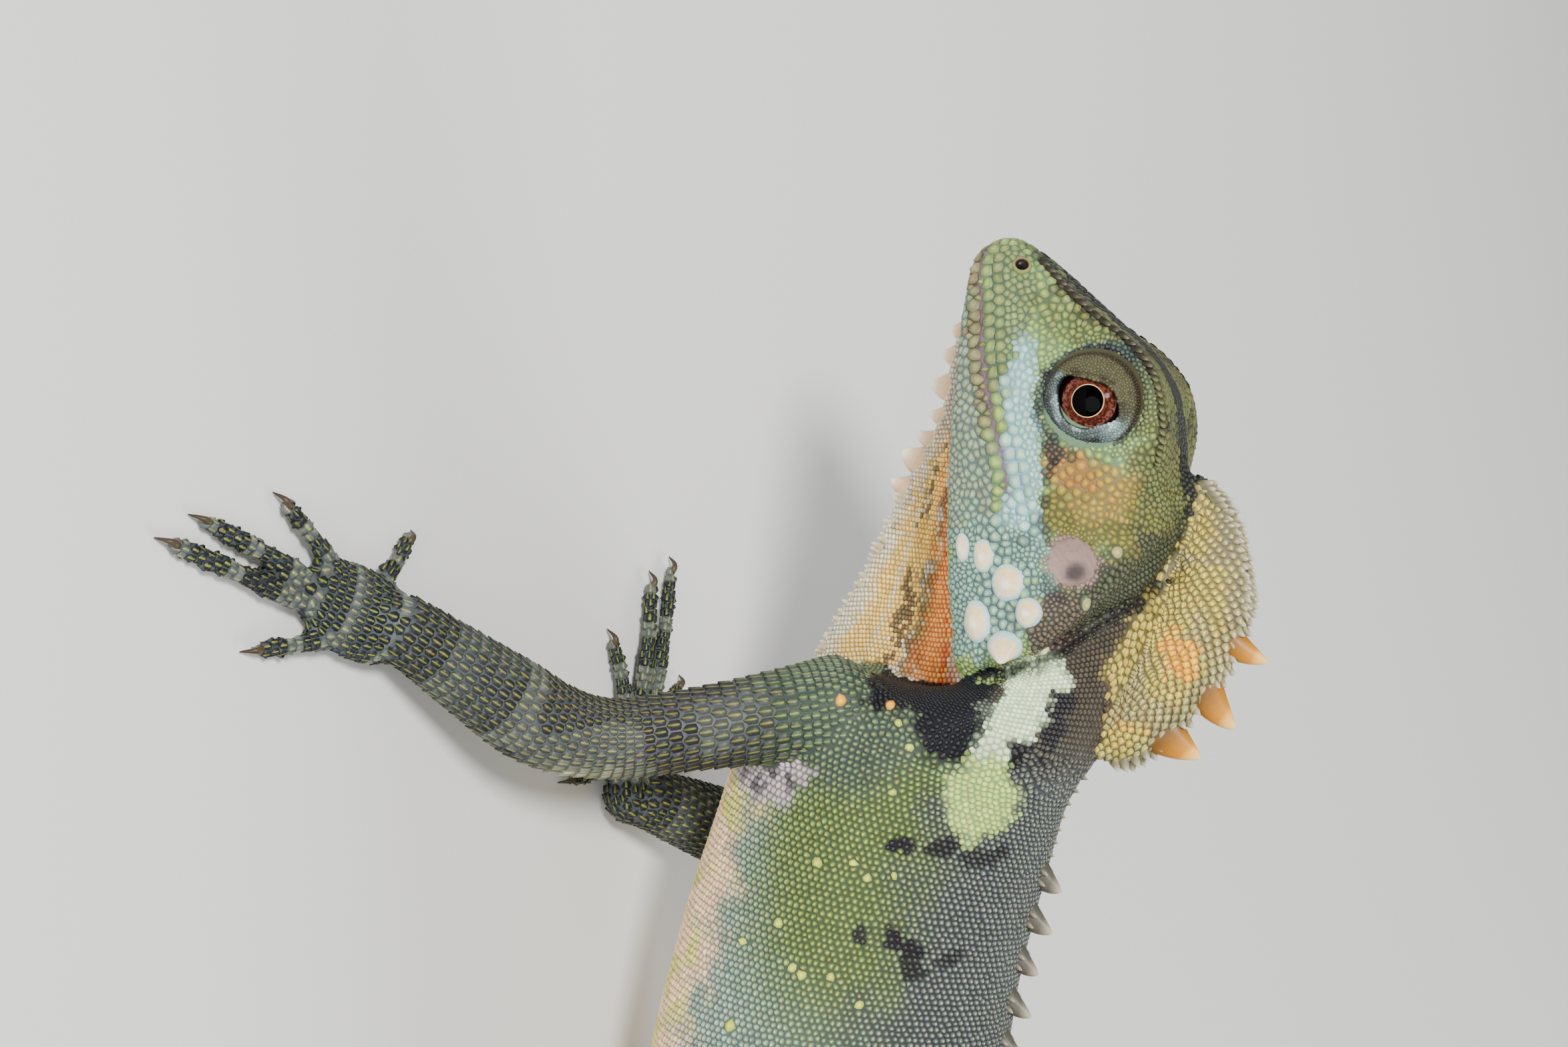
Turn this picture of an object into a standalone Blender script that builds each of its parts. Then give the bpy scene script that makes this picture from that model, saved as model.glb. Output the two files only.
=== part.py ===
"""Forest dragon, an adult male at life size, as a still display model.

Sizes are in millimetres and are turned into metres where a mesh is made.
The animal faces -X, its left side is towards -Y and the floor is at Z = 0.
The trunk, neck and head are drawn in the animal's own section (X along the body,
w to its left, h up), and the front of the body leans over to its right.
"""
import math

import bmesh
import bpy
import numpy as np
from mathutils import Matrix, Vector
from mathutils.bvhtree import BVHTree

MM = 0.001
GAP = 0.3
SEED = 11

# Stance
LEAN = math.radians(12.0)
LEAN_FULL_X = 30.0
LEAN_END_X = 100.0

# Head: one row for each section, each point as (height, half width)
# x, throat height, jaw edge, lip, cheek, side, brow, crown height
HEAD_SECTIONS = (
    (-28.7, 43.2, (43.3, 0.5), (43.5, 0.9), (44.0, 1.1), (44.5, 0.9), (44.8, 0.6), 45.1),
    (-28.0, 42.1, (42.2, 1.1), (42.6, 1.8), (43.8, 2.2), (44.9, 1.9), (45.8, 1.3), 46.3),
    (-27.0, 41.0, (41.2, 1.9), (42.0, 2.7), (43.8, 3.1), (45.5, 2.7), (47.0, 1.8), 47.8),
    (-25.5, 40.5, (40.8, 2.9), (41.9, 3.6), (43.9, 4.0), (46.3, 3.5), (48.5, 2.8), 49.6),
    (-22.5, 40.2, (40.6, 4.4), (42.4, 5.0), (44.6, 5.4), (48.0, 4.7), (51.4, 4.5), 52.8),
    (-20.0, 40.1, (40.5, 5.4), (42.8, 6.1), (45.3, 6.5), (50.0, 5.6), (54.2, 6.0), 55.4),
    (-17.5, 40.0, (40.5, 6.4), (43.1, 7.2), (46.0, 7.6), (52.0, 6.7), (57.5, 7.6), 58.0),
    (-14.0, 39.9, (40.5, 7.6), (43.8, 8.5), (47.3, 9.0), (54.5, 8.2), (60.2, 8.8), 60.4),
    (-10.0, 39.8, (40.5, 8.7), (44.8, 9.6), (48.6, 10.2), (55.5, 9.3), (61.1, 8.9), 61.4),
    (-5.0, 39.7, (40.6, 9.6), (46.4, 10.7), (49.5, 11.1), (55.5, 10.4), (60.5, 8.2), 62.0),
    (0.0, 39.6, (40.8, 10.2), (47.0, 11.4), (50.0, 11.8), (55.5, 10.9), (60.2, 7.6), 62.5),
    (6.0, 39.9, (41.4, 10.3), (47.0, 11.7), (50.0, 12.1), (55.5, 11.0), (60.2, 7.4), 63.0),
    (9.6, 40.4, (42.0, 9.8), (47.0, 11.4), (50.0, 11.8), (55.5, 10.7), (60.2, 7.2), 63.2),
    (10.4, 41.0, (42.6, 8.8), (47.0, 10.5), (50.0, 10.9), (55.5, 9.9), (60.0, 6.7), 62.8),
)
HEAD_RINGS = 28
HEAD_LOW_STEPS = 5
HEAD_HIGH_STEPS = 12
# Row of a head ring that runs along the brow
BROW_ROW = HEAD_LOW_STEPS + 2 + round(HEAD_HIGH_STEPS * 3 / 5)
# Share of the spacing of the head's rings that grows from the snout to the neck
HEAD_SPACING_GROWTH = 0.35
# Width and rise of the throat's flat part, as shares of the jaw edge's
THROAT_FLAT = (0.6, 0.25)
JAW_SWEEP_START = -8.0
JAW_SWEEP_END = 10.4
JAW_MIDDLE_H = 52.5
JAW_SLOPE = -0.80
JAW_BOW = 0.032
MOUTH_START_X = -29.2
MOUTH_FULL_X = -26.6
MOUTH_LEAST = 0.08
MOUTH_END_X = -1.8
MOUTH_FADE = (-3.0, 1.0)
MOUTH_DEPTH = 0.7
MOUTH_HALF_WIDTH = 0.45
LIP_FULLNESS = 0.12

# Eye, lids, ear and nostril: places as (X, h)
EYE_PLACE = (-11.5, 54.4)
EYE_DEPTH_W = 6.9
EYE_RADIUS = 4.2
SOCKET_CLEARANCE = 0.35
ORBIT_RISE = 1.0
ORBIT_REACH = 7.0
LID_INNER_ANGLE = math.radians(39.0)
LID_OUTER_ANGLE = math.radians(62.0)
LID_THICKNESS = 0.95
LID_EDGE_THICKNESS = 0.76
LID_EDGE_TURN = 0.02
LID_FOOT_RISE = 0.4
LID_SINK = 0.3
LID_CORNER = math.radians(5.0)
LID_CORNER_POWER = 6
LID_DROOP = math.radians(2.0)
LID_STEPS = 20
EAR_PLACE = (3.6, 53.0)
EAR_RADIUS = 2.6
EAR_DEPTH = 0.75
EAR_STEPS = (18, 24)
NOSTRIL_PLACE = (-25.3, 46.2)
NOSTRIL_RADII = (0.6, 0.5, 0.3)
NOSTRIL_START = 0.8
NOSTRIL_DEPTH = 1.1

# Jowl plates: X, h, size across, size along, rise
JOWL_PLATES = (
    (2.3, 42.2, 1.3, 2.9, 0.5),
    (3.1, 44.4, 1.9, 3.3, 0.6),
    (5.6, 47.0, 3.1, 3.5, 0.8),
    (8.4, 49.0, 2.6, 2.9, 0.7),
    (9.4, 43.8, 2.9, 4.0, 0.9),
    (11.6, 46.7, 3.2, 3.1, 1.4),
    (2.7, 57.0, 1.8, 1.8, 0.5),
)
# A jowl plate that rises more than this is pointed, with its peak this far back
POINTED_RISE = 1.2
POINTED_BACK = 0.6
PLATE_LIE = (1.0, 0.0, 0.1)
PLATE_VARIATION = 0.06
BROW_PLATES = 9
BROW_PLATE_START_X = -24.6
BROW_PLATE_END_X = -6.0
BROW_TURN_X = -14.0
BROW_PLATE_SLOPE = 0.7
BROW_PLATE_LENGTH = 1.9
BROW_PLATE_WIDTH = 1.2
BROW_PLATE_RISE = 0.4
BROW_PLATE_VARIATION = 0.1
# A plate's root and shoulder as shares of its size, the shoulder's share of its rise, and its sink
PLATE_ROOT = 1.05
PLATE_SHOULDER = 0.66
PLATE_SHOULDER_RISE = 0.75
PLATE_SINK = 0.8

# Neck just behind the jaw: how much lower than the head it is, half width, and flat of the nape
NECK_FRONT_INSET = 0.3
NECK_FRONT_HALF_WIDTH = 10.0
NECK_FRONT_FLAT = 0.9
# Neck and trunk sections: belly point (X, h), back point (X, h), half width, and flat of the nape
NECK_SECTIONS = (
    ((16.3, 37.0), (11.6, 59.4), 10.8, 3.6),
    ((15.6, 33.2), (18.0, 56.4), 11.6, 3.8),
    ((14.6, 29.5), (23.6, 52.6), 12.6, 1.4),
)
TRUNK_SECTIONS = (
    ((14.6, 29.5), (23.6, 52.6), 12.6),
    ((16.4, 21.6), (28.0, 49.8), 13.9),
    ((21.5, 16.6), (32.0, 48.5), 14.7),
    ((29.5, 13.6), (37.5, 47.0), 15.2),
    ((40.0, 10.2), (46.0, 45.0), 15.9),
    ((56.2, 6.6), (58.0, 43.3), 16.5),
    ((76.0, 4.8), (76.0, 39.6), 15.9),
    ((94.0, 4.0), (94.0, 33.6), 14.0),
    ((110.0, 3.6), (110.0, 26.0), 11.4),
    ((122.0, 2.8), (122.0, 20.0), 8.8),
)
NECK_RINGS = 9
TRUNK_RINGS = 24
RING_STEPS = 14
# Fullness of a section, and how much narrower it grows towards the back
SECTION_POWER = 0.88
BACK_ROOF = 0.30
BACK_ROOF_POWER = 1.5
NAPE_SHOULDER = 0.6
# Shares of the neck's and the trunk's length along which the front end's shape fades out
NECK_FADE = 0.6
TRUNK_FADE = 0.08
# How far the belly moves forward for each unit that a section grows
BELLY_FORWARD = 1.3

# Tail: distance along it, belly height, back height, half width
TAIL_SECTIONS = (
    (122.0, 2.8, 20.0, 8.8),
    (135.0, 1.2, 16.9, 7.4),
    (152.0, -0.1, 14.6, 6.1),
    (178.0, -0.15, 12.4, 5.2),
    (235.0, -0.15, 9.2, 3.9),
    (295.0, -0.15, 6.4, 2.8),
    (360.0, -0.15, 4.0, 1.9),
    (422.0, -0.15, 1.9, 0.95),
    (432.0, -0.1, 1.2, 0.55),
)
TAIL_CUTS = (122.0, 176.0, 236.0, 298.0, 364.0, 432.0)
TAIL_SWING = math.radians(24.0)
TAIL_SWING_START = 112.0
TAIL_SWING_LENGTH = 330.0
TAIL_SWING_EASE = (114.0, 162.0)
TAIL_RINGS_EACH = 8
TAIL_STEPS = 7

# Dewlap: its free edge from chin to chest as (X, h), and its half thickness
DEWLAP_EDGE = (
    (-21.8, 39.3), (-17.5, 38.1), (-11.4, 36.9), (-7.4, 34.8), (-4.0, 32.6),
    (1.5, 29.6), (6.9, 25.8), (11.0, 22.8), (13.6, 22.4),
)
DEWLAP_ROOT_H = 39.6
DEWLAP_FRONT_X = -21.2
DEWLAP_REAR_GAP = 1.1
DEWLAP_ROOT_HALF = 2.3
DEWLAP_EDGE_HALF = 0.8
DEWLAP_THINNING = 0.8
DEWLAP_FRONT_SHARE = 0.35
DEWLAP_FRONT_END = 0.12
DEWLAP_REAR_POWER = 5
DEWLAP_PLEATS = 6.0
DEWLAP_PLEAT_DEPTH = 0.6
DEWLAP_PLEAT_POWER = 0.6
DEWLAP_RINGS = 27
DEWLAP_STEPS = 5
# Dewlap spines: X, h of the tip and length along the edge
DEWLAP_SPINES = (
    (-19.9, 37.9, 2.2), (-17.4, 36.9, 2.4), (-14.3, 35.6, 3.2), (-11.4, 35.6, 2.2),
    (-9.4, 34.2, 2.2), (-7.6, 32.6, 3.2), (-4.6, 31.4, 2.2),
)
DEWLAP_SPINE_ROOT = 0.3
DEWLAP_SPINE_HALF_WIDTH = 0.75
DEWLAP_SPINE_SINK = 0.8
DEWLAP_TEETH = 8
DEWLAP_TEETH_SPAN = (0.58, 0.90)
DEWLAP_TOOTH_LENGTH = 0.9
DEWLAP_TOOTH_HALF_WIDTH = 0.55

# Nuchal crest: outline from front to back as (X, h)
CREST_EDGE = (
    (-2.6, 64.6), (-1.0, 66.4), (1.7, 67.4), (4.8, 67.9), (8.0, 68.0), (12.6, 66.6),
    (16.4, 64.4), (20.4, 60.8), (23.0, 57.4), (23.8, 54.6),
)
CREST_ROOT_HALF = 3.3
CREST_EDGE_HALF = 0.7
CREST_RINGS = 18
# Part of the neck's length that the crest stands on, and its root's height over the nape
CREST_SPAN = (0.03, 0.97)
CREST_LIFT = 0.12
# Share of the crest's height, and its half thickness there as a share of the root's
CREST_PROFILE = (
    (0.0, 0.85), (0.25, 1.0), (0.55, 0.8), (0.85, 0.45), (1.0, CREST_EDGE_HALF / CREST_ROOT_HALF),
)
# Large horn spines: base from, base to, tip, each (X, h)
CREST_SPINES = (
    ((10.0, 67.2), (13.0, 65.8), (13.4, 69.7)),
    ((14.6, 65.4), (18.2, 63.0), (19.9, 66.5)),
    ((19.3, 61.8), (22.4, 58.6), (22.9, 63.2)),
)
CREST_SPINE_ROOT = 0.4
CREST_SPINE_HALF_WIDTH = 1.25
CREST_SPINE_SINK = 1.3
CREST_TEETH = 9
CREST_TEETH_SPAN = (0.10, 0.52)
CREST_TOOTH_HALF_WIDTH = 0.5
CREST_TOOTH_LEAN = 0.4
TOOTH_SINK = 0.6

# Spines along the back and the tail's first lengths
BACK_SPINE_START_X = 36.5
BACK_SPINE_SPACING = 4.1
BACK_SPINE_COUNT = 20
BACK_SPINE_RISE = 2.6
BACK_SPINE_HALF_LENGTH = 1.45
BACK_SPINE_HALF_WIDTH = 0.75
BACK_SPINE_SINK = 0.9
BACK_SPINE_FADE = 0.45
TAIL_SPINE_COUNT = 9
TAIL_SPINE_RISES = (1.4, 0.9)
TAIL_SPINE_MARGIN = 3.0
TAIL_SPINE_LENGTH = 2.0
TAIL_SPINE_HALF_WIDTH = 0.55
TAIL_SPINE_SINK = 0.7
SPINE_ROOT = 0.1
SPINE_LEAN = 0.3
SPINE_VARIATION = 0.1
SPINE_MIDDLE_WIDTH = 0.52

# Limbs: joints as (x, y, z) and radii
LEFT_ARM = ((17.8, 0.0, 33.0), (21.6, -20.4, 11.2), (10.2, -36.2, 4.6))
RIGHT_ARM = ((19.0, 14.0, 30.0), (37.0, 19.0, 9.0), (29.5, 0.5, 4.6))
LEFT_HAND_HEADING = (-0.426, -0.904)
RIGHT_HAND_HEADING = (-0.97, 0.24)
ARM_RADII = (6.0, 4.3, 3.9, 4.4, 4.0, 3.1)
LEFT_LEG = ((104.0, -5.0, 15.0), (83.0, -33.0, 20.0), (104.0, -46.0, 5.4))
RIGHT_LEG = ((104.0, 5.0, 15.0), (86.0, 35.0, 20.0), (107.0, 46.0, 5.4))
LEFT_FOOT_HEADING = (-0.90, -0.436)
RIGHT_FOOT_HEADING = (-0.93, 0.368)
LEG_RADII = (8.2, 6.6, 5.0, 5.4, 4.2, 3.2)
LIMB_RINGS = 8
LIMB_SIDES = 12
LIMB_UP = (1.0, 0.0, 0.2)
LIMB_CLEARANCE = 0.36
ELBOW_ROUNDING = 0.32
ROOT_ROUNDING = 0.6

# Digits: root and tip (forward, towards the inner digit), root radius
HAND_DIGITS = (
    ((3.2, 3.0), (0.4, 9.6), 1.1),
    ((8.4, 2.4), (16.2, 5.8), 1.1),
    ((9.6, 0.4), (23.8, 0.4), 1.15),
    ((9.0, -1.6), (26.2, -2.8), 1.15),
    ((6.0, -3.0), (13.8, -7.4), 1.1),
)
FOOT_DIGITS = (
    ((10.4, 2.8), (16.4, 8.2), 1.15),
    ((12.6, 1.9), (23.6, 8.0), 1.2),
    ((13.6, 0.4), (32.0, 5.4), 1.25),
    ((13.2, -1.5), (40.0, -1.2), 1.3),
    ((6.0, -2.8), (17.0, -12.0), 1.15),
)
DIGIT_SIDES = 6
DIGIT_RINGS = 6
DIGIT_SINK = 1.6
DIGIT_FLATNESS = 0.92
DIGIT_ROOT_HEIGHT = 1.55
DIGIT_TIP_HEIGHT = 0.75
DIGIT_ARCH = 0.5
DIGIT_TAPER = 0.34
KNUCKLE_SWELL = 0.07
KNUCKLE_TURNS = 5
# Claws: how far each ring lies ahead of the digit's tip and above it, and its radius
CLAW_RINGS = ((-0.6, 0.1, 0.5), (0.7, 0.32, 0.38), (1.6, -0.4, 0.1))
CLAW_SIDES = 5

# Palms and soles: length, half width, height
HAND_PALM = (11.2, 4.3, 2.5)
FOOT_PALM = (15.4, 4.3, 2.7)
PALM_SIDES = 10
PALM_RINGS = 6
PALM_REACH_BACK = 2.0
PALM_HEEL_RISE = 0.3
PALM_END_HEIGHT = 1.3
PALM_BACK_HEIGHT = 1.4
PALM_MIDDLE_HEIGHT = 0.85
PALM_BACK_WIDTHS = (1.6, 3.0)
PALM_FRONT_WIDTH = 0.8
PALM_END_WIDTH = 1.9
HEEL_EXTRA = 0.75
HEEL_REACH = 1.5

FLOOR_BLOCK = (-200.0, 600.0, -20.0)
GLOSSY = 0.08
SATIN = 0.6
SHARP_ANGLE = math.radians(50.0)
COLOURS = {
    "head": (0.36, 0.40, 0.24), "eye": (0.16, 0.05, 0.03), "dewlap": (0.62, 0.30, 0.12),
    "neck": (0.22, 0.20, 0.14), "nuchal_crest": (0.46, 0.36, 0.12), "torso": (0.26, 0.32, 0.16),
    "tail": (0.20, 0.19, 0.13), "arm": (0.22, 0.23, 0.15), "hand": (0.13, 0.14, 0.10),
    "leg": (0.20, 0.21, 0.14), "foot": (0.13, 0.13, 0.10),
}


def smooth(keys, values, at):
    """Read a smooth curve through the keyed values, of one or more columns."""
    keys = np.asarray(keys, float)
    values = np.asarray(values, float)
    flat = values.ndim == 1
    if flat:
        values = values[:, None]
    steps = np.diff(keys)[:, None]
    slopes = np.diff(values, axis=0) / steps
    tangents = np.empty_like(values)
    tangents[0] = slopes[0]
    tangents[-1] = slopes[-1]
    weights = steps[1:] + steps[:-1]
    tangents[1:-1] = (slopes[:-1] * steps[1:] + slopes[1:] * steps[:-1]) / weights
    at = np.clip(np.atleast_1d(np.asarray(at, float)), keys[0], keys[-1])
    spot = np.clip(np.searchsorted(keys, at, side="right") - 1, 0, len(keys) - 2)
    width = np.diff(keys)[spot]
    t = ((at - keys[spot]) / width)[:, None]
    width = width[:, None]
    result = ((2 * t**3 - 3 * t**2 + 1) * values[spot] + (t**3 - 2 * t**2 + t) * width * tangents[spot]
              + (3 * t**2 - 2 * t**3) * values[spot + 1] + (t**3 - t**2) * width * tangents[spot + 1])
    return result[:, 0] if flat else result


def ramp(start, end, value):
    """Ease from 0 at start to 1 at end."""
    t = np.clip((np.asarray(value, float) - start) / (end - start), 0.0, 1.0)
    return t * t * (3 - 2 * t)


def place(x, w, h):
    """Turn body coordinates into world ones, with the front of the body leaning over."""
    lean = LEAN * (1 - ramp(LEAN_FULL_X, LEAN_END_X, x))
    return np.stack(np.broadcast_arrays(
        x, h * np.sin(lean) - w * np.cos(lean), h * np.cos(lean) + w * np.sin(lean)), axis=-1)


def unit(vector):
    """The vector at length 1."""
    vector = np.asarray(vector, float)
    return vector / np.linalg.norm(vector)


def solid(name, points, faces):
    """Make an object from points in millimetres, with its faces turned outwards."""
    mesh = bpy.data.meshes.new(name)
    mesh.from_pydata([tuple(p) for p in np.asarray(points, float) * MM], [], faces)
    work = bmesh.new()
    work.from_mesh(mesh)
    bmesh.ops.recalc_face_normals(work, faces=work.faces)
    work.to_mesh(mesh)
    work.free()
    item = bpy.data.objects.new(name, mesh)
    bpy.context.scene.collection.objects.link(item)
    return item


def loft(name, rings, ladder=False):
    """Skin a row of rings and close both ends, with a fan or, for mirrored rings, a ladder."""
    count = len(rings[0])
    faces = []
    for ring in range(len(rings) - 1):
        for spot in range(count):
            after = (spot + 1) % count
            faces.append((ring * count + spot, ring * count + after,
                          (ring + 1) * count + after, (ring + 1) * count + spot))
    points = np.concatenate(rings)
    for start in (0, (len(rings) - 1) * count):
        if ladder:
            half = count // 2
            faces.append((start, start + 1, start + count - 1))
            for rung in range(1, half - 1):
                faces.append((start + rung, start + rung + 1, start + count - rung - 1, start + count - rung))
            faces.append((start + half - 1, start + half, start + half + 1))
        else:
            centre = len(points)
            points = np.vstack([points, np.mean(points[start:start + count], axis=0)])
            for spot in range(count):
                faces.append((start + spot, start + (spot + 1) % count, centre))
    return solid(name, points, faces)


def tube(name, path, radii, sides, flatten=1.0, up=(0.0, 0.0, 1.0)):
    """A closed tube along a path, with each ring square to it."""
    return loft(name, tube_rings(path, radii, sides, flatten, up))


def tube_rings(path, radii, sides, flatten=1.0, up=(0.0, 0.0, 1.0)):
    """Rings square to a path, as flat ovals or circles."""
    path = np.asarray(path, float)
    tangents = np.gradient(path, axis=0)
    across = np.cross(up, tangents[0])
    angles = np.arange(sides) * 2 * np.pi / sides
    rings = []
    for point, tangent, radius in zip(path, tangents, radii):
        forward = unit(tangent)
        across = unit(across - forward * np.dot(across, forward))
        upward = np.cross(forward, across)
        rings.append(point + radius * (np.cos(angles)[:, None] * across
                                       + flatten * np.sin(angles)[:, None] * upward))
    return rings


def spine(name, start, end, tip, half_width, sink, sides=6):
    """A compressed cone on the base from start to end, sunk into what it grows from."""
    start, end, tip = (np.asarray(p, float) for p in (start, end, tip))
    centre = (start + end) / 2
    along = (end - start) / 2
    rise = tip - centre
    across = unit(np.cross(along, rise)) * half_width
    angles = np.arange(sides) * 2 * np.pi / sides
    oval = np.cos(angles)[:, None] * along + np.sin(angles)[:, None] * across
    root = centre - unit(rise) * sink
    middle = centre + rise * 0.5
    rings = [root + oval, middle + oval * SPINE_MIDDLE_WIDTH]
    points = np.vstack([rings[0], rings[1], tip[None]])
    faces = [tuple(range(sides))]
    for spot in range(sides):
        after = (spot + 1) % sides
        faces.append((spot, after, sides + after, sides + spot))
        faces.append((sides + spot, sides + after, 2 * sides))
    return solid(name, points, faces)


def dome(name, centre, normal, along, length, width, rise, sides=8, peak_back=0.0):
    """A low domed plate with its root sunk in the surface that it grows from."""
    normal = unit(normal)
    along = unit(np.asarray(along) - normal * np.dot(along, normal))
    across = np.cross(normal, along)
    angles = np.arange(sides) * 2 * np.pi / sides
    oval = (np.cos(angles)[:, None] * along * length + np.sin(angles)[:, None] * across * width) / 2
    root = centre - normal * PLATE_SINK + oval * PLATE_ROOT
    shoulder = centre + normal * rise * PLATE_SHOULDER_RISE + along * peak_back * 0.5 + oval * PLATE_SHOULDER
    peak = centre + normal * rise + along * peak_back
    points = np.vstack([root, shoulder, peak[None]])
    faces = [tuple(range(sides))]
    for spot in range(sides):
        after = (spot + 1) % sides
        faces.append((spot, after, sides + after, sides + spot))
        faces.append((sides + spot, sides + after, 2 * sides))
    return solid(name, points, faces)


def ball(name, centre, radius, segments=16, rows=10, pole=(0.0, -1.0, 0.0)):
    """A sphere whose pole points along the given direction."""
    work = bmesh.new()
    bmesh.ops.create_uvsphere(work, u_segments=segments, v_segments=rows, radius=radius * MM)
    turn = Vector((0, 0, 1)).rotation_difference(Vector(pole)).to_matrix().to_4x4()
    bmesh.ops.transform(work, matrix=Matrix.Translation(Vector(centre) * MM) @ turn, verts=work.verts)
    mesh = bpy.data.meshes.new(name)
    work.to_mesh(mesh)
    work.free()
    item = bpy.data.objects.new(name, mesh)
    bpy.context.scene.collection.objects.link(item)
    return item


def keep_largest(item):
    """Keep only the largest closed surface of a mesh."""
    work = bmesh.new()
    work.from_mesh(item.data)
    work.verts.ensure_lookup_table()
    seen = set()
    groups = []
    for vert in work.verts:
        if vert.index in seen:
            continue
        group = []
        waiting = [vert]
        seen.add(vert.index)
        while waiting:
            spot = waiting.pop()
            group.append(spot)
            for edge in spot.link_edges:
                other = edge.other_vert(spot)
                if other.index not in seen:
                    seen.add(other.index)
                    waiting.append(other)
        groups.append(group)
    groups.sort(key=len)
    for group in groups[:-1]:
        bmesh.ops.delete(work, geom=group, context="VERTS")
    work.to_mesh(item.data)
    work.free()


def combine(item, pieces, operation, solver="EXACT"):
    """Apply one Boolean of a collection of closed pieces to an object."""
    group = bpy.data.collections.new(item.name + "_pieces")
    bpy.context.scene.collection.children.link(group)
    for piece in pieces:
        bpy.context.scene.collection.objects.unlink(piece)
        group.objects.link(piece)
    change = item.modifiers.new("combine", "BOOLEAN")
    change.operand_type = "COLLECTION"
    change.collection = group
    change.operation = operation
    change.solver = solver
    bpy.context.view_layer.update()
    graph = bpy.context.evaluated_depsgraph_get()
    mesh = bpy.data.meshes.new_from_object(item.evaluated_get(graph))
    item.modifiers.clear()
    item.data = mesh
    for piece in pieces:
        bpy.data.objects.remove(piece)
    bpy.data.collections.remove(group)
    keep_largest(item)


def fuse(item, pieces):
    """Join closed pieces to an object in one union."""
    combine(item, pieces, "UNION")


def cut(item, pieces):
    """Take closed pieces off an object in one difference."""
    combine(item, pieces, "DIFFERENCE")


def floor_block():
    """A block below the floor, which takes off what would reach under it."""
    low, high, bottom = FLOOR_BLOCK
    corners = [(x, y, z) for x in (low, high) for y in (low, -low) for z in (bottom, 0.0)]
    faces = [(0, 1, 3, 2), (4, 6, 7, 5), (0, 4, 5, 1), (2, 3, 7, 6), (0, 2, 6, 4), (1, 5, 7, 3)]
    return solid("floor_block", corners, faces)


# Head


def jaw_sweep(x, h):
    """How far a head section leans back at a height, as the rear edge of the jaw does."""
    share = ramp(JAW_SWEEP_START, JAW_SWEEP_END, x)
    rise = h - JAW_MIDDLE_H
    return share * (JAW_SLOPE * rise - JAW_BOW * rise**2)


def head_half_ring(x):
    """The left half of a head section from throat to crown, as rows of (w, h)."""
    keys = [row[0] for row in HEAD_SECTIONS]
    columns = [np.hstack([row[1], *row[2:7], row[7]]) for row in HEAD_SECTIONS]
    values = smooth(keys, columns, x)[0]
    throat, crown = values[0], values[-1]
    jaw, lip, cheek, side, brow = values[1:-1].reshape(5, 2)
    opening = max(ramp(MOUTH_START_X, MOUTH_FULL_X, x), MOUTH_LEAST)
    fade = 1 - ramp(MOUTH_END_X + MOUTH_FADE[0], MOUTH_END_X + MOUTH_FADE[1], x)
    depth = MOUTH_DEPTH * fade * opening
    half = MOUTH_HALF_WIDTH * opening
    lip_w = lip[1] + LIP_FULLNESS * opening
    flat_w, flat_rise = THROAT_FLAT
    low = np.array([(0.0, throat), (jaw[1] * flat_w, throat + (jaw[0] - throat) * flat_rise),
                    (jaw[1], jaw[0]), (lip_w, lip[0] - half)])
    high = np.array([(lip_w, lip[0] + half), (cheek[1], cheek[0]), (side[1], side[0]), (brow[1], brow[0]),
                     (brow[1] * 0.5, (brow[0] + crown) / 2), (0.0, crown)])
    groove = np.array([[lip[1] - depth, lip[0]]])
    low = smooth(np.arange(len(low)), low, np.linspace(0, len(low) - 1, HEAD_LOW_STEPS + 1))
    high = smooth(np.arange(len(high)), high, np.linspace(0, len(high) - 1, HEAD_HIGH_STEPS + 1))
    return np.vstack([low, groove, high])


def head_ring(x):
    """A whole head section, with X and height along its left half."""
    half = head_half_ring(x)
    w, h = half[:, 0].copy(), half[:, 1]
    along = x + jaw_sweep(x, h)
    reach = np.hypot(along - EYE_PLACE[0], h - EYE_PLACE[1]) / ORBIT_REACH
    w += ORBIT_RISE * np.clip(1 - reach**2, 0, 1)**2
    left = place(along, w, h)
    right = place(along, -w, h)
    return np.vstack([left, right[-2:0:-1]]), along, h


def head_rings():
    """The head's rings, closer together at the snout."""
    tip = HEAD_SECTIONS[0][0]
    share = np.linspace(0, 1, HEAD_RINGS)
    spread = HEAD_SPACING_GROWTH * share**2 + (1 - HEAD_SPACING_GROWTH) * share
    stations = tip + (JAW_SWEEP_END - tip) * spread
    return [head_ring(x)[0] for x in stations]


def throat_line(xs):
    """Height of the throat's middle line at each X."""
    tip = HEAD_SECTIONS[0][0]
    rows = []
    for x in np.linspace(tip, JAW_SWEEP_END, 60):
        _, along, h = head_ring(x)
        rows.append((along[0], h[0]))
    rows = np.array(rows)
    return np.interp(xs, rows[:, 0], rows[:, 1])


def surface_of(item):
    """A search tree over an object's faces."""
    work = bmesh.new()
    work.from_mesh(item.data)
    tree = BVHTree.FromBMesh(work)
    work.free()
    return tree


def surface_point(tree, x, h, side):
    """The point on a side of the body at (X, h), with the normal there."""
    start = place(x, 40.0 * side, h) * MM
    inward = unit(place(x, 0.0, h) - place(x, side, h))
    hit, normal, _, _ = tree.ray_cast(Vector(start), Vector(inward))
    return np.array(hit) / MM, np.array(normal)


def outward(side):
    """The way out of one side of the head."""
    return unit(place(0.0, side, 0.0) - place(0.0, 0.0, 0.0))


def eye_centre(side):
    """The middle of one eye."""
    return place(EYE_PLACE[0], EYE_DEPTH_W * side, EYE_PLACE[1])


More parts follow.
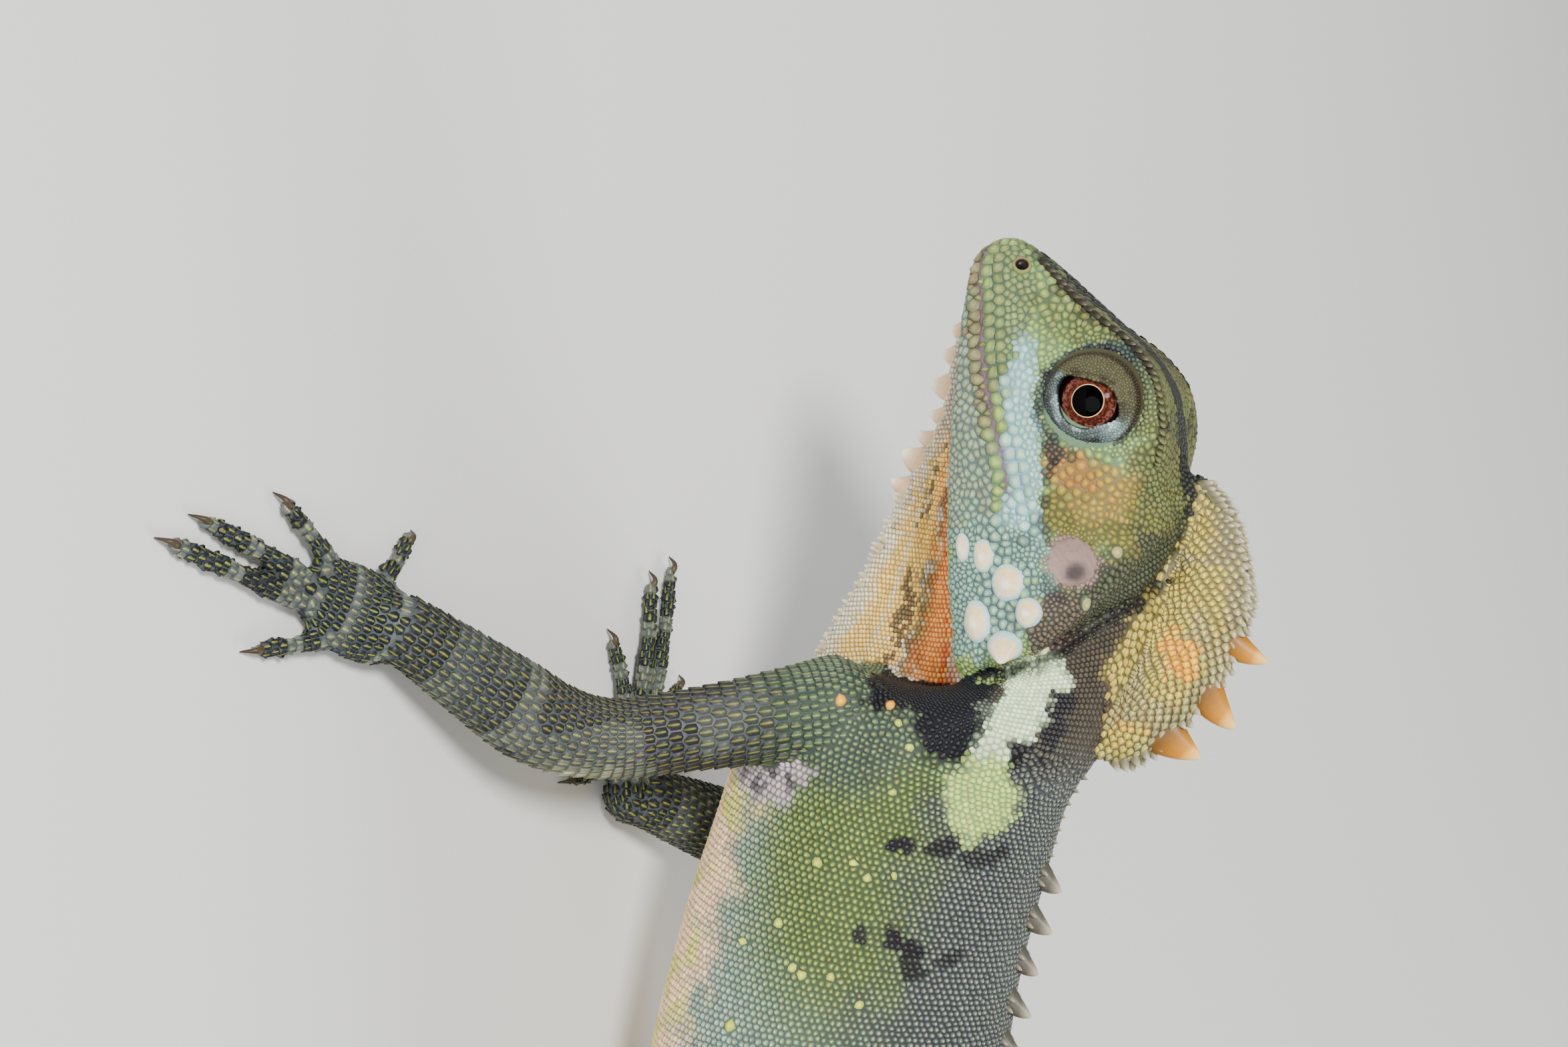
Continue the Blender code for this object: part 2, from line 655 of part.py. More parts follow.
def closed_band(name, rings):
    """Skin a row of rings whose last one meets the first."""
    count = len(rings[0])
    faces = []
    for ring in range(len(rings)):
        follow = (ring + 1) % len(rings)
        for spot in range(count):
            after = (spot + 1) % count
            faces.append((ring * count + spot, ring * count + after,
                          follow * count + after, follow * count + spot))
    return solid(name, np.concatenate(rings), faces)


def lid(side):
    """A raised band of skin round the eye, wider at the front and back corners."""
    forward = np.array([-1.0, 0.0, 0.0])
    upward = unit(place(0.0, 0.0, 1.0) - place(0.0, 0.0, 0.0))
    rings = []
    for angle in np.arange(LID_STEPS) * 2 * np.pi / LID_STEPS:
        direction = forward * np.cos(angle) + upward * np.sin(angle)
        corner = np.abs(np.cos(angle))**LID_CORNER_POWER * LID_CORNER
        inner = LID_INNER_ANGLE + corner - max(np.sin(angle), 0.0) * LID_DROOP
        outer = LID_OUTER_ANGLE + corner
        profile = ((inner, -LID_SINK), (inner + LID_EDGE_TURN, LID_EDGE_THICKNESS),
                   ((inner + outer) / 2, LID_THICKNESS), (outer, LID_FOOT_RISE), (outer, -LID_SINK))
        ring = []
        for polar, rise in profile:
            way = outward(side) * np.cos(polar) + direction * np.sin(polar)
            ring.append(eye_centre(side) + (EYE_RADIUS + rise) * way)
        rings.append(np.array(ring))
    return closed_band("lid", rings)


def jowl_plates(tree, side, draw):
    """The large plates on one jowl."""
    plates = []
    for x, h, width, length, rise in JOWL_PLATES:
        point, normal = surface_point(tree, x, h, side)
        vary = draw.uniform(1 - PLATE_VARIATION, 1 + PLATE_VARIATION)
        back = POINTED_BACK if rise > POINTED_RISE else 0.0
        plates.append(dome("plate", point, normal, PLATE_LIE, length * vary, width * vary, rise,
                           peak_back=back))
    return plates


def brow_plates(side, draw):
    """The row of small plates along one brow."""
    facing = unit(place(0, side, 1.0) - place(0, 0, 0))
    plates = []
    for x in np.linspace(BROW_PLATE_START_X, BROW_PLATE_END_X, BROW_PLATES):
        _, along, h = head_ring(x)
        point = place(along[BROW_ROW], head_half_ring(x)[BROW_ROW, 0] * side, h[BROW_ROW])
        length = BROW_PLATE_LENGTH * draw.uniform(1 - BROW_PLATE_VARIATION, 1 + BROW_PLATE_VARIATION)
        lie = (1.0, 0.0, BROW_PLATE_SLOPE if x < BROW_TURN_X else 0.0)
        plates.append(dome("plate", point, facing, lie, length, BROW_PLATE_WIDTH, BROW_PLATE_RISE, sides=5))
    return plates


def head_cutters(tree, side):
    """What the eye's socket, the ear's dish and the nostril take off one side of the head."""
    socket = ball("socket", eye_centre(side), EYE_RADIUS + SOCKET_CLEARANCE, pole=outward(side))
    point, normal = surface_point(tree, *EAR_PLACE, side)
    dish = (EAR_RADIUS**2 + EAR_DEPTH**2) / (2 * EAR_DEPTH)
    ear = ball("ear_cup", point + normal * (dish - EAR_DEPTH), dish, *EAR_STEPS, pole=-normal)
    point, normal = surface_point(tree, *NOSTRIL_PLACE, side)
    path = [point + normal * NOSTRIL_START, point, point - normal * NOSTRIL_DEPTH]
    return [socket, ear, tube("nostril", path, NOSTRIL_RADII, 8, up=(1.0, 0.2, 0.1))]


def make_head():
    """The head with lids and plates, and with its sockets, ears and nostrils cut in."""
    draw = np.random.default_rng(SEED)
    head = loft("head", head_rings(), ladder=True)
    tree = surface_of(head)
    pieces = []
    cutters = []
    for side in (1, -1):
        pieces.append(lid(side))
        pieces += jowl_plates(tree, side, draw)
        pieces += brow_plates(side, draw)
        cutters += head_cutters(tree, side)
    fuse(head, pieces)
    cut(head, cutters)
    return [head]


def make_eyes():
    """Both eyeballs."""
    return [ball(name, eye_centre(side), EYE_RADIUS, pole=outward(side))
            for name, side in (("eye_left", 1), ("eye_right", -1))]


# Neck and trunk


def roof_share(share):
    """How much of its width a section keeps towards the back."""
    return 1 - BACK_ROOF * np.clip(2 * share - 1, 0, 1)**BACK_ROOF_POWER


def body_ring(belly, back, half_width, flat, shear=None):
    """A mirrored section from the belly point round to the back point."""
    angles = np.linspace(0, np.pi, RING_STEPS + 1)
    share = (1 - np.cos(angles)) / 2
    w = half_width * np.sin(angles)**SECTION_POWER * roof_share(share)
    if flat > 0:
        share[-2] = 1.0
        w[-2] = flat
        w[-3] = max(w[-3], flat + NAPE_SHOULDER)
    belly, back = np.asarray(belly, float), np.asarray(back, float)
    h = belly[1] + (back[1] - belly[1]) * share
    x = belly[0] + (back[0] - belly[0]) * share
    if shear is not None:
        x = shear(h)
    return np.vstack([place(x, w, h), place(x, -w, h)[-2:0:-1]])


def neck_front():
    """The neck's front section, just behind the jaw."""
    _, along, h = head_ring(JAW_SWEEP_END)

    def behind_jaw(height):
        return JAW_SWEEP_END + GAP + jaw_sweep(JAW_SWEEP_END, height)

    low = h[0] + NECK_FRONT_INSET
    high = h.max() - NECK_FRONT_INSET
    return (behind_jaw(low), low), (behind_jaw(high), high), behind_jaw


def neck_rows():
    """The neck's sections as rows of numbers, from the jaw back."""
    belly, back, _ = neck_front()
    rows = [(*belly, *back, NECK_FRONT_HALF_WIDTH, NECK_FRONT_FLAT)]
    rows += [(*row[0], *row[1], row[2], row[3]) for row in NECK_SECTIONS]
    return np.array(rows)


def neck_rings(grow=0.0):
    """The neck's rings, grown by a distance; the first ones follow the jaw's rear edge."""
    rows = neck_rows()
    _, _, behind_jaw = neck_front()
    rings = []
    for share in np.linspace(0, 1, NECK_RINGS):
        row = smooth(np.linspace(0, 1, len(rows)), rows, share)[0]
        blend = 1 - ramp(0.0, NECK_FADE, share)

        def shear(h, row=row, blend=blend):
            straight = row[0] + (row[2] - row[0]) * (h - row[1]) / (row[3] - row[1])
            curved = behind_jaw(h) - behind_jaw(row[1]) + row[0]
            return straight + (curved - straight) * blend

        flat = row[5] if share < 1 else 0.0
        belly = row[:2] - (BELLY_FORWARD * grow, grow)
        back = row[2:4] + (0.0, grow)
        rings.append(body_ring(belly, back, row[4] + grow, flat, shear))
    return rings


def make_neck():
    """The neck from the jaw to the chest."""
    return [loft("neck", neck_rings(), ladder=True)]


def trunk_row(share):
    """The trunk's section at a share of its length."""
    rows = np.array([(*row[0], *row[1], row[2]) for row in TRUNK_SECTIONS])
    return smooth(np.linspace(0, 1, len(rows)), rows, share)[0]


def trunk_rings(grow=0.0):
    """The trunk's rings, grown by a distance."""
    rings = []
    for share in np.linspace(0, 1, TRUNK_RINGS):
        row = trunk_row(share)
        shift = GAP * (1 - ramp(0.0, TRUNK_FADE, share))
        belly = np.array([row[0] + shift - BELLY_FORWARD * grow, row[1] - grow])
        back = np.array([row[2] + shift, row[3] + grow])
        rings.append(body_ring(belly, back, row[4] + grow, 0.0))
    return rings


def back_line(x):
    """The back's middle line at X: height, and the slope there."""
    rows = np.array([trunk_row(share)[2:4] for share in np.linspace(0, 1, 120)])
    h = np.interp(x, rows[:, 0], rows[:, 1])
    ahead = np.interp(x + 1.0, rows[:, 0], rows[:, 1])
    return h, ahead - h


def make_torso():
    """The trunk with the row of spines along its back."""
    draw = np.random.default_rng(SEED + 1)
    torso = loft("torso", trunk_rings(), ladder=True)
    spines = []
    for number in range(BACK_SPINE_COUNT):
        x = BACK_SPINE_START_X + BACK_SPINE_SPACING * number
        fade = 1 - BACK_SPINE_FADE * number / BACK_SPINE_COUNT
        rise = BACK_SPINE_RISE * fade * draw.uniform(1 - SPINE_VARIATION, 1 + SPINE_VARIATION)
        h, slope = back_line(x)
        length = 2 * BACK_SPINE_HALF_LENGTH * fade
        start = place(x - length, 0.0, h - length * slope - SPINE_ROOT)
        end = place(x, 0.0, h - SPINE_ROOT)
        tip = place(x + SPINE_LEAN, 0.0, h + rise)
        spines.append(spine("spine", start, end, tip, BACK_SPINE_HALF_WIDTH * fade, BACK_SPINE_SINK))
    fuse(torso, spines)
    return [torso]


# Dewlap and nuchal crest


def chest_line(h):
    """X of the neck's and chest's front line at a height."""
    rows = neck_rows()
    front = [row[:2] for row in rows]
    front += [trunk_row(share)[:2] for share in np.linspace(0, 0.16, 8)]
    front = np.array(front)[::-1]
    order = np.argsort(front[:, 1])
    return np.interp(h, front[order, 1], front[order, 0])


def dewlap_edge(share):
    """A point of the free edge, as (X, h)."""
    return smooth(np.linspace(0, 1, len(DEWLAP_EDGE)), DEWLAP_EDGE, share)[0]


def dewlap_line(share, down):
    """The middle of the sheet at a share of its length: (X, h) down from the throat."""
    root_x = DEWLAP_FRONT_X + (chest_line(DEWLAP_ROOT_H) - DEWLAP_REAR_GAP - DEWLAP_FRONT_X) * share
    root = np.array([root_x, throat_line(root_x) - GAP])
    edge = dewlap_edge(share)
    points = root + (edge - root) * down[:, None]
    limit = chest_line(points[:, 1]) - DEWLAP_REAR_GAP
    points[:, 0] += share**DEWLAP_REAR_POWER * (limit - points[:, 0])
    return points


def dewlap_pleat(share, down):
    """How far the sheet bends to its left at a place."""
    deep = DEWLAP_PLEAT_DEPTH * down**DEWLAP_PLEAT_POWER * (1 - share**DEWLAP_REAR_POWER)
    return deep * np.sin(2 * np.pi * DEWLAP_PLEATS * share)


def dewlap_ring(share):
    """A ring down the sheet's left face and up its right one."""
    down = np.linspace(0, 1, DEWLAP_STEPS)
    points = dewlap_line(share, down)
    half = DEWLAP_ROOT_HALF + (DEWLAP_EDGE_HALF - DEWLAP_ROOT_HALF) * down**DEWLAP_THINNING
    taper = DEWLAP_FRONT_SHARE + (1 - DEWLAP_FRONT_SHARE) * ramp(0.0, DEWLAP_FRONT_END, share)
    pleat = dewlap_pleat(share, down)
    left = place(points[:, 0], half * taper + pleat, points[:, 1])
    right = place(points[:, 0], -half * taper + pleat, points[:, 1])
    return np.vstack([left, right[::-1]])


def dewlap_spines(edges):
    """The large spines along the chin's part of the free edge."""
    spines = []
    last = len(edges) - 1
    for x, h, length in DEWLAP_SPINES:
        near = np.argmin(np.hypot(edges[:, 0] - x, edges[:, 1] - h))
        spot = edges[near]
        along = unit(edges[min(near + 4, last)] - edges[max(near - 4, 0)]) * length / 2
        start = place(spot[0] - along[0], 0.0, spot[1] - along[1] + DEWLAP_SPINE_ROOT)
        end = place(spot[0] + along[0], 0.0, spot[1] + along[1] + DEWLAP_SPINE_ROOT)
        tip = place(x, 0.0, h)
        spines.append(spine("spine", start, end, tip, DEWLAP_SPINE_HALF_WIDTH, DEWLAP_SPINE_SINK))
    return spines


def dewlap_teeth():
    """The small spines along the rear part of the free edge."""
    draw = np.random.default_rng(SEED + 2)
    down = np.array([1.0])
    teeth = []
    for share in np.linspace(*DEWLAP_TEETH_SPAN, DEWLAP_TEETH):
        before, spot, after = (dewlap_line(share + step, down)[0] for step in (-0.02, 0.0, 0.02))
        along = unit(after - before)
        out = np.array([along[1], -along[0]]) * DEWLAP_TOOTH_LENGTH * draw.uniform(0.85, 1.2)
        out *= np.sign(out @ np.array([-1.0, -1.0]))
        pleat = dewlap_pleat(share, 1.0)
        start = place(spot[0] - along[0], pleat, spot[1] - along[1])
        end = place(spot[0] + along[0], pleat, spot[1] + along[1])
        tip = place(spot[0] + out[0], pleat, spot[1] + out[1] - DEWLAP_SPINE_ROOT)
        teeth.append(spine("tooth", start, end, tip, DEWLAP_TOOTH_HALF_WIDTH, TOOTH_SINK, sides=5))
    return teeth


def make_dewlap():
    """The throat's pleated sheet with the spines on its free edge."""
    dewlap = loft("dewlap", [dewlap_ring(share) for share in np.linspace(0, 1, DEWLAP_RINGS)])
    edges = np.array([dewlap_line(share, np.array([1.0]))[0] for share in np.linspace(0, 1, 200)])
    fuse(dewlap, dewlap_spines(edges) + dewlap_teeth())
    return [dewlap]


def nape_line(share):
    """A point of the nape's middle line, as (X, h)."""
    rows = neck_rows()
    return smooth(np.linspace(0, 1, len(rows)), rows, share)[0][2:4]


def crest_edge(share):
    """A point of the crest's outline, as (X, h)."""
    return smooth(np.linspace(0, 1, len(CREST_EDGE)), CREST_EDGE, share)[0]


def crest_ring(share):
    """A ring up the crest's left face and down its right one."""
    spot = CREST_SPAN[0] + (CREST_SPAN[1] - CREST_SPAN[0]) * share
    along = unit(nape_line(min(spot + 0.01, 1.0)) - nape_line(spot - 0.01))
    upward = np.array([-along[1], along[0]])
    root = nape_line(spot) + upward * (GAP + CREST_LIFT)
    edge = crest_edge(share)
    fade = np.clip(np.sin(np.pi * (0.06 + 0.88 * share)), 0, 1)**0.5
    left = []
    right = []
    for rise, width in CREST_PROFILE:
        x, h = root + (edge - root) * rise
        half = CREST_ROOT_HALF * width * fade
        left.append(place(x, half, h))
        right.append(place(x, -half, h))
    return np.array(left + right[::-1])


def crest_horns():
    """The large horn spines."""
    horns = []
    for start, end, tip in CREST_SPINES:
        foot = place(start[0], 0.0, start[1] - CREST_SPINE_ROOT)
        back = place(end[0], 0.0, end[1] - CREST_SPINE_ROOT)
        horns.append(spine("horn", foot, back, place(tip[0], 0.0, tip[1]), CREST_SPINE_HALF_WIDTH,
                           CREST_SPINE_SINK, sides=8))
    return horns


def crest_teeth():
    """The small spines along the front of the crest's edge."""
    draw = np.random.default_rng(SEED + 3)
    teeth = []
    for share in np.linspace(*CREST_TEETH_SPAN, CREST_TEETH):
        spot = crest_edge(share)
        along = unit(crest_edge(share + 0.02) - crest_edge(share - 0.02))
        out = np.array([-along[1], along[0]]) * draw.uniform(0.55, 0.85)
        start = place(spot[0] - along[0], 0.0, spot[1] - along[1] - SPINE_ROOT)
        end = place(spot[0] + along[0], 0.0, spot[1] + along[1] - SPINE_ROOT)
        tip = place(spot[0] + out[0] + CREST_TOOTH_LEAN, 0.0, spot[1] + out[1])
        teeth.append(spine("tooth", start, end, tip, CREST_TOOTH_HALF_WIDTH, TOOTH_SINK, sides=5))
    return teeth


def make_crest():
    """The nuchal crest with its horn spines and teeth."""
    crest = loft("nuchal_crest", [crest_ring(share) for share in np.linspace(0, 1, CREST_RINGS)])
    fuse(crest, crest_horns() + crest_teeth())
    return [crest]


# Tail


def tail_place(along, w, h):
    """World point of the tail: it swings gently from side to side along the floor."""
    steps = np.linspace(TAIL_SECTIONS[0][0], TAIL_SECTIONS[-1][0], 300)
    heading = TAIL_SWING * np.sin(2 * np.pi * (steps - TAIL_SWING_START) / TAIL_SWING_LENGTH)
    heading *= ramp(*TAIL_SWING_EASE, steps)
    step = steps[1] - steps[0]
    xs = TAIL_SECTIONS[0][0] + np.concatenate([[0], np.cumsum(np.cos(heading[:-1]) * step)])
    ys = np.concatenate([[0], np.cumsum(np.sin(heading[:-1]) * step)])
    turn = np.interp(along, steps, heading)
    x = np.interp(along, steps, xs)
    y = np.interp(along, steps, ys)
    return np.stack(np.broadcast_arrays(x + w * np.sin(turn), y - w * np.cos(turn), h), axis=-1)


def tail_section(along):
    """Belly height, back height and half width of the tail at a distance along it."""
    return smooth([row[0] for row in TAIL_SECTIONS], [row[1:] for row in TAIL_SECTIONS], along)[0]


def tail_ring(along):
    """A ring round the tail at a distance along it."""
    belly, back, half_width = tail_section(along)
    angles = np.arange(2 * TAIL_STEPS) * np.pi / TAIL_STEPS
    share = (1 - np.cos(angles)) / 2
    w = half_width * np.sign(np.sin(angles)) * np.abs(np.sin(angles))**SECTION_POWER * roof_share(share)
    return tail_place(along, w, belly + (back - belly) * share)


def tail_spines(start, end, height, draw):
    """The spines along one length of the tail."""
    spines = []
    for along in np.linspace(start + TAIL_SPINE_MARGIN, end - TAIL_SPINE_MARGIN, TAIL_SPINE_COUNT):
        back = tail_section(along)[1]
        rise = height * draw.uniform(1 - SPINE_VARIATION, 1 + SPINE_VARIATION)
        foot = tail_place(along - TAIL_SPINE_LENGTH, 0.0, back - SPINE_ROOT)
        heel = tail_place(along, 0.0, back - 3 * SPINE_ROOT)
        tip = tail_place(along + SPINE_LEAN, 0.0, back + rise)
        spines.append(spine("spine", foot, heel, tip, TAIL_SPINE_HALF_WIDTH, TAIL_SPINE_SINK, sides=5))
    return spines


def make_tail():
    """The tail's five lengths, the first two with spines, all cut flat where they lie on the floor."""
    draw = np.random.default_rng(SEED + 4)
    nodes = []
    for number, (start, end) in enumerate(zip(TAIL_CUTS[:-1], TAIL_CUTS[1:])):
        stations = np.linspace(start + GAP, end, TAIL_RINGS_EACH)
        item = loft(f"tail_{number + 1}", [tail_ring(along) for along in stations])
        if number < len(TAIL_SPINE_RISES):
            fuse(item, tail_spines(start, end, TAIL_SPINE_RISES[number], draw))
        cut(item, [floor_block()])
        nodes.append(item)
    return nodes


# Limbs


def limb_path(joints):
    """A path through root, middle joint and end, with the middle joint turned on an arc."""
    root, middle, end = (np.asarray(p, float) for p in joints)
    to_root, to_end = unit(root - middle), unit(end - middle)
    reach = ELBOW_ROUNDING * min(np.linalg.norm(root - middle), np.linalg.norm(end - middle))
    half_angle = math.acos(np.dot(to_root, to_end)) / 2
    centre = middle + unit(to_root + to_end) * reach / math.cos(half_angle)
    before, after = middle + to_root * reach, middle + to_end * reach
    turn = math.pi - 2 * half_angle
    upper = [root + (before - root) * t for t in np.linspace(0, 1, LIMB_RINGS - 2)]
    lower = [after + (end - after) * t for t in np.linspace(0, 1, LIMB_RINGS - 2)]
    bend = []
    for t in (0.25, 0.5, 0.75):
        bend.append(centre + ((before - centre) * math.sin((1 - t) * turn)
                              + (after - centre) * math.sin(t * turn)) / math.sin(turn))
    return np.array(upper + bend + lower), len(upper) + 1


def limb_rings(joints, radii, grow=0.0):
    """Rings along a whole limb, the number of the ring at its middle joint, and its path."""
    path, middle = limb_path(joints)
    keys = (0, middle * 0.5, middle - 1, middle + 1.5, middle + 3.5, len(path) - 1)
    sizes = smooth(keys, radii, np.arange(len(path))) + grow
    sizes[0] *= ROOT_ROUNDING
    path[-1] += unit(path[-1] - path[-2]) * grow
    return tube_rings(path, sizes, LIMB_SIDES, up=LIMB_UP), middle, path


def limb(names, joints, radii):
    """The two lengths of a limb, parted at the middle joint and cut clear of the body."""
    rings, middle, path = limb_rings(joints, radii)
    tangent = unit(path[middle + 1] - path[middle - 1])
    upper = loft(names[0], rings[:middle] + [rings[middle] - tangent * GAP / 2])
    lower = loft(names[1], [rings[middle] + tangent * GAP / 2] + rings[middle + 1:])
    cut(upper, [loft("grown_trunk", trunk_rings(grow=LIMB_CLEARANCE), ladder=True),
                loft("grown_neck", neck_rings(grow=LIMB_CLEARANCE), ladder=True)])
    return upper, lower


def paw_frame(joints, heading, side):
    """The point below the wrist, and the ways forward and towards the inner digit."""
    forward = np.array([*unit(heading), 0.0])
    inner = np.array([forward[1], -forward[0], 0.0]) * side
    return np.array([joints[2][0], joints[2][1], 0.0]), forward, inner


def palm_piece(name, frame, palm):
    """The flat palm or sole, from the heel to the roots of the digits."""
    ground, forward, inner = frame
    length, half_width, height = palm
    shares = np.linspace(0, 1, PALM_RINGS)
    heel_height = height + PALM_HEEL_RISE
    widths = smooth((0, 0.15, 0.6, 0.85, 1.0),
                    (*PALM_BACK_WIDTHS, half_width, half_width * PALM_FRONT_WIDTH, PALM_END_WIDTH), shares)
    heights = smooth((0, 0.15, 0.5, 1.0),
                     (PALM_BACK_HEIGHT, heel_height, height * PALM_MIDDLE_HEIGHT, PALM_END_HEIGHT), shares)
    angles = np.arange(PALM_SIDES) * 2 * np.pi / PALM_SIDES
    rings = []
    for share, width, rise in zip(shares, widths, heights):
        centre = ground + forward * ((length + PALM_REACH_BACK) * share - PALM_REACH_BACK)
        centre[2] = heel_height + (PALM_END_HEIGHT - heel_height) * share
        ring = centre + width * np.cos(angles)[:, None] * inner
        ring[:, 2] += rise * np.sin(angles)
        rings.append(ring)
    return loft(name, rings)


def heel_piece(joints, palm):
    """The rounded heel below the end of the limb."""
    wrist = np.asarray(joints[2], float)
    radius = palm[2] + HEEL_EXTRA
    centre = wrist + unit(wrist - np.asarray(joints[1], float)) * HEEL_REACH
    centre[2] = radius
    return ball("heel", centre, radius, 10, 7)


def digit_line(frame, digit, draw):
    """The middle line and the radii of one digit, from inside the palm to its tip."""
    ground, forward, inner = frame
    root, tip = np.array(digit[0]), np.array(digit[1])
    root = root - unit(tip - root) * DIGIT_SINK
    line = []
    sizes = []
    for t in np.linspace(0, 1, DIGIT_RINGS):
        ahead, inward = root + (tip - root) * t
        z = DIGIT_ROOT_HEIGHT * (1 - t) + DIGIT_TIP_HEIGHT * t + DIGIT_ARCH * math.sin(math.pi * t)
        line.append(ground + forward * ahead + inner * inward + np.array([0.0, 0.0, z]))
        knuckle = 1 + KNUCKLE_SWELL * math.cos(t * KNUCKLE_TURNS * math.pi)
        sizes.append(digit[2] * (1 - DIGIT_TAPER * t) * knuckle * draw.uniform(0.98, 1.02))
    return line, sizes


def claw(line):
    """The claw at the end of a digit's line."""
    ahead = unit(line[-1] - line[-2]) * np.array([1.0, 1.0, 0.0])
    path = [line[-1] + ahead * reach + np.array([0.0, 0.0, rise]) for reach, rise, _ in CLAW_RINGS]
    return tube("claw", path, [ring[2] for ring in CLAW_RINGS], CLAW_SIDES)


def paw(name, joints, heading, side, digits, palm, lower_limb):
    """A hand or foot: a flat palm with five digits and their claws, lying on the floor."""
    draw = np.random.default_rng(SEED + 5)
    frame = paw_frame(joints, heading, side)
    item = palm_piece(name, frame, palm)
    pieces = [heel_piece(joints, palm)]
    for digit in digits:
        line, sizes = digit_line(frame, digit, draw)
        pieces.append(tube("digit", line, sizes, DIGIT_SIDES, flatten=DIGIT_FLATNESS))
        pieces.append(claw(line))
    fuse(item, pieces)
    cut(item, [floor_block(), lower_limb])
    return item


def make_limb(word, side, kind, joints, radii, heading, digits, palm):
    """The three nodes of one limb on one side."""
    names = {"arm": ("upper_arm", "forearm", "hand"), "leg": ("thigh", "shank", "foot")}[kind]
    upper, lower = limb([f"{name}_{word}" for name in names[:2]], joints, radii)
    rings, middle, _ = limb_rings(joints, radii, grow=GAP)
    clearance = loft("clearance", rings[middle:])
    return [upper, lower, paw(f"{names[2]}_{word}", joints, heading, side, digits, palm, clearance)]


def make_limbs():
    """Both arms and both legs."""
    arm = (HAND_DIGITS, HAND_PALM)
    leg = (FOOT_DIGITS, FOOT_PALM)
    nodes = make_limb("left", 1, "arm", LEFT_ARM, ARM_RADII, LEFT_HAND_HEADING, *arm)
    nodes += make_limb("left", 1, "leg", LEFT_LEG, LEG_RADII, LEFT_FOOT_HEADING, *leg)
    nodes += make_limb("right", -1, "arm", RIGHT_ARM, ARM_RADII, RIGHT_HAND_HEADING, *arm)
    nodes += make_limb("right", -1, "leg", RIGHT_LEG, LEG_RADII, RIGHT_FOOT_HEADING, *leg)
    return nodes


# Finish


def colour_of(name):
    """The base colour of a node."""
    for word, key in (("eye", "eye"), ("tail", "tail"), ("arm", "arm"), ("hand", "hand"),
                      ("foot", "foot"), ("thigh", "leg"), ("shank", "leg")):
        if word in name:
            return COLOURS[key]
    return COLOURS[name]


def paint(item):
    """Give a node its own plain material and smooth shading."""
    material = bpy.data.materials.new(item.name)
    material.use_nodes = True
    shader = material.node_tree.nodes["Principled BSDF"]
    shader.inputs["Base Color"].default_value = (*colour_of(item.name), 1.0)
    shader.inputs["Roughness"].default_value = GLOSSY if "eye" in item.name else SATIN
    shader.inputs["Metallic"].default_value = 0.0
    item.data.materials.clear()
    item.data.materials.append(material)
    item.data.shade_smooth()
    item.data.set_sharp_from_angle(angle=SHARP_ANGLE)


def centre_on_floor(nodes):
    """Hang every node on one empty that puts the middle of the whole box over the origin."""
    corners = np.array([vert.co for item in nodes for vert in item.data.vertices])
    low, high = corners.min(axis=0), corners.max(axis=0)
    root = bpy.data.objects.new("lizard", None)
    bpy.context.scene.collection.objects.link(root)
    root.location = (-(low[0] + high[0]) / 2, -(low[1] + high[1]) / 2, -low[2])
    for item in nodes:
        item.parent = root


def main():
    """Clear the scene and build the whole animal."""
    for item in list(bpy.data.objects):
        bpy.data.objects.remove(item)
    nodes = make_head() + make_eyes() + make_neck() + make_torso() + make_dewlap()
    nodes += make_crest() + make_tail() + make_limbs()
    for item in nodes:
        paint(item)
    centre_on_floor(nodes)


main()
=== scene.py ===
import math

import bmesh
import bpy
import numpy as np
from mathutils import Matrix, Vector
from mathutils.bvhtree import BVHTree
from mathutils.kdtree import KDTree


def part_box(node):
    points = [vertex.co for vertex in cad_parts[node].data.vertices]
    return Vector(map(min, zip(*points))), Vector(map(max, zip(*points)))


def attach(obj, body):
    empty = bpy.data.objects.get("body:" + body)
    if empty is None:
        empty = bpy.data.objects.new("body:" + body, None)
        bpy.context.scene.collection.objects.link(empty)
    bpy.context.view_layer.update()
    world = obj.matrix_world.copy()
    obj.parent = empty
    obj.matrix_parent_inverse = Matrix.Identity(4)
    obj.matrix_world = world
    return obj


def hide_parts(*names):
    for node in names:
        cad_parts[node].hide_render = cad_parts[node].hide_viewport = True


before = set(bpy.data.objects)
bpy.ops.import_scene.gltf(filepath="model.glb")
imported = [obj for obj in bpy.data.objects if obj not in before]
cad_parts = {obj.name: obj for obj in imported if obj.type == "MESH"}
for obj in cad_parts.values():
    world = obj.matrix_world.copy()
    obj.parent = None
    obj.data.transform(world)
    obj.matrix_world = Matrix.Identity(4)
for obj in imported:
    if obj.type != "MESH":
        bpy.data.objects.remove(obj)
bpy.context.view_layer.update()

MM = 0.001
EYE_IOR = 1.24
SEED = 7

# Stance and sections, as in the solids
LEAN = math.radians(12.0)
LEAN_FULL_X = 30.0
LEAN_END_X = 100.0
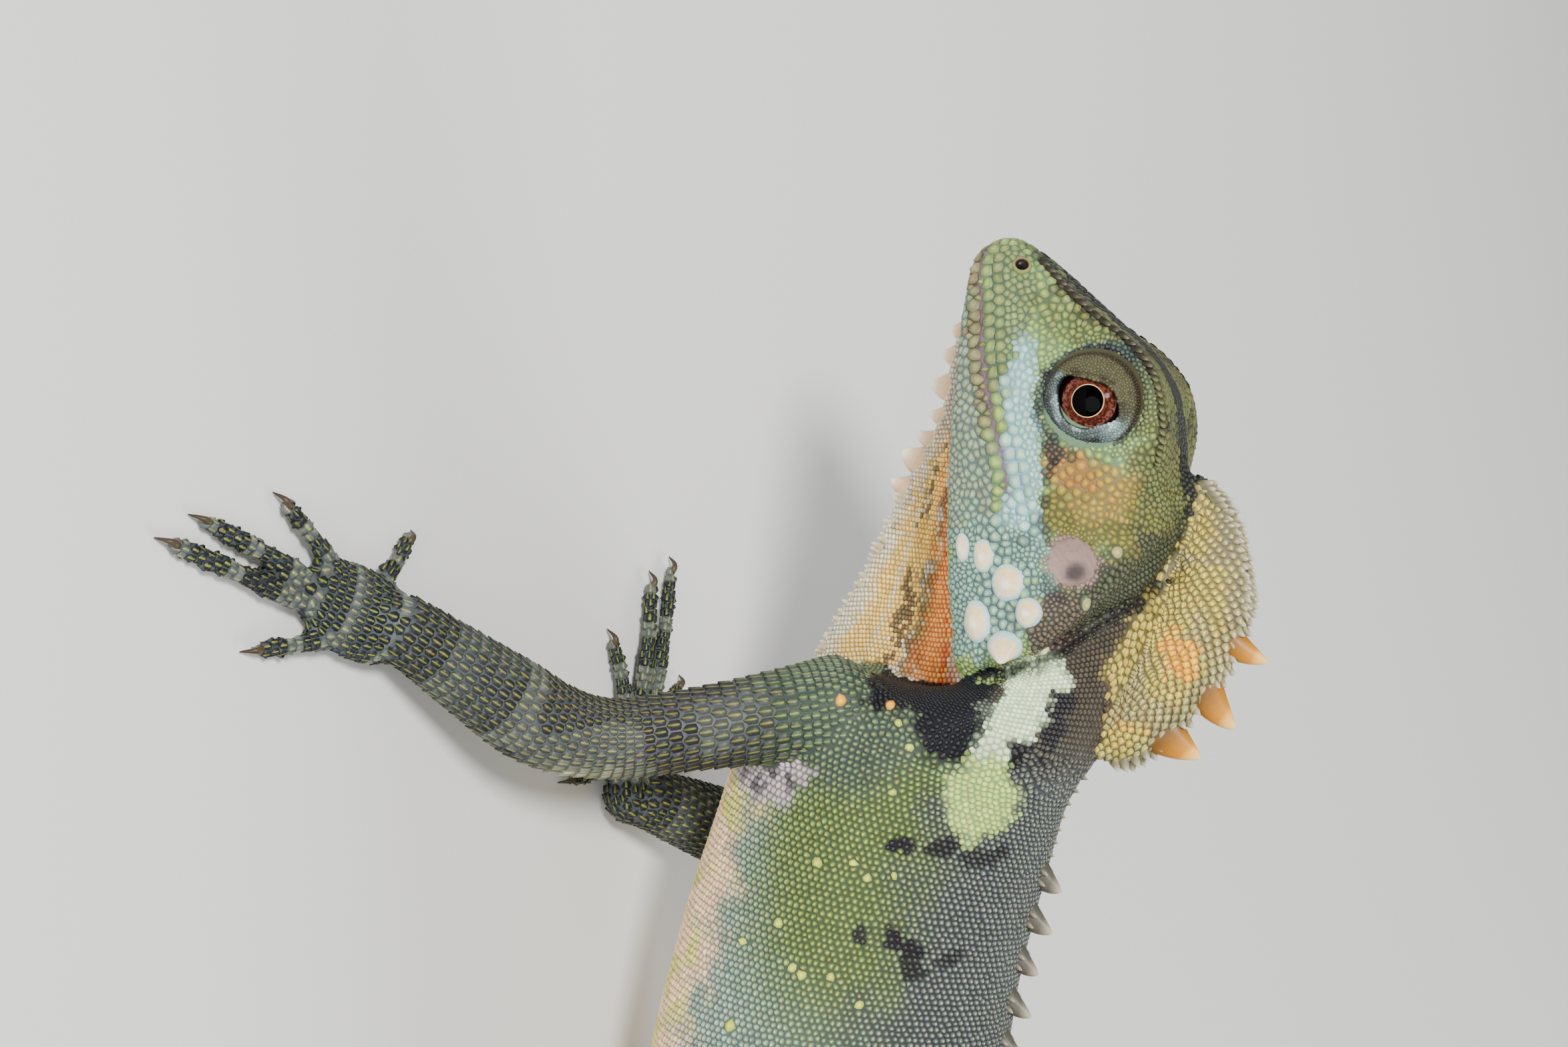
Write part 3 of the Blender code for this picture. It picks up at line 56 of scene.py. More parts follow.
# x, throat height, (height, half width) of jaw, lip, cheek, side and brow, crown height
HEAD_SECTIONS = (
    (-28.7, 43.2, (43.3, 0.5), (43.5, 0.9), (44.0, 1.1), (44.5, 0.9), (44.8, 0.6), 45.1),
    (-28.0, 42.1, (42.2, 1.1), (42.6, 1.8), (43.8, 2.2), (44.9, 1.9), (45.8, 1.3), 46.3),
    (-27.0, 41.0, (41.2, 1.9), (42.0, 2.7), (43.8, 3.1), (45.5, 2.7), (47.0, 1.8), 47.8),
    (-25.5, 40.5, (40.8, 2.9), (41.9, 3.6), (43.9, 4.0), (46.3, 3.5), (48.5, 2.8), 49.6),
    (-22.5, 40.2, (40.6, 4.4), (42.4, 5.0), (44.6, 5.4), (48.0, 4.7), (51.4, 4.5), 52.8),
    (-20.0, 40.1, (40.5, 5.4), (42.8, 6.1), (45.3, 6.5), (50.0, 5.6), (54.2, 6.0), 55.4),
    (-17.5, 40.0, (40.5, 6.4), (43.1, 7.2), (46.0, 7.6), (52.0, 6.7), (57.5, 7.6), 58.0),
    (-14.0, 39.9, (40.5, 7.6), (43.8, 8.5), (47.3, 9.0), (54.5, 8.2), (60.2, 8.8), 60.4),
    (-10.0, 39.8, (40.5, 8.7), (44.8, 9.6), (48.6, 10.2), (55.5, 9.3), (61.1, 8.9), 61.4),
    (-5.0, 39.7, (40.6, 9.6), (46.4, 10.7), (49.5, 11.1), (55.5, 10.4), (60.5, 8.2), 62.0),
    (0.0, 39.6, (40.8, 10.2), (47.0, 11.4), (50.0, 11.8), (55.5, 10.9), (60.2, 7.6), 62.5),
    (6.0, 39.9, (41.4, 10.3), (47.0, 11.7), (50.0, 12.1), (55.5, 11.0), (60.2, 7.4), 63.0),
    (9.6, 40.4, (42.0, 9.8), (47.0, 11.4), (50.0, 11.8), (55.5, 10.7), (60.2, 7.2), 63.2),
    (10.4, 41.0, (42.6, 8.8), (47.0, 10.5), (50.0, 10.9), (55.5, 9.9), (60.0, 6.7), 62.8),
)
SNOUT_X = HEAD_SECTIONS[0][0]
HEAD_STATIONS = 90
HEAD_LOW_STEPS = 12
HEAD_HIGH_STEPS = 30
JAW_SWEEP_START = -8.0
JAW_SWEEP_END = 10.4
JAW_MIDDLE_H = 52.5
JAW_SLOPE = -0.80
JAW_BOW = 0.032
MOUTH_END_X = -1.8
MOUTH_DEPTH = 0.8
MOUTH_HALF_WIDTH = 0.4
LIP_FULLNESS = 0.12
EYE_PLACE = (-11.5, 54.4)
EYE_DEPTH_W = 6.9
EYE_RADIUS = 4.2
ORBIT_RISE = 1.0
ORBIT_REACH = 7.0
EAR_PLACE = (3.6, 53.0)
EAR_RADIUS = 2.6
EAR_DEPTH = 0.75
NOSTRIL_PLACE = (-25.3, 46.2)
# belly point (X, h), back point (X, h) and half width
NECK_SECTIONS = (
    ((16.3, 37.0), (11.6, 59.4), 10.8), ((15.6, 33.2), (18.0, 56.4), 11.6),
    ((14.6, 29.5), (23.6, 52.6), 12.6),
)
NECK_FRONT = ((5.0, 45.0), (-6.0, 60.0), 8.0)
NECK_BEHIND_JAW = ((15.7, 41.3), (-0.5, 62.5), 10.0)
TRUNK_SECTIONS = (
    ((14.6, 29.5), (23.6, 52.6), 12.6), ((16.4, 21.6), (28.0, 49.8), 13.9),
    ((21.5, 16.6), (32.0, 48.5), 14.7), ((29.5, 13.6), (37.5, 47.0), 15.2),
    ((40.0, 10.2), (46.0, 45.0), 15.9), ((56.2, 6.6), (58.0, 43.3), 16.5),
    ((76.0, 4.8), (76.0, 39.6), 15.9), ((94.0, 4.0), (94.0, 33.6), 14.0),
    ((110.0, 3.6), (110.0, 26.0), 11.4), ((122.0, 2.8), (122.0, 20.0), 8.8),
)
BACK_ROOF = 0.30
SECTION_POWER = 0.88
BODY_STEPS = 36
# distance along the tail, belly height, back height, half width
TAIL_SECTIONS = (
    (122.0, 2.8, 20.0, 8.8), (135.0, 1.2, 16.9, 7.4), (152.0, -0.1, 14.6, 6.1),
    (178.0, -0.15, 12.4, 5.2), (235.0, -0.15, 9.2, 3.9), (295.0, -0.15, 6.4, 2.8),
    (360.0, -0.15, 4.0, 1.9), (422.0, -0.15, 1.9, 0.95), (432.0, -0.1, 1.2, 0.55),
)
TAIL_START = TAIL_SECTIONS[0][0]
TAIL_END = TAIL_SECTIONS[-1][0]
TAIL_SWING = math.radians(24.0)
TAIL_SWING_START = 112.0
TAIL_SWING_LENGTH = 330.0
DEWLAP_EDGE = (
    (-21.8, 39.3), (-17.5, 38.1), (-11.4, 36.9), (-7.4, 34.8), (-4.0, 32.6),
    (1.5, 29.6), (6.9, 25.8), (11.0, 22.8), (13.6, 22.4),
)
DEWLAP_ROOT = ((-21.2, 41.4), (17.0, 41.6))
DEWLAP_FOLDS = 5.5
DEWLAP_FOLD_DEPTH = 0.42
CHEST_LINE = ((21.6, 16.4), (29.5, 14.6), (33.2, 15.6), (37.0, 16.3), (41.3, 15.7))
CHEST_REACH = 2.0
DEWLAP_ROOT_HALF = 2.3
DEWLAP_EDGE_HALF = 0.8
# X, h of the tip and length along the edge
DEWLAP_SPINES = (
    (-19.9, 37.9, 2.2), (-17.4, 36.9, 2.4), (-14.3, 35.6, 3.2), (-11.4, 35.6, 2.2),
    (-9.4, 34.2, 2.2), (-7.6, 32.6, 3.2), (-4.6, 31.4, 2.2),
)
CREST_EDGE = (
    (-5.2, 63.0), (-2.6, 65.4), (0.6, 67.0), (4.8, 67.9), (8.0, 68.0), (12.6, 66.6),
    (16.4, 64.4), (20.4, 60.8), (23.0, 57.4), (23.8, 54.6),
)
CREST_ROOT_HALF = 3.3
CREST_EDGE_HALF = 0.7
CREST_SPINES = (
    ((10.0, 67.2), (13.0, 65.8), (13.4, 69.7)),
    ((14.6, 65.4), (18.2, 63.0), (19.9, 66.5)),
    ((19.3, 61.8), (22.4, 58.6), (22.9, 63.2)),
)
BACK_SPINE_START_X = 36.5
BACK_SPINE_SPACING = 4.1
BACK_SPINE_COUNT = 20
BACK_SPINE_RISE = 2.3
TAIL_SPINE_COUNT = 34
LEFT_ARM = ((17.8, 0.0, 33.0), (21.6, -20.4, 11.2), (10.2, -36.2, 4.6))
RIGHT_ARM = ((19.0, 14.0, 30.0), (37.0, 19.0, 9.0), (29.5, 0.5, 4.6))
LEFT_HAND_HEADING = (-0.426, -0.904)
RIGHT_HAND_HEADING = (-0.97, 0.24)
ARM_RADII = (6.0, 4.3, 3.9, 4.4, 4.0, 3.1)
LEFT_LEG = ((104.0, -5.0, 15.0), (83.0, -33.0, 20.0), (104.0, -46.0, 5.4))
RIGHT_LEG = ((104.0, 5.0, 15.0), (86.0, 35.0, 20.0), (107.0, 46.0, 5.4))
LEFT_FOOT_HEADING = (-0.90, -0.436)
RIGHT_FOOT_HEADING = (-0.93, 0.368)
LEG_RADII = (8.2, 6.6, 5.0, 5.4, 4.2, 3.2)
LIMB_SIDES = 36
ELBOW_ROUNDING = 0.32
ROOT_ROUNDING = 0.6
# root and tip of each digit (forward, towards the inner digit) and its root radius
HAND_DIGITS = (
    ((3.2, 3.0), (0.4, 9.6), 1.1), ((8.4, 2.4), (16.2, 5.8), 1.1), ((9.6, 0.4), (23.8, 0.4), 1.15),
    ((9.0, -1.6), (26.2, -2.8), 1.15), ((6.0, -3.0), (13.8, -7.4), 1.1),
)
FOOT_DIGITS = (
    ((10.4, 2.8), (16.4, 8.2), 1.15), ((12.6, 1.9), (23.6, 8.0), 1.2), ((13.6, 0.4), (32.0, 5.4), 1.25),
    ((13.2, -1.5), (40.0, -1.2), 1.3), ((6.0, -2.8), (17.0, -12.0), 1.15),
)
HAND_PALM = (11.2, 4.3, 2.5)
FOOT_PALM = (15.4, 4.3, 2.7)
CLAW_LENGTH = 1.15
CLAW_RADIUS = 0.42
CLAW_SIDES = 10
CLAW_TONES = ((96, 84, 66), (54, 42, 32))
# height of a digit's middle at its root and at its tip, and its arch between them
DIGIT_ROOT_H = 1.55
DIGIT_TIP_H = 0.75
DIGIT_ARCH = 0.5
# distance to the side from which on the eye's looks, the ear's and the head's marks show
EYE_SIDE_W = 5.0
EAR_SIDE_W = 6.0
MARKS_SIDE_W = 2.4
# X and h of the line where the crown's scales begin
CROWN_LINE = ((-28, -22, -14, 0, 12), (47, 53, 61.0, 62.5, 63))

# Skin and scales
VOXEL = 0.42
SKIN_INSET = 0.16
FLOOR_CLEARANCE = 0.02
# rounds of smoothing, and the distance from body and limb over which their joint is blended
SMOOTH_ROUNDS = 4
BLEND_ROUNDS = 40
BLEND_START = 0.8
BLEND_END = 3.4
# depth of the groove round the lids, its distance from the eye's middle and its half width
ORBIT_GROOVE = 0.45
ORBIT_GROOVE_REACH = 4.9
ORBIT_GROOVE_HALF = 0.3
SCALE_SIDES = 8
NEIGHBOURS = 15
PIECE_LIMIT = 7500
# random spots tried for each scale, and the size of the scales that fill bare places
HEAD_TRIES = 9.0
FILL_TRIES = 7.0
FILL_SIZE = 0.62
# spacing kept between scales, as a share of their size
HEAD_SPACING = 0.78
LIP_SPACING = 0.72
FILL_SPACING = 0.82
GROUP_SPACING = 0.36
# rounds that even out the spacing, the X where the head's scales end, and the lowest scale's height
EVEN_ROUNDS = 3
HEAD_REAR_X = 18.0
LOWEST_SCALE_Z = 0.1
BAKE_PATCH = 0.003


def smooth(keys, values, at):
    """Read a smooth curve through the keyed values, of one or more columns."""
    keys = np.asarray(keys, float)
    values = np.asarray(values, float)
    flat = values.ndim == 1
    if flat:
        values = values[:, None]
    steps = np.diff(keys)[:, None]
    slopes = np.diff(values, axis=0) / steps
    tangents = np.empty_like(values)
    tangents[0] = slopes[0]
    tangents[-1] = slopes[-1]
    weights = steps[1:] + steps[:-1]
    tangents[1:-1] = (slopes[:-1] * steps[1:] + slopes[1:] * steps[:-1]) / weights
    at = np.clip(np.atleast_1d(np.asarray(at, float)), keys[0], keys[-1])
    spot = np.clip(np.searchsorted(keys, at, side="right") - 1, 0, len(keys) - 2)
    width = np.diff(keys)[spot]
    t = ((at - keys[spot]) / width)[:, None]
    width = width[:, None]
    result = ((2 * t**3 - 3 * t**2 + 1) * values[spot] + (t**3 - 2 * t**2 + t) * width * tangents[spot]
              + (3 * t**2 - 2 * t**3) * values[spot + 1] + (t**3 - t**2) * width * tangents[spot + 1])
    return result[:, 0] if flat else result


def ramp(start, end, value):
    """Ease from 0 at start to 1 at end."""
    t = np.clip((np.asarray(value, float) - start) / (end - start), 0.0, 1.0)
    return t * t * (3 - 2 * t)


def lean_at(x):
    """Angle at which the front of the body leans over, at X."""
    return LEAN * (1 - ramp(LEAN_FULL_X, LEAN_END_X, x))


def place(x, w, h):
    """Turn body coordinates into upright ones, with the front of the body leaning over."""
    lean = lean_at(x)
    return np.stack(np.broadcast_arrays(
        x, h * np.sin(lean) - w * np.cos(lean), h * np.cos(lean) + w * np.sin(lean)), axis=-1)


def body_of(points):
    """Turn upright coordinates back into body ones: X, w and h."""
    points = np.atleast_2d(points)
    lean = lean_at(points[:, 0])
    w = points[:, 2] * np.sin(lean) - points[:, 1] * np.cos(lean)
    h = points[:, 1] * np.sin(lean) + points[:, 2] * np.cos(lean)
    return points[:, 0], w, h


def unit(vectors):
    """Vectors of length 1 along the given ones."""
    vectors = np.asarray(vectors, float)
    return vectors / np.maximum(np.linalg.norm(vectors, axis=-1, keepdims=True), 1e-9)


def body_way(w, h):
    """Direction in space of a way across the front of the body."""
    return unit(place(0.0, w, h) - place(0.0, 0.0, 0.0))


def turns_of(count):
    """Angles of evenly spaced points round a full turn."""
    return np.arange(count) * 2 * np.pi / count


def along_rows(rows, share):
    """Read a smooth curve through evenly spaced rows at a share of its length."""
    return smooth(np.linspace(0, 1, len(rows)), rows, share)[0]


def run_along(points):
    """Distance along a line of points, from 0 at its first."""
    return np.concatenate([[0], np.cumsum(np.linalg.norm(np.diff(points, axis=0), axis=1))])


def ear_distance(x, h):
    """Distance from the ear's middle, on the side of the head."""
    return np.hypot(x - EAR_PLACE[0], h - EAR_PLACE[1])


def shift_from_frame():
    """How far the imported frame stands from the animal's own frame."""
    low, high = (np.array(corner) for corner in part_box("eye_left"))
    return (low + high) / 2 / MM - place(EYE_PLACE[0], EYE_DEPTH_W, EYE_PLACE[1])


SHIFT = shift_from_frame()


def noise(points, size, seed=0):
    """Smooth random values from 0 to 1 in space, with bumps of about the given size."""
    spots = np.asarray(points, float) / size + seed * 17.3
    cell = np.floor(spots).astype(np.int64)
    part = spots - cell
    part = part * part * (3 - 2 * part)
    total = np.zeros(len(spots))
    for corner in np.ndindex(2, 2, 2):
        at = cell + np.array(corner)
        mix = (at[:, 0] * 73856093) ^ (at[:, 1] * 19349663) ^ (at[:, 2] * 83492791)
        mix = (mix * 2654435761 + 1013904223) & 0xFFFFFFFF
        mix = ((mix ^ (mix >> 15)) * 2246822519) & 0xFFFFFFFF
        weight = np.prod(np.where(np.array(corner) == 1, part, 1 - part), axis=1)
        total += weight * ((mix >> 8) & 0xFFFF) / 65535.0
    return total


# Charts: the body's lengths as grids of points, which give the skin, the rows of scales and the unwrap


def mouth_height(x):
    """Height of the mouth in the head's upright sections, at X."""
    return smooth([row[0] for row in HEAD_SECTIONS], [row[3][0] for row in HEAD_SECTIONS], x)


def jaw_sweep(x, h):
    """How far the head's sections are swept along X at a height, towards the jaw's slant."""
    share = ramp(JAW_SWEEP_START, JAW_SWEEP_END, x)
    rise = h - JAW_MIDDLE_H
    return share * (JAW_SLOPE * rise - JAW_BOW * rise**2)


def head_half_ring(x):
    """Half a section of the head as (w, h), from the throat round the lips' groove to the crown."""
    keys = [row[0] for row in HEAD_SECTIONS]
    columns = [np.hstack([row[1], *row[2:7], row[7]]) for row in HEAD_SECTIONS]
    values = smooth(keys, columns, x)[0]
    throat, crown = values[0], values[-1]
    jaw, lip, cheek, side, brow = values[1:-1].reshape(5, 2)
    opening = max(ramp(-29.2, -26.6, x), 0.08)
    depth = MOUTH_DEPTH * (1 - ramp(MOUTH_END_X - 3.0, MOUTH_END_X + 1.0, x)) * opening
    half = MOUTH_HALF_WIDTH * opening
    lip_w = lip[1] + LIP_FULLNESS * opening
    low = np.array([(0.0, throat), (jaw[1] * 0.6, throat + (jaw[0] - throat) * 0.25), (jaw[1], jaw[0]),
                    (lip_w, lip[0] - half)])
    high = np.array([(lip_w, lip[0] + half), (cheek[1], cheek[0]), (side[1], side[0]), (brow[1], brow[0]),
                     (brow[1] * 0.5, (brow[0] + crown) / 2), (0.0, crown)])
    groove = np.array([[lip[1] - depth, lip[0]]])
    low = smooth(np.arange(len(low)), low, np.linspace(0, len(low) - 1, HEAD_LOW_STEPS + 1))
    high = smooth(np.arange(len(high)), high, np.linspace(0, len(high) - 1, HEAD_HIGH_STEPS + 1))
    return np.vstack([low, groove, high])


def head_ring(x):
    """A whole section of the head, swept and raised round the eye."""
    half = head_half_ring(x)
    w, h = half[:, 0].copy(), half[:, 1]
    along = x + jaw_sweep(x, h)
    reach = np.hypot(along - EYE_PLACE[0], h - EYE_PLACE[1]) / ORBIT_REACH
    w += ORBIT_RISE * np.clip(1 - reach**2, 0, 1)**2
    return mirrored(along, w, h)


def head_rings():
    """The head from the snout's tip to its rear."""
    share = np.linspace(0, 1, HEAD_STATIONS)
    stations = SNOUT_X + (JAW_SWEEP_END - SNOUT_X) * (0.35 * share**2 + 0.65 * share)
    return np.array([head_ring(x) for x in stations])


def mirrored(x, w, h):
    """A closed ring of points from one half of it."""
    return np.vstack([place(x, w, h), place(x, -w, h)[-2:0:-1]])


def roof_over(share):
    """How a section narrows towards the back, by the share of its height."""
    return 1 - BACK_ROOF * np.clip(2 * share - 1, 0, 1)**1.5


def body_ring(row):
    """A mirrored section from the belly point round to the back point."""
    angles = np.linspace(0, np.pi, BODY_STEPS + 1)
    share = (1 - np.cos(angles)) / 2
    w = row[4] * np.sin(angles)**SECTION_POWER * roof_over(share)
    x = row[0] + (row[2] - row[0]) * share
    h = row[1] + (row[3] - row[1]) * share
    return mirrored(x, w, h)


def section_rows(sections):
    """Sections as flat rows: belly point, back point and half width."""
    return np.array([(*row[0], *row[1], row[2]) for row in sections])


def trunk_row(share):
    """The trunk's section at a share of its length: belly point, back point and half width."""
    return along_rows(section_rows(TRUNK_SECTIONS), share)


def trunk_rings():
    """The trunk from the neck to the hip."""
    return np.array([body_ring(trunk_row(share)) for share in np.linspace(0, 1, 90)])


def neck_rows():
    """The neck's sections behind the jaw."""
    return section_rows((NECK_BEHIND_JAW,) + NECK_SECTIONS)


def neck_rings():
    """The neck, from inside the head to inside the trunk."""
    rows = np.vstack([section_rows((NECK_FRONT,)), neck_rows(), trunk_row(0.08)])
    return np.array([body_ring(along_rows(rows, share)) for share in np.linspace(0, 1, 44)])


def tail_place(along, w, h):
    """Point of the tail, which swings gently from side to side along the floor."""
    steps = np.linspace(TAIL_START, TAIL_END, 300)
    heading = TAIL_SWING * np.sin(2 * np.pi * (steps - TAIL_SWING_START) / TAIL_SWING_LENGTH)
    heading *= ramp(TAIL_START - 8.0, TAIL_START + 40.0, steps)
    step = steps[1] - steps[0]
    xs = TAIL_START + np.concatenate([[0], np.cumsum(np.cos(heading[:-1]) * step)])
    ys = np.concatenate([[0], np.cumsum(np.sin(heading[:-1]) * step)])
    turn = np.interp(along, steps, heading)
    x = np.interp(along, steps, xs)
    y = np.interp(along, steps, ys)
    return np.stack(np.broadcast_arrays(x + w * np.sin(turn), y - w * np.cos(turn), h), axis=-1)


def tail_row(along):
    """Belly height, back height and half width of the tail at a distance along it."""
    return smooth([row[0] for row in TAIL_SECTIONS], [row[1:] for row in TAIL_SECTIONS], along)[0]


def tail_rings():
    """The tail, which starts inside the trunk."""
    rings = [body_ring(trunk_row(0.93)), body_ring(trunk_row(0.97))]
    angles = turns_of(2 * BODY_STEPS)
    share = (1 - np.cos(angles)) / 2
    roof = roof_over(share)
    for along in np.linspace(TAIL_START + 0.3, TAIL_END - 0.4, 220):
        belly, back, half_width = tail_row(along)
        w = half_width * np.sign(np.sin(angles)) * np.abs(np.sin(angles))**SECTION_POWER * roof
        rings.append(tail_place(along, w, belly + (back - belly) * share))
    return np.array(rings)


def dewlap_edge(share):
    """Point (X, h) of the throat sheet's free edge, from the chin to the chest."""
    return along_rows(DEWLAP_EDGE, share)


def dewlap_points(share, down):
    """The middle of the throat's sheet, as (X, h) down from the throat, with its rear against the chest."""
    root = np.array(DEWLAP_ROOT[0]) * (1 - share) + np.array(DEWLAP_ROOT[1]) * share
    points = root + (dewlap_edge(share) - root) * down[:, None]
    chest = np.interp(points[:, 1], *np.transpose(CHEST_LINE))
    points[:, 0] += share**5 * (chest + CHEST_REACH - points[:, 0])
    return points


def dewlap_rings():
    """The throat's sheet as rings from chin to chest, thin at its free edge and folded along its length."""
    rings = []
    down = np.linspace(0, 1, 30)
    for share in np.linspace(0, 1, 110):
        points = dewlap_points(share, down)
        half = DEWLAP_ROOT_HALF + (DEWLAP_EDGE_HALF - DEWLAP_ROOT_HALF) * down**0.8
        half = half * (0.35 + 0.65 * ramp(0.0, 0.12, share)) * np.clip((1.03 - down) / 0.1, 0.3, 1)**0.5
        deep = DEWLAP_FOLD_DEPTH * np.sin(np.pi * down)**0.7 * ramp(0.15, 0.45, share) * (1 - share**8)
        turns = DEWLAP_FOLDS * down + 0.5 * np.sin(share * 7.0) + 0.25 * np.sin(share * 17.0 + down * 5.0)
        fold = deep * np.sin(2 * np.pi * turns)
        far = deep * np.sin(2 * np.pi * turns + 1.9)
        left = place(points[:, 0], half + fold, points[:, 1])
        right = place(points[:, 0], -half + far, points[:, 1])
        rings.append(np.vstack([left, right[::-1]]))
    return np.array(rings)


def nape_line(share):
    """Point (X, h) of the nape under the crest."""
    return along_rows(neck_rows(), share)[2:4]


def crest_edge(share):
    """Point (X, h) of the crest's free edge, from the crown to the back."""
    return along_rows(CREST_EDGE, share)


def crest_rings():
    """The nape's crest as rings from the crown to the back, thin at its free edge."""
    profile = ((-0.30, 1.0), (0.0, 1.0), (0.25, 0.98), (0.55, 0.80), (0.85, 0.45),
               (1.0, CREST_EDGE_HALF / CREST_ROOT_HALF))
    rises = np.linspace(-0.30, 1.0, 26)
    widths = smooth(*np.transpose(profile), rises)
    rings = []
    for share in np.linspace(0, 1, 70):
        root = nape_line(0.03 + 0.94 * share)
        edge = crest_edge(share)
        fade = np.clip(np.sin(np.pi * (0.06 + 0.88 * share)), 0, 1)**0.5
        points = root + (edge - root) * rises[:, None]
        half = CREST_ROOT_HALF * widths * fade
        rings.append(np.vstack([place(points[:, 0], half, points[:, 1]),
                                place(points[:, 0], -half, points[:, 1])[::-1]]))
    return np.array(rings)


def tube_rings(path, radii, sides, flatten=1.0, up=(0.0, 0.0, 1.0)):
    """Rings of points round a path, with a radius at each of its points."""
    path = np.asarray(path, float)
    tangents = np.gradient(path, axis=0)
    across = np.cross(up, tangents[0])
    angles = turns_of(sides)
    rings = []
    for point, tangent, radius in zip(path, tangents, radii):
        forward = unit(tangent)
        across = unit(across - forward * np.dot(across, forward))
        upward = np.cross(forward, across)
        rings.append(point + radius * (np.cos(angles)[:, None] * across
                                       + flatten * np.sin(angles)[:, None] * upward))
    return np.array(rings)


def limb_rings(joints, radii):
    """Rings along a whole limb, with its middle joint turned on an arc."""
    root, middle, end = (np.asarray(p, float) for p in joints)
    to_root, to_end = unit(root - middle), unit(end - middle)
    reach = ELBOW_ROUNDING * min(np.linalg.norm(root - middle), np.linalg.norm(end - middle))
    half_angle = math.acos(np.dot(to_root, to_end)) / 2
    centre = middle + unit(to_root + to_end) * reach / math.cos(half_angle)
    before, after = middle + to_root * reach, middle + to_end * reach
    turn = math.pi - 2 * half_angle
    path = [root + (before - root) * t for t in np.linspace(0, 1, 16)]
    for t in np.linspace(0, 1, 10)[1:-1]:
        path.append(centre + ((before - centre) * math.sin((1 - t) * turn)
                              + (after - centre) * math.sin(t * turn)) / math.sin(turn))
    path += [after + (end - after) * t for t in np.linspace(0, 1.12, 18)]
    spots = np.linspace(0, 1, len(path))
    sizes = smooth((0, 0.21, 0.41, 0.6, 0.74, 1.0), radii, spots)
    sizes *= ROOT_ROUNDING + (1 - ROOT_ROUNDING) * ramp(0.0, 0.06, spots)
    return tube_rings(path, sizes, LIMB_SIDES, up=(1.0, 0.0, 0.2))


def paw_frame(joints, heading, side):
    """Place on the floor under the wrist, and the ways forward and inward of a hand or foot."""
    wrist = np.asarray(joints[2], float)
    forward = np.array([*unit(heading), 0.0])
    inner = np.array([forward[1], -forward[0], 0.0]) * side
    return np.array([wrist[0], wrist[1], 0.0]), forward, inner


def palm_rings(joints, heading, side, palm):
    """The palm or sole, from the heel to the digits."""
    ground, forward, inner = paw_frame(joints, heading, side)
    length, half_width, height = palm
    shares = np.linspace(0, 1, 24)
    heel_height = height + 0.3
    widths = smooth((0, 0.15, 0.6, 0.85, 1.0), (1.6, 3.0, half_width, half_width * 0.8, 1.9), shares)
    heights = smooth((0, 0.15, 0.5, 1.0), (1.4, heel_height, height * 0.85, 1.3), shares)
    angles = turns_of(40)
    rings = []
    for spot, share in enumerate(shares):
        centre = ground + forward * ((length + 2.0) * share - 2.0)
        centre = centre + np.array([0.0, 0.0, heel_height + (1.3 - heel_height) * share])
        rings.append(centre + widths[spot] * np.cos(angles)[:, None] * inner
                     + heights[spot] * np.sin(angles)[:, None] * np.array([0.0, 0.0, 1.0]))
    return np.array(rings)


def digit_line(joints, heading, side, digit):
    """The middle line and the radii of one digit, from inside the palm to its claw."""
    ground, forward, inner = paw_frame(joints, heading, side)
    root, tip = np.array(digit[0]), np.array(digit[1])
    root = root - unit(tip - root) * 1.6
    shares = np.linspace(0, 1, 26)
    line = []
    for t in shares:
        ahead, inward = root + (tip - root) * t
        z = DIGIT_ROOT_H * (1 - t) + DIGIT_TIP_H * t + DIGIT_ARCH * math.sin(math.pi * t)
        line.append(ground + forward * ahead + inner * inward + np.array([0.0, 0.0, z]))
    knuckles = 1 + 0.06 * np.cos(shares * 5 * np.pi)
    radii = digit[2] * (1 - 0.34 * shares) * knuckles
    radii[-2:] *= (0.93, 0.72)
    return np.array(line), radii


LIMBS = (
    ("arm_left", LEFT_ARM, ARM_RADII, "hand_left", LEFT_HAND_HEADING, 1, HAND_DIGITS, HAND_PALM),
    ("arm_right", RIGHT_ARM, ARM_RADII, "hand_right", RIGHT_HAND_HEADING, -1, HAND_DIGITS, HAND_PALM),
    ("leg_left", LEFT_LEG, LEG_RADII, "foot_left", LEFT_FOOT_HEADING, 1, FOOT_DIGITS, FOOT_PALM),
    ("leg_right", RIGHT_LEG, LEG_RADII, "foot_right", RIGHT_FOOT_HEADING, -1, FOOT_DIGITS, FOOT_PALM),
)


def make_charts():
    """Every length of the body as a grid of points, by name."""
    charts = {"head": head_rings(), "neck": neck_rings(), "torso": trunk_rings(), "tail": tail_rings(),
              "dewlap": dewlap_rings(), "crest": crest_rings()}
    for limb, joints, radii, paw, heading, side, digits, palm in LIMBS:
        charts[limb] = limb_rings(joints, radii)
        charts[paw] = palm_rings(joints, heading, side, palm)
        for number, digit in enumerate(digits):
            line, sizes = digit_line(joints, heading, side, digit)
            charts[f"{paw}_digit_{number}"] = tube_rings(line, sizes, 18, flatten=0.92)
    return charts


CHARTS = make_charts()
CHART_NAMES = list(CHARTS)


# Meshes


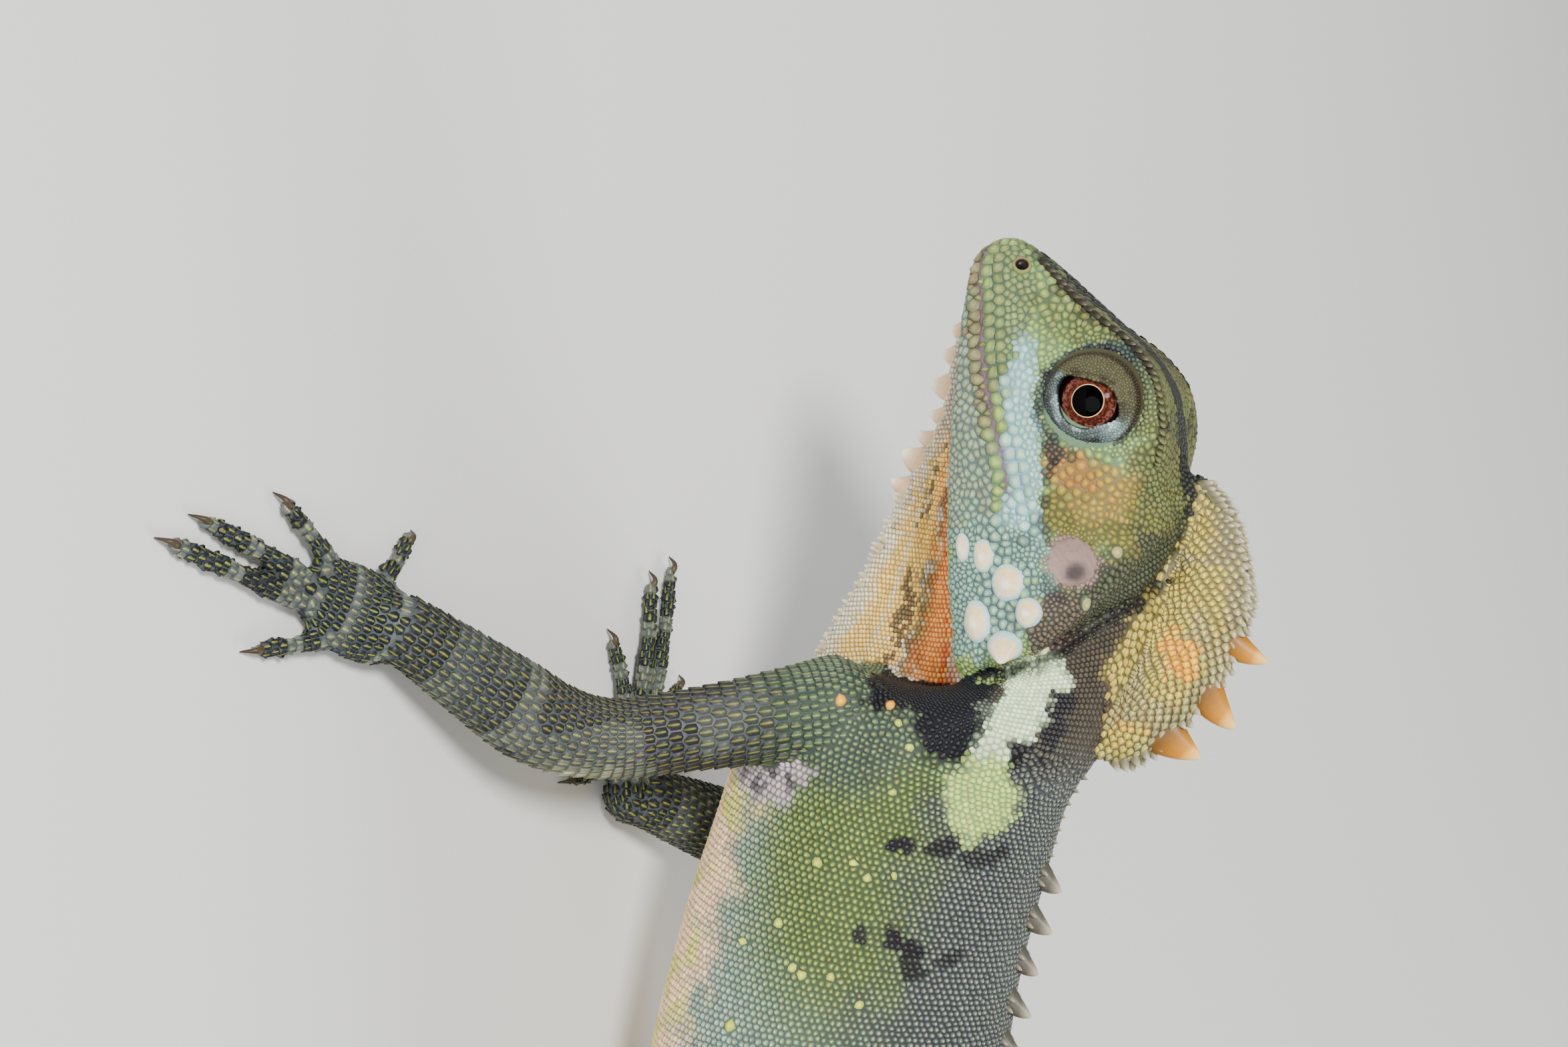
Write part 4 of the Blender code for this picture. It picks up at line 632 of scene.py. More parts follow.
def mesh_object(name, points, faces, colours=None, material=None):
    """Make an object from points in the animal's frame and an array of triangles or list of faces."""
    mesh = bpy.data.meshes.new(name)
    places = (np.asarray(points, float) + SHIFT) * MM
    if isinstance(faces, np.ndarray):
        mesh.vertices.add(len(places))
        mesh.vertices.foreach_set("co", places.astype(np.float32).ravel())
        mesh.loops.add(faces.size)
        mesh.loops.foreach_set("vertex_index", faces.astype(np.int32).ravel())
        mesh.polygons.add(len(faces))
        mesh.polygons.foreach_set("loop_start", np.arange(0, faces.size, faces.shape[1], dtype=np.int32))
        mesh.update(calc_edges=True)
    else:
        mesh.from_pydata([tuple(p) for p in places], [], faces)
        mesh.update()
    if colours is not None:
        store_colours(mesh, colours)
    if material is not None:
        mesh.materials.append(material)
    mesh.shade_smooth()
    item = bpy.data.objects.new(name, mesh)
    bpy.context.scene.collection.objects.link(item)
    return item


def store_colours(mesh, colours, name="marking", alpha=1.0):
    """Store a colour at each point of a mesh."""
    layer = mesh.attributes.new(name, "FLOAT_COLOR", "POINT")
    rgba = np.ones((len(colours), 4), np.float32)
    rgba[:, :3] = colours
    rgba[:, 3] = alpha
    layer.data.foreach_set("color", rgba.ravel())


def grid_faces(rings, around):
    """Quads of a grid whose rows run around, as vertex numbers."""
    row = np.arange(rings - 1)[:, None] * around
    spot = np.arange(around)[None, :]
    after = (spot + 1) % around
    quads = np.stack([row + spot, row + after, row + around + after, row + around + spot], axis=-1)
    return quads.reshape(-1, 4)


def cone_faces(rings, sides):
    """Triangles of a stack of rings that ends in one point."""
    faces = []
    for a, b, c, d in grid_faces(rings, sides):
        faces += [(a, b, c), (a, c, d)]
    last = (rings - 1) * sides
    faces += [(last + spot, last + (spot + 1) % sides, rings * sides) for spot in range(sides)]
    return np.array(faces)


def face_ways(points, faces):
    """Vectors square to faces, twice as long as a triangle's area."""
    a, b, c = (points[faces[:, k]] for k in range(3))
    return np.cross(b - a, c - a)


def closed_grid(grid):
    """Points and faces of a grid closed by a fan at each end."""
    rings, around = grid.shape[:2]
    points = np.vstack([grid.reshape(-1, 3), grid[0].mean(axis=0), grid[-1].mean(axis=0)])
    faces = [tuple(face) for face in grid_faces(rings, around)]
    for start, centre in ((0, rings * around), ((rings - 1) * around, rings * around + 1)):
        for spot in range(around):
            faces.append((start + (spot + 1) % around, start + spot, centre))
    return points, faces


def turned_out(item):
    """Turn an object's faces outward."""
    work = bmesh.new()
    work.from_mesh(item.data)
    bmesh.ops.recalc_face_normals(work, faces=work.faces)
    work.to_mesh(item.data)
    work.free()
    return item


def coordinates(mesh):
    """A mesh's points in the animal's frame."""
    values = np.empty(len(mesh.vertices) * 3, np.float32)
    mesh.vertices.foreach_get("co", values)
    return values.reshape(-1, 3).astype(float) / MM - SHIFT


def store_coordinates(mesh, points):
    """Move a mesh's points to places in the animal's frame."""
    mesh.vertices.foreach_set("co", ((points + SHIFT) * MM).astype(np.float32).ravel())
    mesh.update()


def normals_of(mesh):
    """The normals at a mesh's points."""
    values = np.empty(len(mesh.vertices) * 3, np.float32)
    mesh.vertex_normals.foreach_get("vector", values)
    return values.reshape(-1, 3).astype(float)


def heel_ball(joints, palm):
    """A ball that joins a limb to its hand or foot."""
    wrist = np.asarray(joints[2], float)
    limb_way = unit(wrist - np.asarray(joints[1], float))
    radius = palm[2] + 0.75
    centre = wrist + limb_way * 1.5
    centre[2] = radius
    polar = np.linspace(0.15, np.pi - 0.15, 16)
    path = centre + np.cos(polar)[:, None] * radius * limb_way
    return tube_rings(path, radius * np.sin(polar), 24)


def joined_skin():
    """All charts as closed bodies in one mesh, ready to be fused."""
    points = []
    faces = []
    count = 0
    grids = list(CHARTS.values())
    grids += [heel_ball(joints, palm) for _, joints, _, _, _, _, _, palm in LIMBS]
    for grid in grids:
        body = turned_out(mesh_object("body", *closed_grid(grid)))
        places = coordinates(body.data)
        points.append(places)
        faces += [tuple(v + count for v in face.vertices) for face in body.data.polygons]
        count += len(places)
        bpy.data.objects.remove(body)
    return mesh_object("skin", np.vstack(points), faces)


def fused(item):
    """Fuse the overlapping bodies by voxels and keep the outer surface."""
    change = item.modifiers.new("fuse", "REMESH")
    change.mode = "VOXEL"
    change.voxel_size = VOXEL * MM
    graph = bpy.context.evaluated_depsgraph_get()
    mesh = bpy.data.meshes.new_from_object(item.evaluated_get(graph))
    item.modifiers.clear()
    item.data = mesh
    keep_outer(item)


def edges_of(mesh):
    """The mesh's edges as pairs of vertex numbers."""
    edges = np.empty(len(mesh.edges) * 2, np.int32)
    mesh.edges.foreach_get("vertices", edges)
    return edges.reshape(-1, 2)


def keep_outer(item):
    """Keep only the largest connected surface."""
    mesh = item.data
    a, b = edges_of(mesh).T
    label = np.arange(len(mesh.vertices))
    while True:
        low = np.minimum(label[a], label[b])
        before = label.copy()
        np.minimum.at(label, a, low)
        np.minimum.at(label, b, low)
        label = label[label]
        if np.array_equal(before, label):
            break
    work = bmesh.new()
    work.from_mesh(mesh)
    work.verts.ensure_lookup_table()
    spare = [work.verts[int(v)] for v in np.nonzero(label != np.bincount(label).argmax())[0]]
    bmesh.ops.delete(work, geom=spare, context="VERTS")
    work.to_mesh(mesh)
    work.free()


def relax(mesh, points, weight, rounds):
    """Smooth points along the mesh's edges, by the given weight at each."""
    a, b = edges_of(mesh).T
    count = np.bincount(a, minlength=len(points)) + np.bincount(b, minlength=len(points))
    for _ in range(rounds):
        total = np.empty_like(points)
        for axis in range(3):
            total[:, axis] = (np.bincount(a, points[b, axis], minlength=len(points))
                              + np.bincount(b, points[a, axis], minlength=len(points)))
        points = points + weight[:, None] * (total / count[:, None] - points)
    return points


def tree_of(points):
    """A search tree over points."""
    tree = KDTree(len(points))
    for number, point in enumerate(points):
        tree.insert(point, number)
    tree.balance()
    return tree


def nearest_in(tree, points):
    """Number of the tree's point nearest to each of the given points."""
    return np.array([tree.find(p)[1] for p in points])


def chart_lookup():
    """A tree over every chart point, with the chart, the shares along and round it, and the lie there."""
    points, chart, along, around, lie = [], [], [], [], []
    for number, grid in enumerate(CHARTS.values()):
        rings, sides = grid.shape[:2]
        u, v = np.meshgrid(np.linspace(0, 1, rings), np.arange(sides) / sides, indexing="ij")
        points.append(grid.reshape(-1, 3))
        chart.append(np.full(rings * sides, number))
        along.append(u.ravel())
        around.append(v.ravel())
        lie.append(unit(np.gradient(grid, axis=0)).reshape(-1, 3))
    tables = [np.concatenate(part) for part in (chart, along, around, lie)]
    return tree_of(np.vstack(points)), tables


def shape_skin(mesh):
    """Smooth the fused skin, blend the limbs into the body, dish the ears and keep it off the floor."""
    points = coordinates(mesh)
    points = relax(mesh, points, np.full(len(points), 0.5), SMOOTH_ROUNDS)
    trunk = tree_of(np.vstack([CHARTS[name].reshape(-1, 3) for name in ("torso", "neck", "tail")]))
    limbs = tree_of(np.vstack([CHARTS[limb[0]].reshape(-1, 3) for limb in LIMBS]))
    apart = np.array([max(trunk.find(p)[2], limbs.find(p)[2]) for p in points])
    points = relax(mesh, points, 0.5 * (1 - ramp(BLEND_START, BLEND_END, apart)), BLEND_ROUNDS)
    store_coordinates(mesh, points)
    x, w, h = body_of(points)
    cup = EAR_DEPTH * np.clip(1 - (ear_distance(x, h) / EAR_RADIUS)**2, 0, 1)**0.7 * (x < 12)
    inset = SKIN_INSET + np.where(np.abs(w) > EAR_SIDE_W, cup, 0.0) + crease(x, w, h)
    points = points - normals_of(mesh) * inset[:, None]
    points[:, 2] = np.maximum(points[:, 2], FLOOR_CLEARANCE + 0.1)
    store_coordinates(mesh, points)


def crease(x, w, h):
    """Depth of the folds round the eye and behind the jaw and temple."""
    reach, angle = eye_polar(x, h)
    turn = ramp(-75, -45, angle) * (1 - ramp(135, 160, angle))
    depth = ORBIT_GROOVE * np.exp(-((reach - ORBIT_GROOVE_REACH) / ORBIT_GROOVE_HALF)**2)
    depth = depth * turn * (np.abs(w) > EYE_SIDE_W)
    return depth + FOLD_DEPTH * fold_mask(x, w, h)


def make_skin(material):
    """The one skin over the whole body, with its colours."""
    skin = joined_skin()
    fused(skin)
    shape_skin(skin.data)
    skin.data.materials.clear()
    skin.data.materials.append(material)
    skin.data.shade_smooth()
    colour_skin(skin)
    return skin


# Colours: for each kind of scale the gap round it, its body and its tip, as sRGB from 0 to 255
SRGB_TONES = {
    "green": ((60, 74, 56), (106, 122, 72), (166, 180, 74)),
    "teal": ((80, 98, 98), (134, 152, 140), (182, 196, 158)),
    "grey": ((50, 54, 55), (90, 95, 92), (158, 162, 142)),
    "black": ((17, 17, 21), (28, 28, 34), (46, 47, 55)),
    "blotch": ((24, 24, 27), (44, 42, 46), (70, 66, 66)),
    # Painted shade in the fold at the head's rear
    "fold": ((20, 17, 18), (36, 31, 30), (58, 52, 46)),
    "brown": ((46, 41, 34), (80, 73, 61), (97, 88, 71)),
    "cream": ((164, 190, 156), (224, 240, 202), (244, 250, 212)),
    "spot": ((134, 158, 108), (182, 204, 126), (226, 226, 98)),
    "peach": ((176, 146, 120), (234, 202, 164), (250, 236, 192)),
    "arm": ((88, 92, 98), (56, 54, 50), (122, 122, 60)),
    "shoulder": ((58, 68, 66), (90, 104, 84), (140, 150, 92)),
    "armpit": ((120, 114, 120), (176, 164, 164), (204, 194, 186)),
    "hand": ((82, 90, 92), (42, 44, 46), (128, 134, 60)),
    "band": ((104, 112, 110), (134, 138, 128), (168, 172, 122)),
    "elbow": ((128, 130, 108), (182, 186, 150), (204, 208, 160)),
    "tail": ((42, 41, 35), (86, 80, 62), (130, 124, 82)),
    "tail_dark": ((28, 28, 24), (54, 51, 43), (84, 80, 62)),
    "snout": ((72, 93, 88), (128, 142, 91), (146, 158, 102)),
    "loreal": ((96, 126, 104), (140, 162, 98), (172, 188, 104)),
    "lower_lip": ((66, 56, 44), (128, 124, 88), (146, 142, 104)),
    "jaw": ((84, 104, 104), (132, 145, 122), (160, 168, 136)),
    "turquoise": ((134, 174, 180), (166, 204, 206), (192, 220, 198)),
    "orange": ((116, 108, 84), (164, 136, 62), (176, 152, 70)),
    "orange_deep": ((140, 112, 90), (170, 128, 58), (184, 146, 64)),
    "gold": ((84, 82, 48), (124, 120, 62), (140, 138, 60)),
    "temple": ((42, 45, 37), (76, 80, 62), (104, 108, 74)),
    "olive": ((66, 70, 46), (108, 112, 70), (140, 140, 78)),
    "jowl": ((84, 100, 104), (128, 160, 146), (168, 192, 160)),
    "jowl_rear": ((54, 46, 46), (92, 80, 74), (126, 110, 80)),
    "ridge": ((48, 46, 34), (86, 82, 56), (124, 120, 88)),
    "crown": ((30, 32, 28), (52, 54, 48), (76, 76, 66)),
    "orbit": ((34, 44, 54), (66, 84, 88), (104, 120, 106)),
    # A dark tone: real dark blotches on the head and lids, and painted shade in the mouth's slit, the ear's
    # hollow and along the lids' inner edge
    "dark_marks_and_shade": ((28, 27, 32), (46, 44, 50), (70, 68, 70)),
    "upper_lid": ((62, 60, 42), (90, 88, 62), (104, 102, 72)),
    "lower_lid": ((44, 50, 52), (70, 78, 76), (94, 100, 94)),
    "lid_pale": ((120, 146, 148), (164, 188, 184), (196, 212, 206)),
    # Dark brown of the lids: painted shade in the crease round them, and the upper lid's streaks
    "lid_fold": ((34, 24, 20), (52, 38, 30), (70, 54, 42)),
    "ear": ((112, 96, 92), (150, 126, 118), (162, 138, 128)),
    "crest": ((90, 86, 60), (190, 172, 90), (228, 210, 106)),
    "crest_edge": ((84, 84, 72), (160, 150, 112), (208, 196, 142)),
    "crest_gold": ((150, 112, 56), (246, 176, 42), (255, 206, 60)),
    "yellow": ((120, 134, 70), (190, 200, 88), (222, 224, 90)),
    "wattle": ((170, 92, 44), (246, 164, 84), (250, 196, 124)),
    "wattle_rust": ((136, 60, 28), (226, 112, 44), (236, 146, 72)),
    "wattle_gold": ((150, 126, 66), (236, 196, 108), (244, 216, 144)),
    "wattle_dark": ((62, 50, 44), (104, 88, 72), (126, 112, 86)),
    "wattle_pale": ((146, 136, 116), (212, 204, 180), (234, 228, 208)),
    "wattle_lilac": ((120, 104, 98), (176, 158, 146), (206, 192, 176)),
}

DEPTH = 1.14


def linear(tones):
    """Linear colours, made deeper to stand up to the studio's bright light."""
    values = np.asarray(tones, float) / 255.0
    values = np.where(values <= 0.04045, values / 12.92, ((values + 0.055) / 1.055)**2.4)
    return np.clip(values, 0.0005, 1)**DEPTH


TONES = {name: linear(tones) for name, tones in SRGB_TONES.items()}

# Marks on the head, neck and trunk: tone, X, h, reach along X and h, turn in degrees, strength
HEAD_MARKS = (
    ("snout", -22.0, 45.2, 9.0, 2.4, 0, 1.0), ("turquoise", -6.0, 48.0, 9.5, 2.1, 4, 0.75),
    ("turquoise", 1.0, 48.0, 4.0, 2.6, 30, 0.7), ("turquoise", -14.0, 47.4, 4.0, 1.6, 0, 0.5),
    ("temple", 4.0, 59.0, 10.5, 5.0, -12, 1.0), ("olive", -4.0, 59.6, 5.0, 3.2, -10, 0.9),
    ("gold", -1.0, 55.4, 5.0, 4.2, 20, 1.0), ("orange", -3.6, 54.6, 4.0, 3.4, 80, 0.85),
    ("orange_deep", -5.4, 52.9, 2.6, 1.7, 60, 0.9), ("gold", -1.4, 51.6, 2.4, 1.4, 20, 0.9),
    ("dark_marks_and_shade", -7.3, 51.2, 1.7, 1.0, 30, 0.85),
    ("dark_marks_and_shade", -5.0, 51.0, 1.6, 0.7, -30, 0.75), ("dark_marks_and_shade", -2.0, 50.4, 1.4, 0.5, 10, 0.7),
    ("dark_marks_and_shade", 0.9, 50.6, 1.6, 0.7, 20, 0.8), ("dark_marks_and_shade", -8.4, 57.5, 0.9, 0.6, 0, 0.8),
    ("dark_marks_and_shade", -6.6, 53.0, 1.0, 0.6, 0, 0.6),
    ("jowl", 3.6, 46.2, 6.5, 4.6, 60, 1.0), ("jowl", 8.6, 44.0, 5.6, 5.0, 60, 1.0),
    ("jowl_rear", 9.4, 52.0, 4.6, 3.0, -50, 0.95), ("temple", 7.6, 57.4, 3.6, 4.2, -40, 0.9),
    ("dark_marks_and_shade", 6.4, 51.4, 1.6, 1.0, 30, 0.5),
    ("ridge", -23.2, 50.4, 2.6, 0.9, 45, 0.8), ("ridge", -20.6, 53.6, 3.0, 1.0, 48, 0.8),
    ("ridge", -18.0, 57.2, 3.2, 1.0, 48, 0.8), ("ridge", -14.6, 60.0, 3.0, 1.0, 20, 0.9),
    ("olive", -18.4, 54.2, 3.0, 2.4, 40, 0.7), ("olive", -11.6, 60.0, 4.6, 1.6, 8, 0.9),
    ("olive", -20.0, 50.6, 4.0, 2.0, 40, 0.55),
)
BODY_MARKS = (
    ("black", 15.2, 35.6, 3.2, 4.4, 25, 1.0), ("black", 15.0, 41.0, 3.4, 5.4, 0, 1.0),
    ("black", 18.6, 41.2, 4.6, 3.6, -12, 1.0), ("black", 21.0, 41.6, 2.6, 1.8, 20, 1.0),
    ("blotch", 18.6, 50.6, 4.6, 1.1, -18, 0.95), ("blotch", 22.6, 46.8, 2.2, 1.0, -40, 0.95),
    ("cream", 14.6, 49.0, 2.6, 3.2, 20, 1.0), ("cream", 18.2, 47.4, 3.4, 2.2, -28, 1.0),
    ("cream", 21.8, 45.0, 2.2, 1.4, -30, 0.9), ("spot", 26.6, 43.6, 4.6, 2.9, -14, 1.0),
    ("blotch", 30.6, 36.7, 1.0, 1.3, 20, 1.0), ("blotch", 31.2, 40.4, 0.9, 1.6, 10, 0.9),
    ("blotch", 32.2, 43.8, 1.0, 2.4, 14, 0.8), ("blotch", 40.6, 37.0, 2.6, 1.0, 60, 1.0),
    ("blotch", 42.8, 37.6, 1.2, 1.0, 0, 0.9), ("blotch", 39.4, 33.4, 0.8, 0.6, 0, 0.9),
    ("blotch", 42.1, 40.9, 0.9, 0.8, 0, 0.8), ("cream", 13.4, 35.0, 1.2, 0.9, 60, 0.8),
    ("cream", 12.6, 39.6, 1.4, 0.8, 60, 0.8), ("armpit", 24.0, 21.5, 3.4, 6.4, -14, 1.0),
    ("blotch", 25.4, 25.6, 0.7, 0.5, 0, 0.8), ("blotch", 24.6, 23.4, 0.9, 0.5, 30, 0.8),
    ("blotch", 26.0, 21.6, 0.6, 0.6, 0, 0.7), ("blotch", 25.2, 19.2, 0.8, 0.4, 0, 0.6),
)
# Large single scales on the trunk, in yellow or orange: X, h, size
SINGLE_SCALES = (
    (32.5, 32.5, 1.3), (34.0, 33.8, 1.2), (32.7, 29.0, 1.4), (38.6, 25.3, 1.4), (33.7, 36.2, 1.0),
    (25.7, 36.1, 1.0), (43.3, 28.1, 1.5), (43.4, 30.9, 1.0), (42.7, 27.1, 1.1), (19.2, 36.4, 1.2),
    (21.3, 37.7, 1.1), (40.8, 21.4, 1.4), (48.8, 21.0, 1.8), (17.2, 30.8, 1.6), (17.6, 35.2, 1.5),
    (46.0, 33.5, 1.1), (50.5, 30.0, 1.3), (55.0, 35.5, 1.2), (60.0, 24.0, 1.5), (66.0, 31.0, 1.3),
    (73.0, 26.0, 1.4), (82.0, 21.0, 1.3),
)


def fill(count, tone):
    """The three colours of a tone for each of a number of points."""
    return np.repeat(TONES[tone][None], count, axis=0)


def lay(colours, tone, mask):
    """Lay a tone over colours by a mask from 0 to 1."""
    mask = np.clip(mask, 0, 1)[:, None, None]
    return colours + (TONES[tone][None] - colours) * mask


def mixed(colours, tone, share):
    """Mix a tone from 0 to 255 into single colours by a share at each point."""
    return colours + (linear(tone) - colours) * share[:, None]


def spot_mask(x, h, mark, ragged=0.0):
    """How far points lie in one mark's turned ellipse, with a soft or ragged edge."""
    _, mark_x, mark_h, reach_x, reach_h, turn, strength = mark
    turn = math.radians(turn)
    across, up = x - mark_x, h - mark_h
    a = (across * math.cos(turn) + up * math.sin(turn)) / reach_x
    b = (up * math.cos(turn) - across * math.sin(turn)) / reach_h
    return strength * (1 - ramp(0.76, 1.10, np.hypot(a, b) + ragged))


def mouth_line(x):
    """Height of the mouth at X on the side of the head."""
    stations = np.linspace(SNOUT_X, 1.0, 60)
    h = mouth_height(stations)
    return np.interp(x, stations + jaw_sweep(stations, h), h)


def eye_polar(x, h):
    """Distance from the eye's middle, and the angle from the snout up over the crown."""
    ahead, up = EYE_PLACE[0] - x, h - EYE_PLACE[1]
    return np.hypot(ahead, up), np.degrees(np.arctan2(up, ahead))


def head_colours(x, w, h):
    """Head and jaw, by place, with painted shade along the mouth's slit and in the ear's hollow."""
    colours = fill(len(x), "loreal")
    lower = mouth_line(x) - h
    colours = lay(colours, "jaw", ramp(0.9, 1.5, lower) * (x < 3))
    lip = ramp(-0.05, 0.05, lower) * (1 - ramp(1.35, 1.5, lower)) * (1 - ramp(-13.0, -4.0, x))
    colours = lay(colours, "lower_lip", lip)
    crown = ramp(-2.4, -0.8, h - np.interp(x, *CROWN_LINE)) * (np.abs(w) < 8.6)
    colours = lay(colours, "crown", crown)
    ragged = (noise_flat(x, h, 1.3) - 0.5) * 0.7
    for mark in HEAD_MARKS:
        colours = lay(colours, mark[0], spot_mask(x, h, mark, ragged) * (np.abs(w) > MARKS_SIDE_W))
    colours = orbit_colours(colours, x, w, h)
    # Painted shade: a thin dark band along the mouth's slit
    mouth = 1 - ramp(0.10, 0.24, np.abs(lower))
    colours = lay(colours, "dark_marks_and_shade", mouth * (x < -2) * 0.5)
    beside = np.abs(w) > EAR_SIDE_W
    colours = lay(colours, "ear", (1 - ramp(2.2, 2.7, ear_distance(x, h))) * beside)
    # Painted shade: a dark spot in the ear's hollow, off its middle towards the rear
    dark = 1 - ramp(0.5, 1.3, ear_distance(x - 1.0, h - 0.3))
    return lay(colours, "dark_marks_and_shade", dark * 0.85 * beside)


def orbit_colours(colours, x, w, h):
    """Lay the dark ring round the eye and its blotches over the head's colours."""
    reach, angle = eye_polar(x, h)
    beside = np.abs(w) > EYE_SIDE_W
    inner = ramp(4.2, 4.7, reach) * beside
    front = np.clip(0.5 + 0.65 * np.cos(np.radians(angle + 20)), 0.2, 1)
    colours = lay(colours, "orbit", inner * (1 - ramp(5.2, 6.3, reach)) * front)
    dark = np.clip(0.45 + 0.6 * np.cos(np.radians(angle + 40)), 0, 1)
    dark = dark * ramp(0.36, 0.6, noise_flat(x, h, 1.1))
    return lay(colours, "dark_marks_and_shade", inner * (1 - ramp(5.1, 6.0, reach)) * dark)


def lid_colours(x, h):
    """The lids: dark above, grey below with a pale rim, with painted shade in the fold round them and along
    their inner edge.
    """
    reach, angle = eye_polar(x, h)
    beyond = reach - lid_opening(angle)
    blotches = noise_flat(x, h, 0.9)
    colours = fill(len(x), "upper_lid")
    lower = 1 - ramp(-52, -38, angle) + ramp(116, 134, angle)
    colours = lay(colours, "lower_lid", lower)
    rear = np.exp(-((angle - 138) / 20)**2)
    rim = lower * (1 - ramp(0.5, 1.0, beyond))
    colours = lay(colours, "lid_pale", rear * 0.5 + rim * (0.15 + 0.45 * (blotches > 0.52)))
    blotched = lower * ramp(0.42, 0.58, blotches) * ramp(0.8, 1.2, beyond)
    colours = lay(colours, "dark_marks_and_shade", blotched * (1 - rear) * 0.85)
    streaks = ramp(0.50, 0.62, noise_flat(angle * 0.09, reach * 0.5, 0.8))
    colours = lay(colours, "lid_fold", streaks * (1 - ramp(0.5, 1.4, beyond)) * (1 - lower) * 0.6)
    # Painted shade: a dark ring in the crease round the lids
    fold = np.exp(-((reach - 4.55) / 0.22)**2)
    colours = lay(colours, "lid_fold", fold * 0.95)
    # Painted shade: a dark band along the lids' inner edge, where they meet the eye
    return lay(colours, "dark_marks_and_shade", 0.9 * (1 - ramp(0.10, 0.22, beyond)))


# The fold down the rear of the temple and the jaw, where the skin sinks and is painted dark as shade: h, X
FOLD_LINE = ((43.5, 46.0, 47.8, 49.6, 51.4, 54.0, 56.7, 58.3, 59.9, 61.7, 62.5, 64.0),
             (14.8, 14.5, 13.8, 13.3, 12.1, 10.1, 8.3, 7.5, 6.1, 3.2, 0.6, -4.9))
FOLD_DEPTH = 1.0
FOLD_REACH = 0.6
# Lower edge of the nape's larger scales, as X and h
NAPE_EDGE = ((-5.0, 0.6, 3.2, 6.1, 7.5, 15.4, 22.7, 25.0), (63.8, 62.3, 61.5, 59.8, 58.4, 55.3, 54.0, 53.6))


def behind_fold(x, h):
    """Distance behind the fold at the head's rear."""
    slope = np.interp(h + 0.5, *FOLD_LINE) - np.interp(h - 0.5, *FOLD_LINE)
    return (x - np.interp(h, *FOLD_LINE)) / np.hypot(1, slope)


def fold_mask(x, w, h):
    """1 in the bottom of the fold at the head's rear, 0 away from it."""
    ends = ramp(42.0, 44.5, h) * (1 - ramp(61.0, 63.5, h)) * (np.abs(w) > MARKS_SIDE_W)
    return np.exp(-(behind_fold(x, h) / FOLD_REACH)**2) * ends


def body_colours(x, h, up):
    """Neck and trunk, by place and by the share of height from belly to back."""
    colours = fill(len(x), "green")
    colours = lay(colours, "teal", ramp(7.0, 19.0, np.hypot((x - 33.5) * 0.72, h - 34.0)))
    colours = lay(colours, "green", ramp(58, 74, x) * (up > 0.2) * 0.7)
    colours = lay(colours, "grey", ramp(0.60, 0.86, up + (noise_flat(x, h, 3.0) - 0.5) * 0.16))
    colours = lay(colours, "teal", (1 - ramp(0.16, 0.30, up)) * 0.8)
    belly = (1 - ramp(0.10, 0.26, up + (noise_flat(x, h, 2.0) - 0.5) * 0.12)) * ramp(18, 27, x)
    colours = lay(colours, "peach", belly)
    colours = lay(colours, "yellow", belly * ramp(0.58, 0.66, noise_flat(x, h, 1.8)) * 0.7)
    neck = (1 - ramp(20.0, 28.0, x + (52 - h) * 0.35)) * ramp(42, 47, h + (20 - x) * 0.1)
    colours = lay(colours, "brown", neck)
    before = 1 - ramp(-0.5, 0.6, behind_fold(x, h))
    colours = lay(colours, "temple", before * (h > 49.0))
    colours = lay(colours, "jowl_rear", before * (h > 46.0) * (1 - ramp(51.5, 54.0, h)))
    nape = h - np.interp(x, *NAPE_EDGE)
    ragged = nape + (noise_flat(x, h, 1.6) - 0.5) * 2.4 * ramp(11.0, 14.0, x)
    colours = lay(colours, "crest", ramp(-0.6, 0.4, ragged) * (x < 24.5))
    colours = lay(colours, "shoulder", 1 - ramp(5.0, 9.0, np.hypot(x - 19.0, (h - 31.0) * 0.8)))
    bars = ramp(0.60, 0.68, noise_flat(x, h, 5.5)) * ramp(48, 60, x) * ramp(0.25, 0.4, up)
    colours = lay(colours, "blotch", bars * 0.7)
    ragged = (noise_flat(x, h, 1.0) - 0.5) * 0.42
    for mark in BODY_MARKS:
        colours = lay(colours, mark[0], spot_mask(x, h, mark, ragged))
    return colours


def noise_flat(x, h, size):
    """Smooth random values over the side of the body, the same at every depth."""
    return noise(np.stack([x, h, np.zeros_like(x)], axis=1), size, 3)


def dewlap_colours(along, down, points):
    """The pleated sheet: rust and orange by the jaw, tan and brown streaks, a pale edge and front."""
    flow = down + (noise(points, 2.4, 6) - 0.5) * 0.22
    places = np.stack([along * 5, flow * 30, np.zeros_like(down)], axis=1)
    streaks = [noise(places, 1.5, seed) for seed in (5, 8, 9)]
    colours = fill(len(along), "wattle")
    colours = lay(colours, "wattle_rust", ramp(0.46, 0.58, streaks[0]) * (1 - ramp(0.40, 0.66, down)))
    colours = lay(colours, "wattle_gold", ramp(0.34, 0.56, down + (streaks[0] - 0.5) * 0.6))
    colours = lay(colours, "wattle_dark", ramp(0.56, 0.66, streaks[1]) * ramp(0.28, 0.46, down) * 0.9)
    colours = lay(colours, "wattle_pale", ramp(0.60, 0.70, streaks[2]) * 0.75)
    colours = lay(colours, "wattle_lilac", 1 - ramp(0.20, 0.40, along + (streaks[1] - 0.5) * 0.1))
    edge = ramp(0.74, 0.90, down + (noise(points, 2.0, 6) - 0.5) * 0.2)
    return lay(colours, "wattle_pale", np.maximum(edge, 0.8 * (1 - ramp(0.07, 0.13, down))))


# Golden patches of the crest, written like the other marks
CREST_MARKS = (("crest_gold", 12.6, 61.4, 3.2, 2.0, 0, 0.95), ("crest_gold", 19.6, 56.8, 2.6, 1.5, -30, 0.95))


